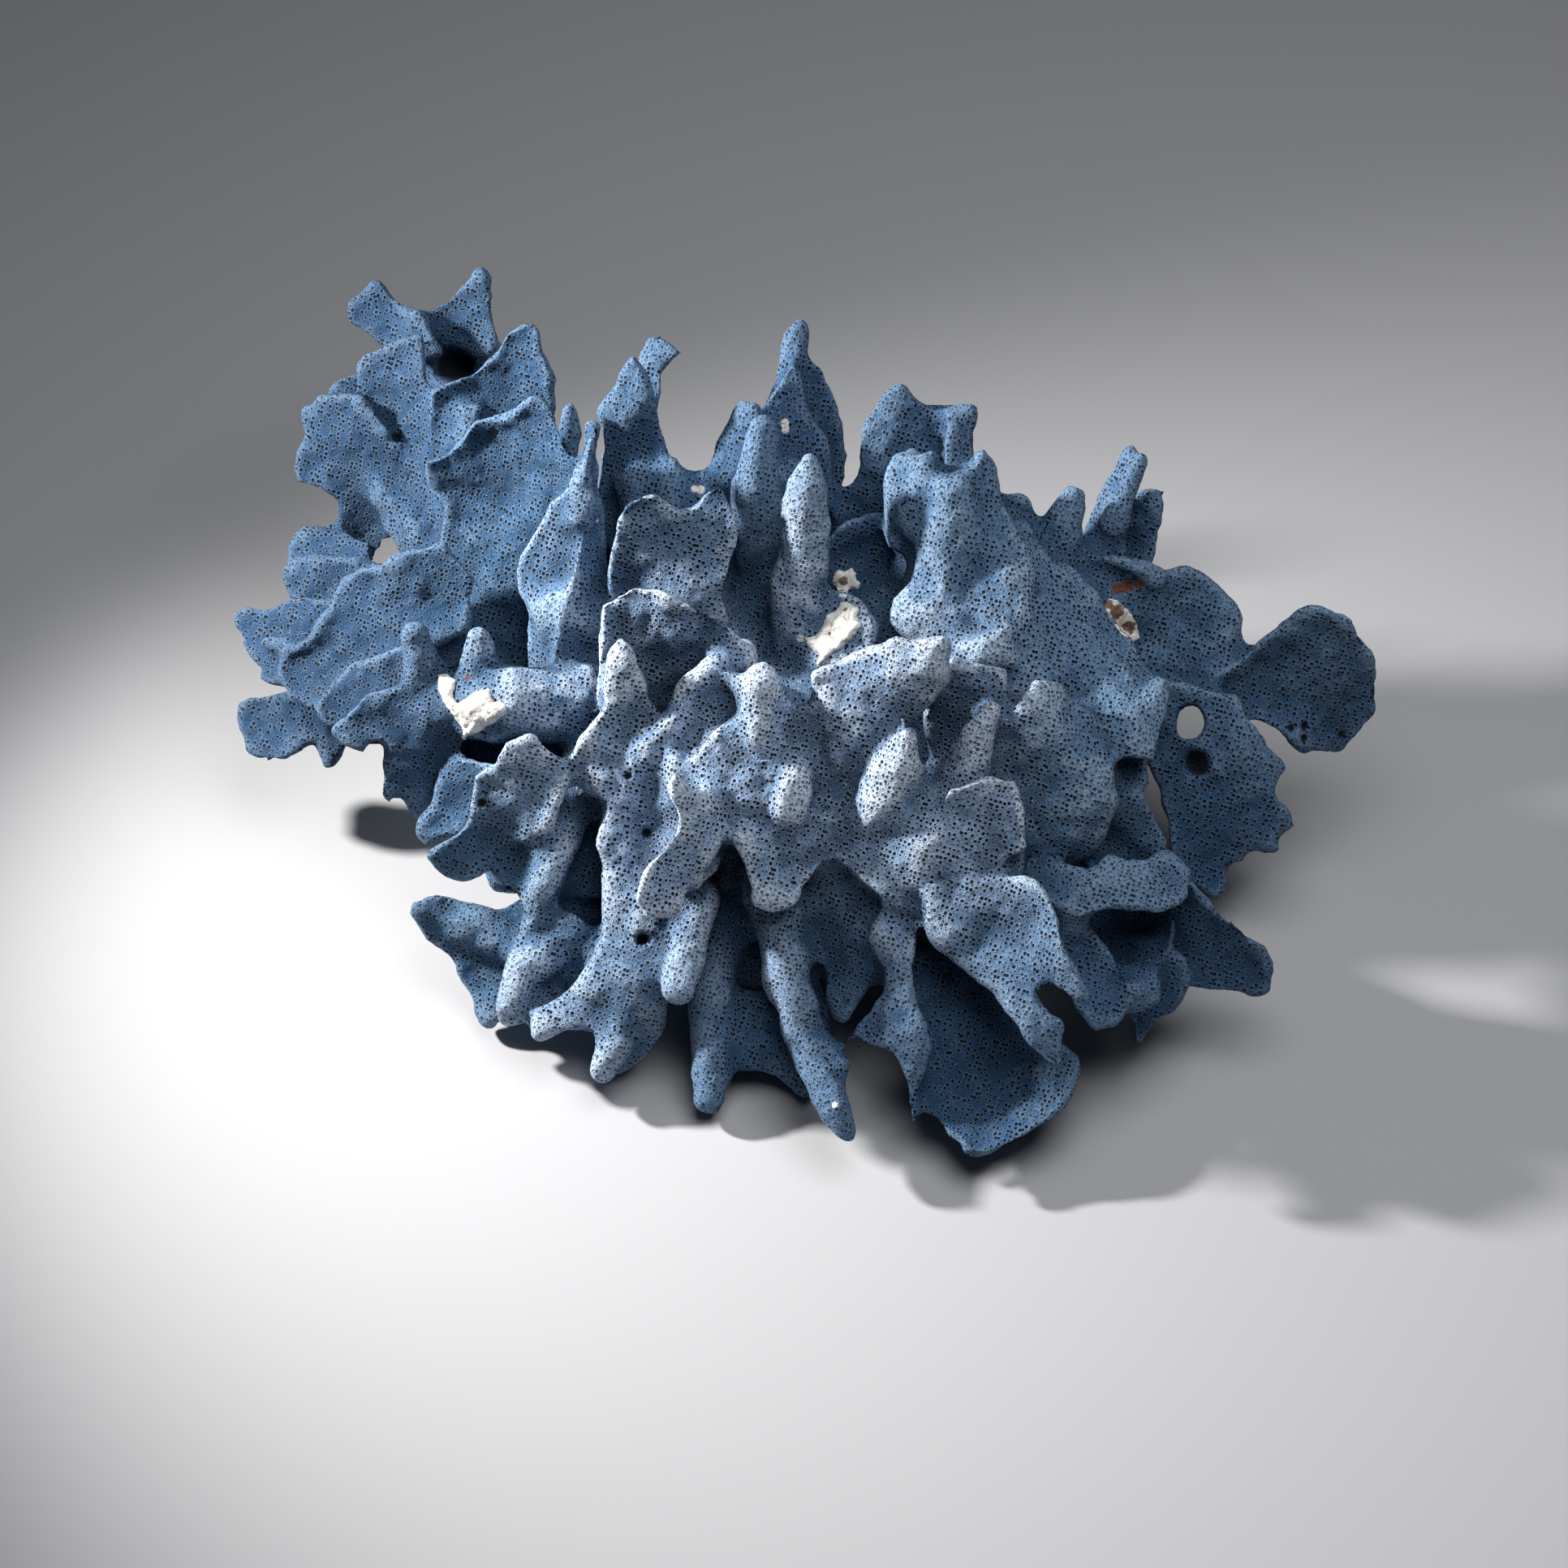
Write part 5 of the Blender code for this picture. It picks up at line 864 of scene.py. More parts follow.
def ball_mesh(centre, radii, detail):
    mesh = bpy.data.meshes.new("ball")
    work = bmesh.new()
    bmesh.ops.create_icosphere(work, subdivisions=detail, radius=1.0)
    bmesh.ops.scale(work, vec=Vector(radii), verts=work.verts)
    bmesh.ops.translate(work, vec=Vector(centre), verts=work.verts)
    work.to_mesh(mesh)
    work.free()
    return mesh


def trunk_meshes():
    """The core that every branch forks from, and its lumps, of which the lowest reach past the cut."""
    balls = [ball_mesh(Vector((0, 0, CORE_HEIGHT)) * MM, Vector(CORE_RADII) * MM, CORE_DETAIL)]
    for bearing, distance, height, radius in TRUNK_LUMPS:
        centre = turned_place(bearing, distance, height)
        balls.append(ball_mesh(centre, Vector((radius,) * 3) * MM, LUMP_DETAIL))
    return balls


def branch_meshes(shapes):
    """The unfused shapes of one branch, with the roots and the keels that they need."""
    blades = [shape for shape in shapes if shape["kind"] == "blade"]
    meshes = [blade_mesh(shape) for shape in blades]
    meshes += [finger_mesh(shape) for shape in shapes if shape["kind"] != "blade"]
    meshes += root_meshes(shapes)
    meshes += [keel for keel in map(keel_mesh, blades) if keel]
    return meshes


def joined(name, meshes):
    """The meshes as one mesh."""
    work = bmesh.new()
    for mesh in meshes:
        work.from_mesh(mesh)
        bpy.data.meshes.remove(mesh)
    bmesh.ops.remove_doubles(work, verts=work.verts, dist=MERGE)
    whole = bpy.data.meshes.new(name)
    work.to_mesh(whole)
    work.free()
    return whole


def added(name, data):
    """A new object in the scene."""
    thing = bpy.data.objects.new(name, data)
    bpy.context.scene.collection.objects.link(thing)
    return thing


# What is made once and kept: the joined shapes of every node, and the search tree of the whole skin.
DRAFTS = {}
WHOLE_SKIN = []


def drafts():
    """The joined but unfused shapes of every node: the skin and its parting both need them."""
    if not DRAFTS:
        DRAFTS["trunk"] = joined("trunk_draft", trunk_meshes())
        for name, shapes in BRANCHES.items():
            DRAFTS[name] = joined(name + "_draft", branch_meshes(shapes))
        for name, (hub, rows) in REAR_BRANCHES.items():
            meshes = [stem_mesh(hub)] + [rear_blade_mesh(hub, *row) for row in rows]
            DRAFTS[name] = joined(name + "_draft", meshes)
    return DRAFTS


def tree_of(meshes):
    """A search tree of the faces of some meshes."""
    work = bmesh.new()
    for mesh in meshes:
        work.from_mesh(mesh)
    tree = BVHTree.FromBMesh(work)
    work.free()
    return tree


def search_tree():
    """A search tree of all the drafts, and for each of its faces the number of its node."""
    owners = []
    for number, mesh in enumerate(drafts().values()):
        owners += [number] * len(mesh.polygons)
    return tree_of(drafts().values()), owners


def cloud_texture(name, size, depth, hard=False):
    made = bpy.data.textures.new(name, "CLOUDS")
    made.noise_scale = size * MM
    made.noise_depth = depth
    made.noise_type = "HARD_NOISE" if hard else "SOFT_NOISE"
    return made


def displaced(thing, texture, strength):
    push = thing.modifiers.new(texture.name, "DISPLACE")
    push.texture = texture
    push.texture_coords = "LOCAL"
    push.mid_level = 0.5
    push.strength = strength * MM


def remeshed(thing, name, grain):
    fuse = thing.modifiers.new(name, "REMESH")
    fuse.mode = "VOXEL"
    fuse.voxel_size = grain * MM
    fuse.use_smooth_shade = True


def swollen(thing, name, height):
    push = thing.modifiers.new(name, "DISPLACE")
    push.mid_level = 0.0
    push.strength = height * MM


def finished(thing):
    """Replaces a thing's mesh by what its modifiers make of it."""
    bpy.context.view_layer.update()
    seen = thing.evaluated_get(bpy.context.evaluated_depsgraph_get())
    mesh = bpy.data.meshes.new_from_object(seen)
    thing.modifiers.clear()
    thing.data = mesh


def grown_skin(sizes):
    """All drafts grown together: fused, filled at their crotches, softened, and given lumps and folds."""
    thing = added("coral_skin", joined("coral_draft", [mesh.copy() for mesh in drafts().values()]))
    remeshed(thing, "fuse", sizes.skin_grain)
    swollen(thing, "fill_crotches", sizes.crotch_fill)
    remeshed(thing, "fuse_again", sizes.skin_grain)
    swollen(thing, "thin_back", -sizes.crotch_fill)
    soften = thing.modifiers.new("soften", "SMOOTH")
    soften.factor = SOFTEN_SHARE
    soften.iterations = sizes.soften_rounds
    displaced(thing, cloud_texture("lumps", sizes.lump_size, LUMP_LAYERS), sizes.lump_height)
    displaced(thing, cloud_texture("folds", sizes.fold_size, FOLD_LAYERS), sizes.fold_height)
    displaced(thing, cloud_texture("bumps", sizes.bump_size, BUMP_LAYERS), sizes.bump_height)
    finished(thing)
    pitted(thing)
    cut_level(thing, 0.0)
    hold_inside(thing)
    return thing


def seen_point(tree, a, b):
    """The first point of a surface behind a drawn point (a, b)."""
    near = drawn(a, b, FAR_IN_VIEW)
    far = drawn(a, b, -FAR_IN_VIEW)
    return tree.ray_cast(near, (far - near).normalized())[0]


# Small holes and hollows: drawn place, radius and depth.
PITS = [
    (-34.9, -38.2, 1.9, 2.6), (-38.5, 2, 1.4, 1.4), (-34, -12, 1.6, 1.6), (101.9, 5.1, 4.2, 3.0),
    (-95.5, 85.5, 1.8, 1.8), (-81.5, 103, 5.5, 7.0), (-77.5, 104, 4.0, 5.0), (-30, 19, 2.0, 2.0),
    (128.3, 14.3, 1.4, 1.6), (128.2, 11.4, 1.3, 1.6), (125, 13.8, 1.2, 1.4), (137.5, 12.3, 1.2, 1.4),
    (-74.4, -4.6, 1.5, 1.4),
]

# Small marks on the skin, each a drawn place and a radius: specks of lime, and rusty brown stains.
MARKS = {
    "lime": [(0.3, 88.9, 1.3), (0.3, 87.4, 1.2), (-20.5, 72.5, 1.3), (-22, 72.8, 1.1), (12.5, -79, 0.9),
             (4, 36, 1.2), (-31, 52, 0.7), (-38, 61, 0.7), (-46, 65, 0.7)],
    "rust": [(82, 48, 1.6), (84.5, 48.6, 1.8), (87.5, 49.4, 1.6), (-78, 26.3, 0.9)],
}


def pitted(thing):
    """Sinks the small holes into the skin, away from the viewer, and remembers where they are."""
    mesh = thing.data
    tree = tree_of([mesh])
    away = np.array((drawn(0, 0, -1) - drawn(0, 0, 0)).normalized())
    places = read_points(mesh)
    moved = places.copy()
    sunk = np.zeros(len(places))
    for a, b, radius, depth in PITS:
        middle = seen_point(tree, a, b)
        distance = np.linalg.norm(places - np.array(middle), axis=1) / (radius * MM)
        share = np.clip(1.0 - distance ** 2, 0.0, 1.0)
        moved += away * (share * depth * MM)[:, None]
        sunk = np.maximum(sunk, share)
    mesh.vertices.foreach_set("co", moved.astype(np.float32).ravel())
    write_value(mesh, "pit", sunk)


def write_spots(mesh, tree, name, spots):
    """A value that is 1 at each drawn spot and fades out half a radius past its edge."""
    places = read_points(mesh)
    found = np.zeros(len(places))
    for a, b, radius in spots:
        middle = seen_point(tree, a, b)
        if middle is not None:
            distance = np.linalg.norm(places - np.array(middle), axis=1) / (radius * MM)
            found = np.maximum(found, np.clip(SPOT_FADE - distance, 0.0, 1.0))
    write_value(mesh, name, found)


def hold_inside(thing):
    """Keeps every point of a piece inside the box of the solids."""
    mesh = thing.data
    places = np.clip(read_points(mesh), CAD_BOX[0], CAD_BOX[1])
    mesh.vertices.foreach_set("co", places.astype(np.float32).ravel())


def cut_level(thing, height):
    """Cuts a piece off level at a height, and closes the cut with one flat face."""
    work = bmesh.new()
    work.from_mesh(thing.data)
    geometry = work.verts[:] + work.edges[:] + work.faces[:]
    cut = bmesh.ops.bisect_plane(work, geom=geometry, plane_co=(0, 0, height), plane_no=(0, 0, 1),
                                 clear_inner=True)
    rim = [part for part in cut["geom_cut"] if isinstance(part, bmesh.types.BMEdge)]
    bmesh.ops.triangle_fill(work, edges=rim, normal=(0, 0, -1), use_beauty=True)
    bmesh.ops.recalc_face_normals(work, faces=work.faces)
    work.to_mesh(thing.data)
    work.free()


def face_corners(mesh):
    """The vertex and the face of every corner of a mesh's faces."""
    sizes = np.empty(len(mesh.polygons), np.int32)
    mesh.polygons.foreach_get("loop_total", sizes)
    corners = np.empty(len(mesh.loops), np.int32)
    mesh.loops.foreach_get("vertex_index", corners)
    return corners, np.repeat(np.arange(len(sizes)), sizes)


def nearest_nodes(mesh, tree, owners):
    """For each face of the skin, the number of the nearest draft's node, with stray specks evened out."""
    centres = read_points(mesh, "polygons", "center")
    numbers = np.array([owners[tree.find_nearest(Vector(place))[2]] for place in centres])
    corners, face_of_corner = face_corners(mesh)
    for _ in range(EVENING_ROUNDS):
        votes = np.zeros((len(mesh.vertices), max(owners) + 1), np.float32)
        np.add.at(votes, (corners, numbers[face_of_corner]), 1.0)
        shared = np.zeros((len(centres), votes.shape[1]), np.float32)
        np.add.at(shared, face_of_corner, votes[corners])
        numbers = np.argmax(shared, axis=1)
    return numbers


def read_points(mesh, of="vertices", field="co"):
    rows = getattr(mesh, of)
    values = np.empty(len(rows) * 3, np.float32)
    rows.foreach_get(field, values)
    return values.reshape(-1, 3).astype(float)


def neighbour_mean(mesh):
    """A function that gives, for values held by the vertices, the mean over each vertex's neighbours."""
    count = len(mesh.vertices)
    ends = np.empty(len(mesh.edges) * 2, np.int32)
    mesh.edges.foreach_get("vertices", ends)
    ends = ends.reshape(-1, 2)
    here = np.concatenate([ends[:, 0], ends[:, 1]])
    there = np.concatenate([ends[:, 1], ends[:, 0]])
    degree = np.maximum(np.bincount(here, minlength=count), 1)

    def mean(values):
        columns = [np.bincount(here, values[there, axis], count) for axis in range(values.shape[1])]
        return np.stack(columns, axis=1) / degree[:, None]

    return mean


def write_value(mesh, name, values):
    field = mesh.attributes.new(name, "FLOAT", "POINT")
    field.data.foreach_set("value", values.astype(np.float32))


def write_ridges(mesh, mean, normals):
    """How far each vertex stands out of its smoothed surroundings, in millimetres, near and wide."""
    places = read_points(mesh)
    smooth = places
    rounds = 0
    for name, until in (("ridge", RIDGE_ROUNDS), ("broad_ridge", BROAD_RIDGE_ROUNDS)):
        while rounds < until:
            smooth = mean(smooth)
            rounds += 1
        write_value(mesh, name, ((places - smooth) * normals).sum(axis=1) / MM)


def write_openness(mesh, mean, normals, tree):
    """How much of the space before each vertex is free of other coral: sampled, then spread out."""
    places = read_points(mesh)
    samples = np.arange(0, len(places), SAMPLE_EVERY)
    found = np.zeros((len(places), 2))
    for index in samples:
        normal = Vector(normals[index])
        start = Vector(places[index]) + normal * SAMPLE_LIFT * MM
        free = 0.0
        weight = 0.0
        for way in SKY_WAYS:
            facing = way.dot(normal)
            if facing < LEAST_FACING:
                continue
            hit = tree.ray_cast(start, way, SKY_REACH * MM)[3]
            weight += facing
            free += facing * (1.0 if hit is None else min(1.0, hit / (SKY_REACH * MM)) ** 2)
        found[index] = (free, weight)
    for _ in range(SPREAD_ROUNDS):
        found = 0.5 * found + 0.5 * mean(found)
    write_value(mesh, "openness", found[:, 0] / np.maximum(found[:, 1], LEAST_WEIGHT))


def write_pore_map(mesh, mean, normals):
    """A UV map in tens of millimetres, each face laid flat along the way that it mostly faces."""
    for _ in range(CHART_ROUNDS):
        normals = mean(normals)
    corners, face_of_corner = face_corners(mesh)
    ways = np.array([list(way) for way in CHART_WAYS])
    facing = np.zeros((len(mesh.polygons), 3))
    for axis in range(3):
        facing[:, axis] = np.bincount(face_of_corner, normals[corners, axis], len(facing))
    chart = np.argmax(facing @ ways.T, axis=1)[face_of_corner]
    across = np.cross(ways, CHART_TILT)
    across /= np.linalg.norm(across, axis=1)[:, None]
    along = np.cross(ways, across)
    places = read_points(mesh)[corners] / (PORE_UNIT * MM)
    flat = np.stack([(places * across[chart]).sum(axis=1), (places * along[chart]).sum(axis=1)], axis=1)
    layer = mesh.uv_layers.new(name="pores")
    layer.data.foreach_set("uv", flat.astype(np.float32).ravel())


def ways_round(count):
    """Directions spread evenly over a sphere, along a golden spiral."""
    ways = []
    for step in range(count):
        height = 1 - 2 * (step + 0.5) / count
        turn = step * math.pi * (3 - math.sqrt(5))
        level = math.sqrt(1 - height * height)
        ways.append(Vector((level * math.cos(turn), level * math.sin(turn), height)))
    return ways


SKY_WAYS = ways_round(SKY_WAY_COUNT)
CHART_WAYS = ways_round(CHART_WAY_COUNT)


def teach_surface(mesh, tree):
    """Gives the skin all that its materials read from it."""
    mean = neighbour_mean(mesh)
    normals = read_points(mesh, "vertex_normals", "vector")
    write_ridges(mesh, mean, normals)
    write_openness(mesh, mean, normals, tree)
    write_pore_map(mesh, mean, normals)


def close_ends(thing):
    """Closes a piece inside the coral, where it was parted from its neighbours."""
    tree = WHOLE_SKIN[0]
    work = bmesh.new()
    work.from_mesh(thing.data)
    for face in work.faces:
        face.material_index = 0
    rims = [edge for edge in work.edges if edge.is_boundary]
    for cap in bmesh.ops.holes_fill(work, edges=rims, sides=0)["faces"]:
        cap.smooth = False
        cap.material_index = 1
    for _ in range(CAP_ROUNDS):
        bmesh.ops.triangulate(work, faces=[face for face in work.faces if face.material_index])
        long = [edge for edge in work.edges if edge.calc_length() > CAP_STEP
                and all(face.material_index for face in edge.link_faces)]
        cut = bmesh.ops.subdivide_edges(work, edges=long, cuts=1)["geom_inner"]
        for vertex in cut:
            if isinstance(vertex, bmesh.types.BMVert):
                sink_under(vertex, tree)
    bmesh.ops.triangulate(work, faces=[face for face in work.faces if face.material_index])
    caps = [face for face in work.faces if face.material_index]
    showing = [cap for cap in caps if cap_height(cap, tree) > -CAP_LEAST]
    bmesh.ops.delete(work, geom=showing, context="FACES_ONLY")
    for face in work.faces:
        face.material_index = 0
    work.to_mesh(thing.data)
    work.free()


def cap_height(cap, tree):
    """How far the middle of a cap's face, or of one of its inner edges, stands out of the skin."""
    points = [cap.calc_center_median()]
    for edge in cap.edges:
        if all(face.material_index for face in edge.link_faces):
            points.append((edge.verts[0].co + edge.verts[1].co) / 2)
    heights = []
    for point in points:
        place, normal = tree.find_nearest(point)[:2]
        heights.append((point - place).dot(normal))
    return max(heights)


def sink_under(vertex, tree):
    """Moves a point that isn't well inside the coral to just under its skin."""
    place, normal = tree.find_nearest(vertex.co)[:2]
    if (vertex.co - place).dot(normal) > -CAP_DEPTH:
        vertex.co = place - normal * CAP_DEPTH


def settle(thing, node, material):
    """Gives a piece its material and puts it in the place of its node."""
    thing.data.materials.clear()
    thing.data.materials.append(material)
    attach(thing, "root")
    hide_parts(node)


def part_into_branches(skin, context):
    """Gives the skin its values and marks, and parts it into the trunk and the branches."""
    tree, owners = search_tree()
    teach_surface(skin.data, tree)
    WHOLE_SKIN.append(tree_of([skin.data]))
    for name, spots in MARKS.items():
        write_spots(skin.data, WHOLE_SKIN[0], name, spots)
    numbers = nearest_nodes(skin.data, tree, owners)
    for name in drafts():
        skin.data.materials.append(bpy.data.materials.new("part_" + name))
    skin.data.polygons.foreach_set("material_index", numbers.astype(np.int32))
    before = set(bpy.data.objects)
    bpy.ops.object.select_all(action="DESELECT")
    context.view_layer.objects.active = skin
    skin.select_set(True)
    bpy.ops.object.mode_set(mode="EDIT")
    bpy.ops.mesh.select_all(action="SELECT")
    bpy.ops.mesh.separate(type="MATERIAL")
    bpy.ops.object.mode_set(mode="OBJECT")
    for piece in [skin] + [thing for thing in bpy.data.objects if thing not in before]:
        piece.name = piece.data.materials[0].name.replace("part_", "") + "_skeleton"
        piece.data.name = piece.name


def finish_branch(node, context):
    """Closes one parted branch and gives it its finish."""
    thing = bpy.data.objects[node + "_skeleton"]
    close_ends(thing)
    finish = dressed_material("dry_blue_coral", dress_skeleton, context.scene.coral_colours)
    settle(thing, node, finish)


# Where nodes are laid in a tree: a column's width, the rows that are used in turn, and a row's height.
COLUMN_WIDTH = 60
ROW_COUNT = 5
ROW_HEIGHT = 160

# The patterns of the materials: each noise's size in millimetres, its detail and its roughness.
NOISES = {
    "patch": (42.0, 3.0, 0.6),
    "dusty": (14.0, 4.0, 0.6),
    "mottle": (5.0, 4.0, 0.65),
    "fine": (0.7, 3.0, 0.7),
    "specks": (0.9, 1.0, 0.5),
    "stain": (3.2, 4.0, 0.65),
    "ragged": (1.1, 3.0, 0.6),
}

# The cells of the skin's fine net and of the crusts' cracks, in millimetres.
NET_SIZE = 0.5
CRACK_SIZE = 2.6

# The pores: their spacing in millimetres, their width and scatter as shares of it, and their rims.
PORE_SPACING = 1.25
PORE_WIDTH = 0.23
PORE_SCATTER = 0.65
PORE_RIM = 0.35
PORES_FILLED = 0.07

# The soft steps of the masks: from and to what value each one goes, and what it is at either end.
STEPS = {
    "pore_size": (0.0, 1.0, 0.5, 1.35),
    "mouth": (0.75, 1.25, 1.0, 0.0),
    "open_pore": (0.0, 1.0, 0.25, 1.0),
    "rim_inside": (1.0, 1.6, 0.0, 1.0),
    "rim_outside": (1.6, 2.2, 1.0, 0.0),
    "mottle": (0.32, 0.68, 0.0, 1.0),
    "specks": (0.70, 0.76, 0.0, 1.0),
    "net": (0.1, 0.5, 0.0, 1.0),
    "rightward": (-0.12, 0.12, 0.0, 0.55),
    "slate": (0.25, 1.0, 0.0, 1.0),
    "middle": (1.0, 1.8, 1.0, 0.0),
    "low": (0.035, 0.095, 0.9, 0.0),
    "low_at_right": (-0.07, 0.01, 0.25, 1.0),
    "far_left": (-0.11, -0.05, 0.95, 0.0),
    "back": (0.0, 0.075, 0.0, 0.6),
    "sunk_in_middle": (0.0, 1.0, 1.0, 0.5),
    "dust": (0.3, 0.65, 0.4, 1.0),
    "dust_in_middle": (0.0, 1.0, 0.06, 0.9),
    "rubbed": (0.3, 2.2, 0.0, 1.0),
    "rubbed_where_sunk": (0.0, 0.6, 0.85, 0.35),
    "hollow": (0.15, 0.75, 0.95, 0.0),
    "crease": (-1.6, -0.1, 0.6, 0.0),
    "left_shade": (-0.12, -0.05, 0.38, 0.0),
    "sandy": (0.38, 0.58, 0.5, 0.0),
    "worn_mouth": (0.8, 3.0, 1.0, 0.75),
    "pit": (0.15, 0.6, 0.0, 0.95),
    "rust": (0.3, 0.9, 0.0, 0.95),
    "lime": (0.4, 0.8, 0.0, 1.0),
    "roughness": (0.0, 1.0, 0.8, 0.96),
    "stain": (0.58, 0.74, 0.0, 1.0),
    "stained": (0.3, 0.6, 0.0, 0.95),
    "crack": (0.0, 0.06, 0.55, 0.0),
    "crust_mottle": (0.0, 1.0, 0.0, 0.1),
}

# The parts painted paler, partly a dustier tone and partly a painted pool of light: for each a point in
# metres, and how far it reaches each way.
PALE_AND_LIT_PARTS = [((-0.01, -0.07, 0.095), (0.09, 0.09, 0.06)), ((-0.06, -0.09, 0.05), (0.03, 0.045, 0.05))]

# How much the patches shift the edges of the pale parts, of the slate parts and of the low parts.
PATCH_SHIFT = 0.9
PATCH_LIFT = 0.03

# How ridges, both near and wide, and the mottle make up the wear of the skin.
NEAR_RIDGE_SHARE = 1.6
MOTTLE_WEAR = 0.5

# How strongly the grain and the pores' rims tint the skin.
SPECK_SHARE = 0.5
NET_SHARE = 0.8
RIM_SHARE = 0.25

# The bumps of the skin and of the crusts: strength and depth in millimetres, and the grain's share.
SKIN_BUMP = (0.9, 0.35)
CRUST_BUMP = (0.8, 0.3)
GRAIN_BUMP = 0.9

# How shiny the skin is, and how rough the crusts and the floor are.
SKIN_SHINE = 0.3
CRUST_ROUGHNESS = 0.9
FLOOR_ROUGHNESS = 0.95

# How far ragged noise shifts the edges of a crust's stains.
RAGGED_SHIFT = 3.0


class Wiring:
    """Short ways to lay nodes in a tree, one column to the right of another."""

    def __init__(self, tree):
        self.tree = tree
        self.column = 0

    def node(self, kind, **settings):
        made = self.tree.nodes.new(kind)
        self.column += 1
        made.location = (self.column * COLUMN_WIDTH, -(self.column % ROW_COUNT) * ROW_HEIGHT)
        for key, value in settings.items():
            setattr(made, key, value)
        return made

    def join(self, source, target):
        self.tree.links.new(source, target)

    def put(self, value, target):
        """Feeds a socket from another socket, or sets it to a plain value."""
        if isinstance(value, bpy.types.NodeSocket):
            self.join(value, target)
        else:
            target.default_value = value

    def maths(self, operation, first, second):
        made = self.node("ShaderNodeMath", operation=operation)
        self.put(first, made.inputs[0])
        self.put(second, made.inputs[1])
        return made.outputs[0]

    def plus(self, first, second):
        return self.maths("ADD", first, second)

    def minus(self, first, second):
        return self.maths("SUBTRACT", first, second)

    def times(self, first, second):
        return self.maths("MULTIPLY", first, second)

    def vector(self, operation, first, second=(0.0, 0.0, 0.0)):
        made = self.node("ShaderNodeVectorMath", operation=operation)
        self.put(first, made.inputs[0])
        self.put(second, made.inputs[1])
        return made.outputs["Value" if operation == "LENGTH" else "Vector"]

    def step(self, name, value):
        """The soft step of a value that STEPS gives by its name."""
        made = self.node("ShaderNodeMapRange", interpolation_type="SMOOTHSTEP")
        self.put(value, made.inputs["Value"])
        for target, end in zip(("From Min", "From Max", "To Min", "To Max"), STEPS[name]):
            made.inputs[target].default_value = end
        return made.outputs["Result"]

    def mix(self, share, first, second):
        made = self.node("ShaderNodeMix", data_type="RGBA", blend_type="MIX")
        below, above = [slot for slot in made.inputs if slot.type == "RGBA"]
        self.put(share, made.inputs[0])
        self.put(first, below)
        self.put(second, above)
        return [slot for slot in made.outputs if slot.type == "RGBA"][0]

    def noise(self, name, place):
        """The noise that NOISES gives by its name, on a place in metres."""
        size, detail, roughness = NOISES[name]
        made = self.node("ShaderNodeTexNoise")
        self.join(place, made.inputs["Vector"])
        made.inputs["Scale"].default_value = 1.0 / (size * MM)
        made.inputs["Detail"].default_value = detail
        made.inputs["Roughness"].default_value = roughness
        return made.outputs["Fac"]

    def cell_edges(self, size, place):
        """How far a place in metres lies from the edges of cells about size millimetres across."""
        made = self.node("ShaderNodeTexVoronoi", feature="DISTANCE_TO_EDGE")
        self.join(place, made.inputs["Vector"])
        made.inputs["Scale"].default_value = 1 / (size * MM)
        return made.outputs["Distance"]

    def field(self, name):
        return self.node("ShaderNodeAttribute", attribute_name=name).outputs["Fac"]

    def object_place(self):
        return self.node("ShaderNodeTexCoord").outputs["Object"]

    def group(self, name, lay):
        """A node group's outputs, with the group laid when it's first asked for."""
        tree = bpy.data.node_groups.get(name)
        if tree is None:
            tree = bpy.data.node_groups.new(name, "ShaderNodeTree")
            lay(Wiring(tree))
        return self.node("ShaderNodeGroup", node_tree=tree).outputs

    def give(self, **results):
        """Ends a node group: each result leaves by an output of its own name."""
        for name in results:
            self.tree.interface.new_socket(name=name, in_out="OUTPUT", socket_type="NodeSocketFloat")
        out = self.node("NodeGroupOutput")
        for name, source in results.items():
            self.join(source, out.inputs[name])

    def bump(self, height, strength, depth):
        made = self.node("ShaderNodeBump")
        made.inputs["Strength"].default_value = strength
        made.inputs["Distance"].default_value = depth * MM
        self.join(height, made.inputs["Height"])
        return made.outputs["Normal"]


def lay_pores(wires):
    """Fine pores on a UV map: a mask of their mouths, which are painted dark as shade, and a height with a
    low rim round each.
    """
    place = wires.node("ShaderNodeUVMap", uv_map="pores").outputs["UV"]
    cells = wires.node("ShaderNodeTexVoronoi", voronoi_dimensions="2D", feature="F1")
    wires.join(place, cells.inputs["Vector"])
    cells.inputs["Scale"].default_value = PORE_UNIT / PORE_SPACING
    cells.inputs["Randomness"].default_value = PORE_SCATTER
    chance = wires.node("ShaderNodeSeparateColor")
    wires.join(cells.outputs["Color"], chance.inputs["Color"])
    width = wires.times(PORE_WIDTH, wires.step("pore_size", chance.outputs["Green"]))
    away = wires.maths("DIVIDE", cells.outputs["Distance"], width)
    open_pore = wires.maths("GREATER_THAN", chance.outputs["Red"], PORES_FILLED)
    mask = wires.times(wires.step("mouth", away), wires.step("open_pore", open_pore))
    rim = wires.times(wires.step("rim_inside", away), wires.step("rim_outside", away))
    wires.give(Mask=mask, Rim=rim, Height=wires.minus(wires.times(rim, PORE_RIM), mask))


def lay_grain(wires):
    """The fine sugary grain of dry coral: a soft mottle, a height, white specks and a net of cells."""
    place = wires.object_place()
    wires.give(Mottle=wires.step("mottle", wires.noise("mottle", place)),
               Height=wires.noise("fine", place),
               Specks=wires.step("specks", wires.noise("specks", place)),
               Net=wires.step("net", wires.cell_edges(NET_SIZE, place)))


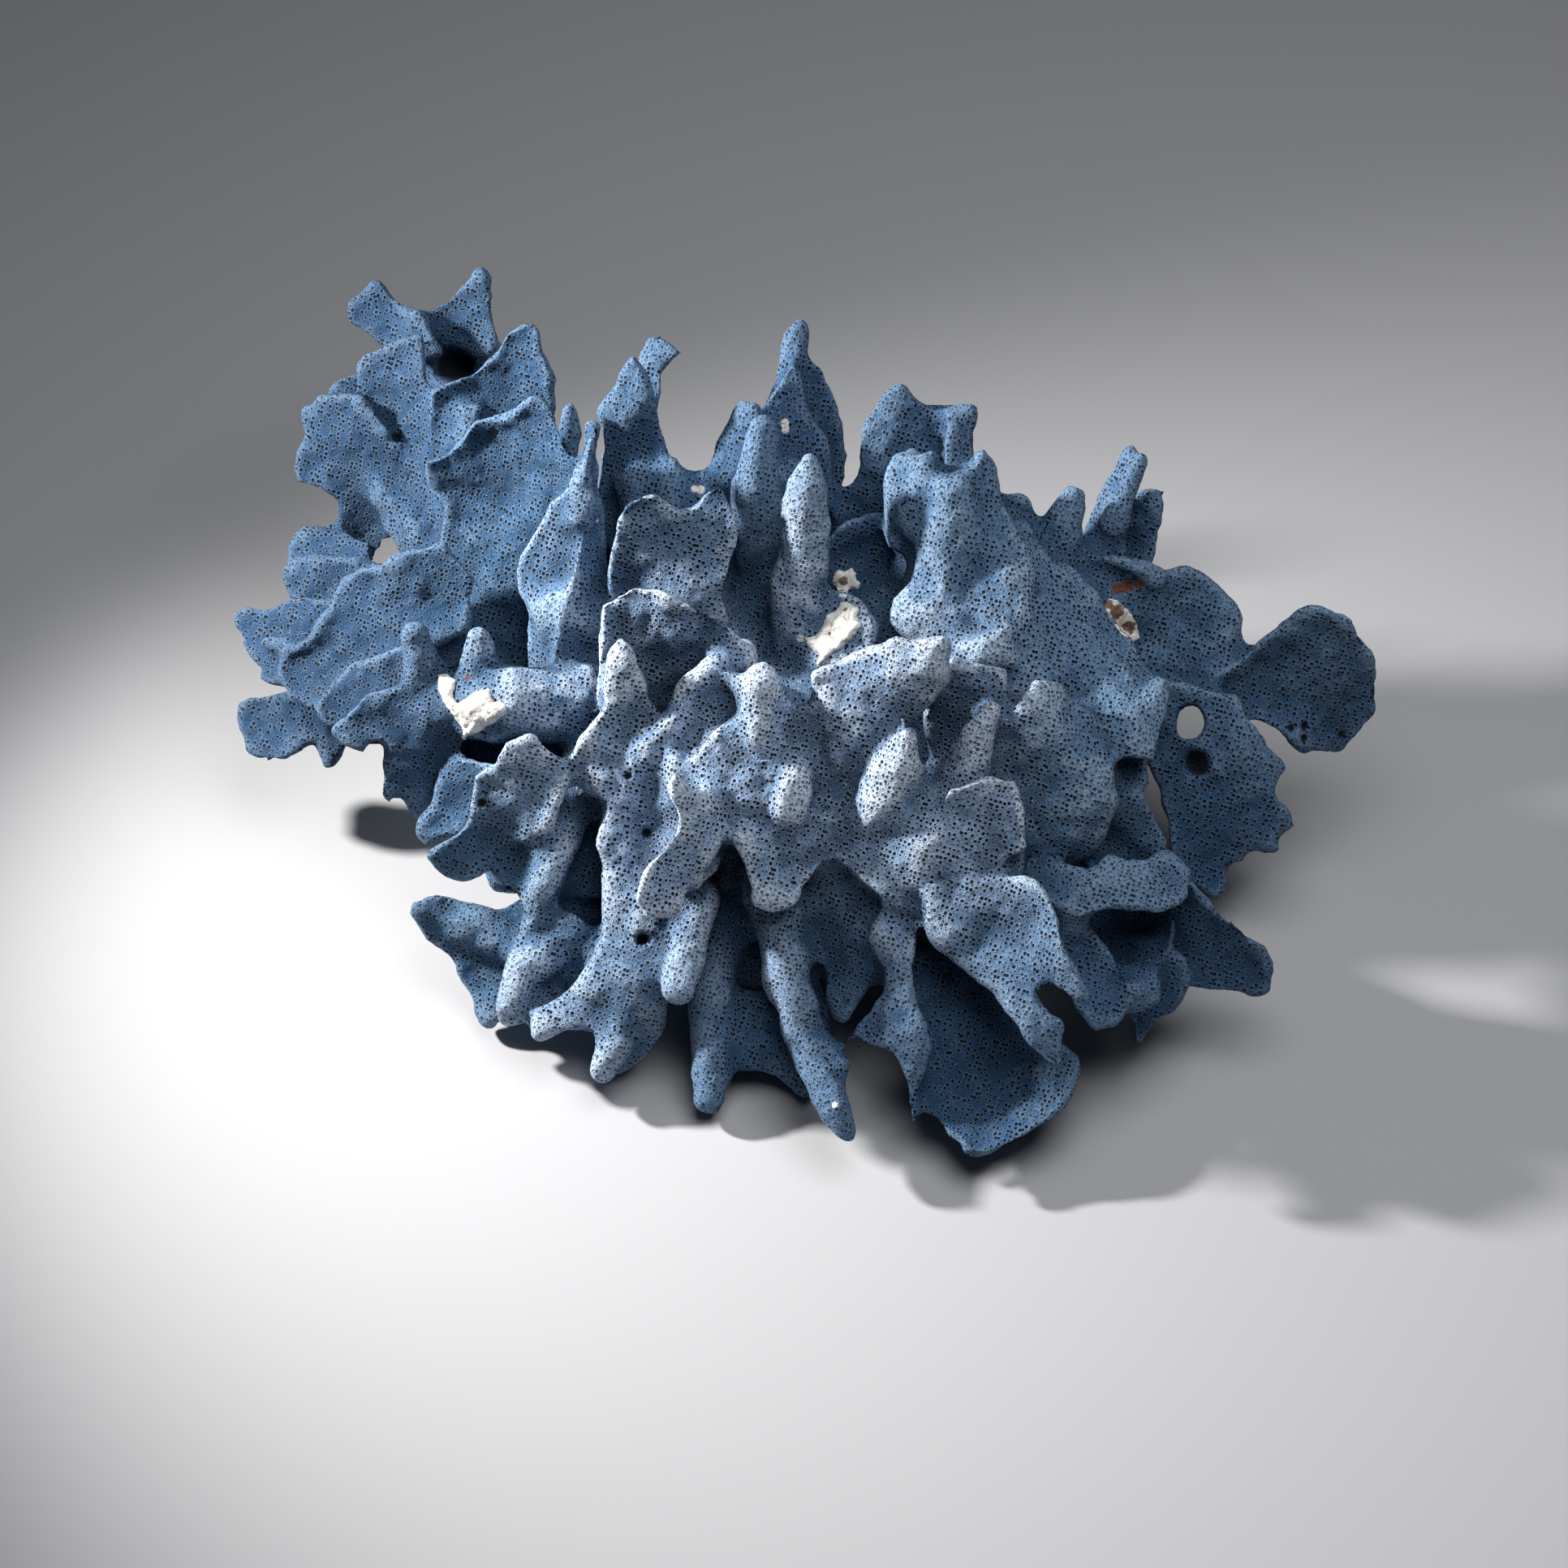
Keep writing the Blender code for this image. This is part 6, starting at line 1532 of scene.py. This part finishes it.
def dress_skeleton(wires, shader, colours):
    """Dry blue skeleton: saturated blue to slate, pale worn ridges, painted shade in its hollows, pricked by
    fine pores.
    """
    place = wires.object_place()
    grain = wires.group("coral_grain", lay_grain)
    pores = wires.group("coral_pores", lay_pores)
    across = wires.node("ShaderNodeSeparateXYZ")
    wires.join(place, across.inputs["Vector"])
    x, y, z = across.outputs
    patch = wires.noise("patch", place)
    shift = wires.times(patch, PATCH_SHIFT)
    lift = wires.times(patch, PATCH_LIFT)
    reaches = []
    for pale_place, pale_reach in PALE_AND_LIT_PARTS:
        inward = wires.vector("DIVIDE", wires.vector("SUBTRACT", place, pale_place), pale_reach)
        reaches.append(wires.vector("LENGTH", inward))
    # The middle is painted paler, partly a dustier tone and partly a painted pool of light; there the worn
    # ridges are paler and the painted shade is eased.
    middle = wires.step("middle", wires.plus(wires.maths("MINIMUM", *reaches), shift))
    # Painted shade, partly the coral's own deeper blue: the low parts near the floor, the back and the far
    # left darken toward deep blue.
    low = wires.times(wires.step("low", wires.plus(z, lift)), wires.step("low_at_right", x))
    low = wires.maths("MAXIMUM", low, wires.step("far_left", x))
    back = wires.step("back", wires.plus(y, lift))
    sunk = wires.times(wires.maths("MAXIMUM", low, back), wires.step("sunk_in_middle", middle))
    dust = wires.times(wires.step("dust", wires.noise("dusty", place)), wires.step("dust_in_middle", middle))
    edge = wires.plus(wires.times(wires.field("ridge"), NEAR_RIDGE_SHARE), wires.field("broad_ridge"))
    worn = wires.plus(edge, wires.times(wires.minus(grain["Mottle"], 0.5), MOTTLE_WEAR))
    bleached = wires.mix(middle, colours.frost[:], colours.worn[:])
    layers = [
        (wires.step("slate", wires.plus(wires.step("rightward", x), shift)), colours.slate[:]),
        (sunk, colours.deep_blue_and_shade[:]),
        (dust, colours.pale[:]),
        (wires.times(wires.step("rubbed", worn), wires.step("rubbed_where_sunk", sunk)), bleached),
        # Painted shade in hollows that other coral hides from the light, and in creases.
        (wires.step("hollow", wires.field("openness")), colours.hollow[:]),
        (wires.step("crease", edge), colours.hollow[:]),
        (wires.times(grain["Specks"], SPECK_SHARE), bleached),
        (wires.times(grain["Net"], NET_SHARE), colours.hollow[:]),
        # Painted shade on the far left.
        (wires.step("left_shade", x), colours.shade_navy[:]),
        (wires.step("sandy", grain["Height"]), colours.hollow[:]),
        (wires.times(pores["Rim"], RIM_SHARE), bleached),
        # Painted shade inside the pore mouths and in the sunk pits.
        (wires.times(pores["Mask"], wires.step("worn_mouth", worn)), colours.shade_navy[:]),
        (wires.step("pit", wires.field("pit")), colours.shade_navy[:]),
        (wires.step("rust", wires.field("rust")), colours.rust[:]),
        (wires.step("lime", wires.field("lime")), colours.crust[:]),
    ]
    ground = colours.blue[:]
    for share, paint in layers:
        ground = wires.mix(share, ground, paint)
    wires.join(ground, shader.inputs["Base Color"])
    wires.join(wires.step("roughness", grain["Mottle"]), shader.inputs["Roughness"])
    shader.inputs["Specular IOR Level"].default_value = SKIN_SHINE
    height = wires.plus(pores["Height"], wires.times(grain["Height"], GRAIN_BUMP))
    wires.join(wires.bump(height, *SKIN_BUMP), shader.inputs["Normal"])


def dress_crust(wires, shader, colours):
    """Chalky lime crust, off-white with brown cracks and stains."""
    place = wires.object_place()
    grain = wires.group("coral_grain", lay_grain)
    ragged = wires.times(wires.minus(wires.noise("ragged", place), 0.5), RAGGED_SHIFT)
    stained = wires.times(wires.field("stained"), wires.plus(ragged, 1.0))
    layers = [
        (wires.step("stain", wires.noise("stain", place)), colours.stain[:]),
        (wires.step("stained", stained), colours.rust[:]),
        (wires.step("crack", wires.cell_edges(CRACK_SIZE, place)), colours.stain[:]),
        (wires.step("crust_mottle", grain["Mottle"]), colours.worn[:]),
    ]
    ground = colours.crust[:]
    for share, paint in layers:
        ground = wires.mix(share, ground, paint)
    wires.join(ground, shader.inputs["Base Color"])
    shader.inputs["Roughness"].default_value = CRUST_ROUGHNESS
    wires.join(wires.bump(grain["Height"], *CRUST_BUMP), shader.inputs["Normal"])


def dress_floor(wires, shader, colours):
    """A plain pale floor."""
    wires.put(colours.floor[:], shader.inputs["Base Color"])
    wires.put(FLOOR_ROUGHNESS, shader.inputs["Roughness"])


def dressed_material(name, dress, colours):
    """A material by its name, dressed when it's first asked for."""
    made = bpy.data.materials.get(name)
    if made is None:
        made = bpy.data.materials.new(name)
        made.use_nodes = True
        dress(Wiring(made.node_tree), made.node_tree.nodes["Principled BSDF"], colours)
    return made


# The lime crusts: patches, each drawn as its outline and its thickness.
CRUSTS = {
    "left_scar_crust": [
        ([(-85.5, 27), (-82.9, 27.3), (-80.6, 25.6), (-81.4, 22.1), (-80.6, 19.8), (-77.4, 22.1),
          (-74.8, 23.3), (-72.5, 23.8), (-71.6, 20.7), (-68.4, 19.8), (-68.2, 17.5), (-70.8, 15.2),
          (-74.8, 12.9), (-79.7, 10.3), (-79.4, 13.5), (-81.1, 16.3), (-84, 19.8), (-85.5, 23.8)], 1.6),
    ],
    "centre_crust": [
        ([(13, 53.3), (15, 52.6), (16.8, 53.4), (18.1, 52), (17.9, 50.3), (19.3, 49.4), (18.4, 47.6),
          (16.6, 48.2), (15.5, 45.8), (13.2, 45.9), (12.8, 48.1), (11.4, 49.8), (12.2, 51.4)], 1.3),
        ([(14.2, 45.2), (16.4, 44.6), (18.9, 43.4), (18, 41.2), (19.4, 39.6), (18.2, 37.6), (16.4, 35.2),
          (14.2, 33.4), (11.5, 31.6), (8.6, 28.6), (7.6, 29.6), (8.8, 31.8), (5.6, 33.8), (4.9, 36.2),
          (7.6, 36.4), (9.2, 38.6), (10.4, 41.8), (12.4, 42.6)], 1.7),
    ],
    "right_shoulder_crust": [
        ([(78.5, 43.5), (80, 46.3), (82, 45.5), (85, 43), (87, 40), (88, 35.5), (86, 34.8), (83, 37),
          (79.5, 41.5)], 1.5),
    ],
}

# Brown patches in the crusts, each a drawn place and a radius.
CRUST_STAINS = {
    "left_scar_crust": [(-78.6, 25.6, 1.0), (-79.6, 22.6, 1.2)],
    "centre_crust": [(14.7, 50, 1.1), (15, 43, 0.5), (11.2, 37, 0.5)],
    "right_shoulder_crust": [(82, 42.2, 2.4), (84.8, 38.5, 2.0), (80, 44.4, 1.2)],
}

# A crust's squares before it is fused, how far it is sunk into the coral, and how wide its thin edge is.
CRUST_SQUARE = 0.7
CRUST_SINK = 1.4
CRUST_EDGE = 1.4

# The pieces that each crust lies on.
CRUST_CARRIERS = {
    "left_scar_crust": ("left_arm",),
    "centre_crust": ("trunk", "centre_saddle", "centre_right", "back_spires", "back_right_crest"),
    "right_shoulder_crust": ("right_shoulder", "right_fan", "centre_right"),
}


def patch_mesh(outline, thick, tree):
    """A patch that lies on the coral behind its drawn outline."""
    mesh = mesh_of_curve(outline_curve(outline, (), 1.0))
    cut_in_squares(mesh, CRUST_SQUARE)
    toward_viewer = (drawn(0, 0, 1) - drawn(0, 0, 0)).normalized()
    found = [seen_point(tree, vertex.co.x, vertex.co.y) for vertex in mesh.vertices]
    hits = [place for place in found if place is not None]
    middle = sum(hits, Vector()) / len(hits)
    for vertex, place in zip(mesh.vertices, found):
        a, b, off = vertex.co
        place = middle if place is None else place
        swell = min(1.0, edge_distance(a, b, outline) / CRUST_EDGE)
        lift = thick * math.sqrt(swell) if off > 0 else -CRUST_SINK
        vertex.co = place + toward_viewer * lift * MM
    return mesh


def build_crust(node, context):
    """Lays a crust's patches on its carriers, fuses them and gives them lumps and stains."""
    sizes = context.scene.coral_sizes
    carriers = tree_of(bpy.data.objects[name + "_skeleton"].data for name in CRUST_CARRIERS[node])
    patches = [patch_mesh(outline, thick, carriers) for outline, thick in CRUSTS[node]]
    thing = added(node + "_lime", joined(node + "_draft", patches))
    remeshed(thing, "fuse", sizes.crust_grain)
    lumps = cloud_texture("crust_lumps", sizes.crust_lump, CRUST_LAYERS, True)
    displaced(thing, lumps, sizes.crust_lump_height)
    finished(thing)
    hold_inside(thing)
    write_spots(thing.data, tree_of([thing.data]), "stained", CRUST_STAINS[node])
    finish = dressed_material("chalky_lime", dress_crust, context.scene.coral_colours)
    settle(thing, node, finish)


def placed_light(name, light, place, aim, power, tint):
    """A light at a place in metres, turned to its aim."""
    light.energy = power
    light.color = tint
    lamp = added(name, light)
    lamp.location = place
    lamp.rotation_euler = (Vector(aim) - Vector(place)).to_track_quat("-Z", "Y").to_euler()


def build_lights(studio):
    """A low spot near the left whose pool of light fades outward, a broad light above and an even sky."""
    key = bpy.data.lights.new("key_light", "SPOT")
    key.spot_size = studio.key_spread
    key.spot_blend = 1.0
    key.shadow_soft_size = KEY_SOFTNESS
    placed_light("key_light", key, KEY_PLACE, KEY_AIM, studio.key_power, KEY_TINT)
    fill = bpy.data.lights.new("fill_light", "AREA")
    fill.shape = "DISK"
    fill.size = FILL_WIDTH
    placed_light("fill_light", fill, FILL_PLACE, FILL_AIM, studio.fill_power, FILL_TINT)
    world = bpy.data.worlds.new("studio_sky")
    world.use_nodes = True
    even = world.node_tree.nodes["Background"]
    even.inputs["Color"].default_value = SKY_TINT
    even.inputs["Strength"].default_value = studio.sky_level
    bpy.context.scene.world = world


def build_camera(context):
    """The photograph's view: straight from the front, from 45 degrees above."""
    camera = bpy.data.cameras.new("photo_camera")
    camera.sensor_width = SENSOR_WIDTH
    camera.sensor_fit = "HORIZONTAL"
    camera.lens = SENSOR_WIDTH * VIEW_DISTANCE / PHOTO_WIDTH
    camera.clip_end = CAMERA_REACH
    holder = added("photo_camera", camera)
    holder.location = drawn(0, 0, VIEW_DISTANCE)
    holder.rotation_euler = (VIEW_SLANT, 0, 0)
    context.scene.camera = holder


def build_floor(colours):
    mesh = bpy.data.meshes.new("studio_floor")
    work = bmesh.new()
    bmesh.ops.create_grid(work, x_segments=1, y_segments=1, size=FLOOR_HALF)
    work.to_mesh(mesh)
    work.free()
    mesh.materials.append(dressed_material("studio_floor", dress_floor, colours))
    added("studio_floor", mesh)


def millimetres(label, text, value, least=0.0):
    """A size in millimetres that a user can change."""
    return FloatProperty(name=label, description=text + ", mm", default=value, min=least)


class CoralSizes(bpy.types.PropertyGroup):
    """The sizes of the coral's skin and its crusts, in millimetres."""

    skin_grain: millimetres("Skin grain", "Side of the squares of the skin", 1.05, 0.5)
    crotch_fill: millimetres("Crotch fill", "Roundness where branches meet", 1.2)
    soften_rounds: IntProperty(name="Softening", description="Rounds that soften the joins", default=5,
                               min=0)
    lump_size: millimetres("Lump size", "Width of the broad lumps", 14.0, 1.0)
    lump_height: millimetres("Lump height", "Height of the broad lumps", 3.0)
    fold_size: millimetres("Fold size", "Width of the small folds", 6.0, 1.0)
    fold_height: millimetres("Fold height", "Height of the small folds", 1.6)
    bump_size: millimetres("Bump size", "Width of the finest bumps", 2.4, 0.5)
    bump_height: millimetres("Bump height", "Height of the finest bumps", 0.5)
    crust_grain: millimetres("Crust grain", "Side of the squares of a crust", 0.5, 0.2)
    crust_lump: millimetres("Crust lump size", "Width of the lumps of a crust", 2.2, 0.5)
    crust_lump_height: millimetres("Crust lump height", "Height of the lumps of a crust", 0.7)


def colour(label, text, red, green, blue):
    """A colour that a user can change."""
    return FloatVectorProperty(name=label, description=text, subtype="COLOR", size=4, min=0.0, max=1.0,
                               default=(red, green, blue, 1.0))


class CoralColours(bpy.types.PropertyGroup):
    """The colours of the coral, its crusts and the floor."""

    blue: colour("Blue", "The clear blue of the left side", 0.040, 0.122, 0.232)
    slate: colour("Slate", "The greyer blue of the middle and the right", 0.115, 0.215, 0.355)
    # Pale is painted on the middle: partly a dustier tone, partly a painted pool of light.
    pale: colour("Pale", "Dusty pale blue of the middle", 0.36, 0.50, 0.74)
    worn: colour("Worn", "Pale lavender of worn ridges and tips", 0.68, 0.78, 0.93)
    # Deep is painted on the low, back and far left parts: partly the coral's deeper blue, partly painted
    # shade.
    deep_blue_and_shade: colour("Deep", "Saturated deep blue of the low branches", 0.010, 0.062, 0.160)
    frost: colour("Frost", "Pale blue of the outer ridges", 0.27, 0.40, 0.57)
    # This colour is painted shade in hollows and creases, and the dark of the grain's net and sand.
    hollow: colour("Hollow", "Deep blue of creases and hollows", 0.008, 0.040, 0.095)
    # This colour is painted shade inside the pores and pits and on the far left.
    shade_navy: colour("Pore", "Navy black inside the pores", 0.001, 0.004, 0.010)
    crust: colour("Crust", "Chalky white of the lime crusts", 0.86, 0.83, 0.76)
    rust: colour("Rust", "Rusty brown marks", 0.14, 0.045, 0.016)
    stain: colour("Stain", "Brown of the cracks and stains in the crusts", 0.22, 0.11, 0.05)
    floor: colour("Floor", "The pale studio floor", 0.475, 0.475, 0.49)


class CoralStudio(bpy.types.PropertyGroup):
    """The studio's lights."""

    key_power: FloatProperty(name="Key light", description="Power of the spot, W", default=25.0, min=0.0)
    key_spread: FloatProperty(name="Key spread", description="Width of the spot's beam",
                              default=math.radians(76), subtype="ANGLE")
    fill_power: FloatProperty(name="Fill light", description="Power of the light above, W", default=3.4,
                              min=0.0)
    sky_level: FloatProperty(name="Sky level", description="Strength of the light all round", default=0.015,
                             min=0.0)


class CoralOperator:
    """What the makers of the branches share."""

    bl_options = {"REGISTER", "UNDO"}
    nodes = ()

    def execute(self, context):
        for node in self.nodes:
            finish_branch(node, context)
        return {"FINISHED"}


class CORAL_OT_skin(bpy.types.Operator):
    """Grows all the drawn shapes together into one skin, and parts it into the trunk and the branches"""

    bl_idname = "coral.skin"
    bl_label = "Skin"
    bl_options = {"REGISTER", "UNDO"}

    def execute(self, context):
        part_into_branches(grown_skin(context.scene.coral_sizes), context)
        return {"FINISHED"}


class CORAL_OT_trunk(CoralOperator, bpy.types.Operator):
    """Models the low trunk that every branch forks from, cut off flat below"""

    bl_idname = "coral.trunk"
    bl_label = "Trunk"
    nodes = ("trunk",)


class CORAL_OT_front(CoralOperator, bpy.types.Operator):
    """Models the stem, lobes, fingers and skirts that hang over the front"""

    bl_idname = "coral.front"
    bl_label = "Front branches"
    nodes = ("front_left_stem", "front_left_lobes", "front_centre", "front_right")


class CORAL_OT_middle(CoralOperator, bpy.types.Operator):
    """Models the curled saddle and the wings in the middle"""

    bl_idname = "coral.middle"
    bl_label = "Middle branches"
    nodes = ("centre_saddle", "centre_right", "left_crest")


class CORAL_OT_left(CoralOperator, bpy.types.Operator):
    """Models the arm, the plate, the fans and the tiers of the left side"""

    bl_idname = "coral.left"
    bl_label = "Left branches"
    nodes = ("left_arm", "left_plate", "left_fan", "left_tiers", "back_left_fan")


class CORAL_OT_back(CoralOperator, bpy.types.Operator):
    """Models the spires and the crest at the back of the middle"""

    bl_idname = "coral.back"
    bl_label = "Back branches"
    nodes = ("back_spires", "back_right_crest")


class CORAL_OT_right(CoralOperator, bpy.types.Operator):
    """Models the shoulder, the fans and the shelves of the right side"""

    bl_idname = "coral.right"
    bl_label = "Right branches"
    nodes = ("right_shoulder", "right_fan", "right_low")


class CORAL_OT_hidden(CoralOperator, bpy.types.Operator):
    """Models the branches on the sides that the photograph hides"""

    bl_idname = "coral.hidden"
    bl_label = "Hidden branches"
    nodes = tuple(REAR_BRANCHES)


class CORAL_OT_crusts(bpy.types.Operator):
    """Models the white lime crusts that lie on the coral"""

    bl_idname = "coral.crusts"
    bl_label = "White crusts"
    bl_options = {"REGISTER", "UNDO"}

    def execute(self, context):
        for node in CRUSTS:
            build_crust(node, context)
        return {"FINISHED"}


class CORAL_OT_stage(bpy.types.Operator):
    """Sets up the pale floor, the soft light and the camera"""

    bl_idname = "coral.stage"
    bl_label = "Stage"
    bl_options = {"REGISTER", "UNDO"}

    def execute(self, context):
        build_camera(context)
        build_floor(context.scene.coral_colours)
        build_lights(context.scene.coral_studio)
        context.scene.view_settings.view_transform = "Standard"
        return {"FINISHED"}


OPERATORS = (CORAL_OT_skin, CORAL_OT_trunk, CORAL_OT_front, CORAL_OT_middle, CORAL_OT_left,
             CORAL_OT_back, CORAL_OT_right, CORAL_OT_hidden, CORAL_OT_crusts, CORAL_OT_stage)
GROUPS = {"coral_sizes": CoralSizes, "coral_colours": CoralColours, "coral_studio": CoralStudio}


class CORAL_PT_panel(bpy.types.Panel):
    """Lists the makers of the coral's pieces"""

    bl_label = "Blue ridge coral"
    bl_idname = "CORAL_PT_panel"
    bl_space_type = "VIEW_3D"
    bl_region_type = "UI"
    bl_category = "Coral"

    def draw(self, context):
        for operator in OPERATORS:
            self.layout.operator(operator.bl_idname)
        for group, kind in GROUPS.items():
            box = self.layout.box()
            for name in kind.__annotations__:
                box.prop(getattr(context.scene, group), name)


def register():
    for group, kind in GROUPS.items():
        bpy.utils.register_class(kind)
        setattr(bpy.types.Scene, group, PointerProperty(type=kind))
    for kind in OPERATORS + (CORAL_PT_panel,):
        bpy.utils.register_class(kind)


def unregister():
    for kind in reversed(OPERATORS + (CORAL_PT_panel,)):
        bpy.utils.unregister_class(kind)
    for group, kind in reversed(GROUPS.items()):
        delattr(bpy.types.Scene, group)
        bpy.utils.unregister_class(kind)


def main():
    register()
    bpy.ops.coral.skin()
    bpy.ops.coral.trunk()
    bpy.ops.coral.front()
    bpy.ops.coral.middle()
    bpy.ops.coral.left()
    bpy.ops.coral.back()
    bpy.ops.coral.right()
    bpy.ops.coral.hidden()
    bpy.ops.coral.crusts()
    bpy.ops.coral.stage()


if __name__ == "__main__":
    main()
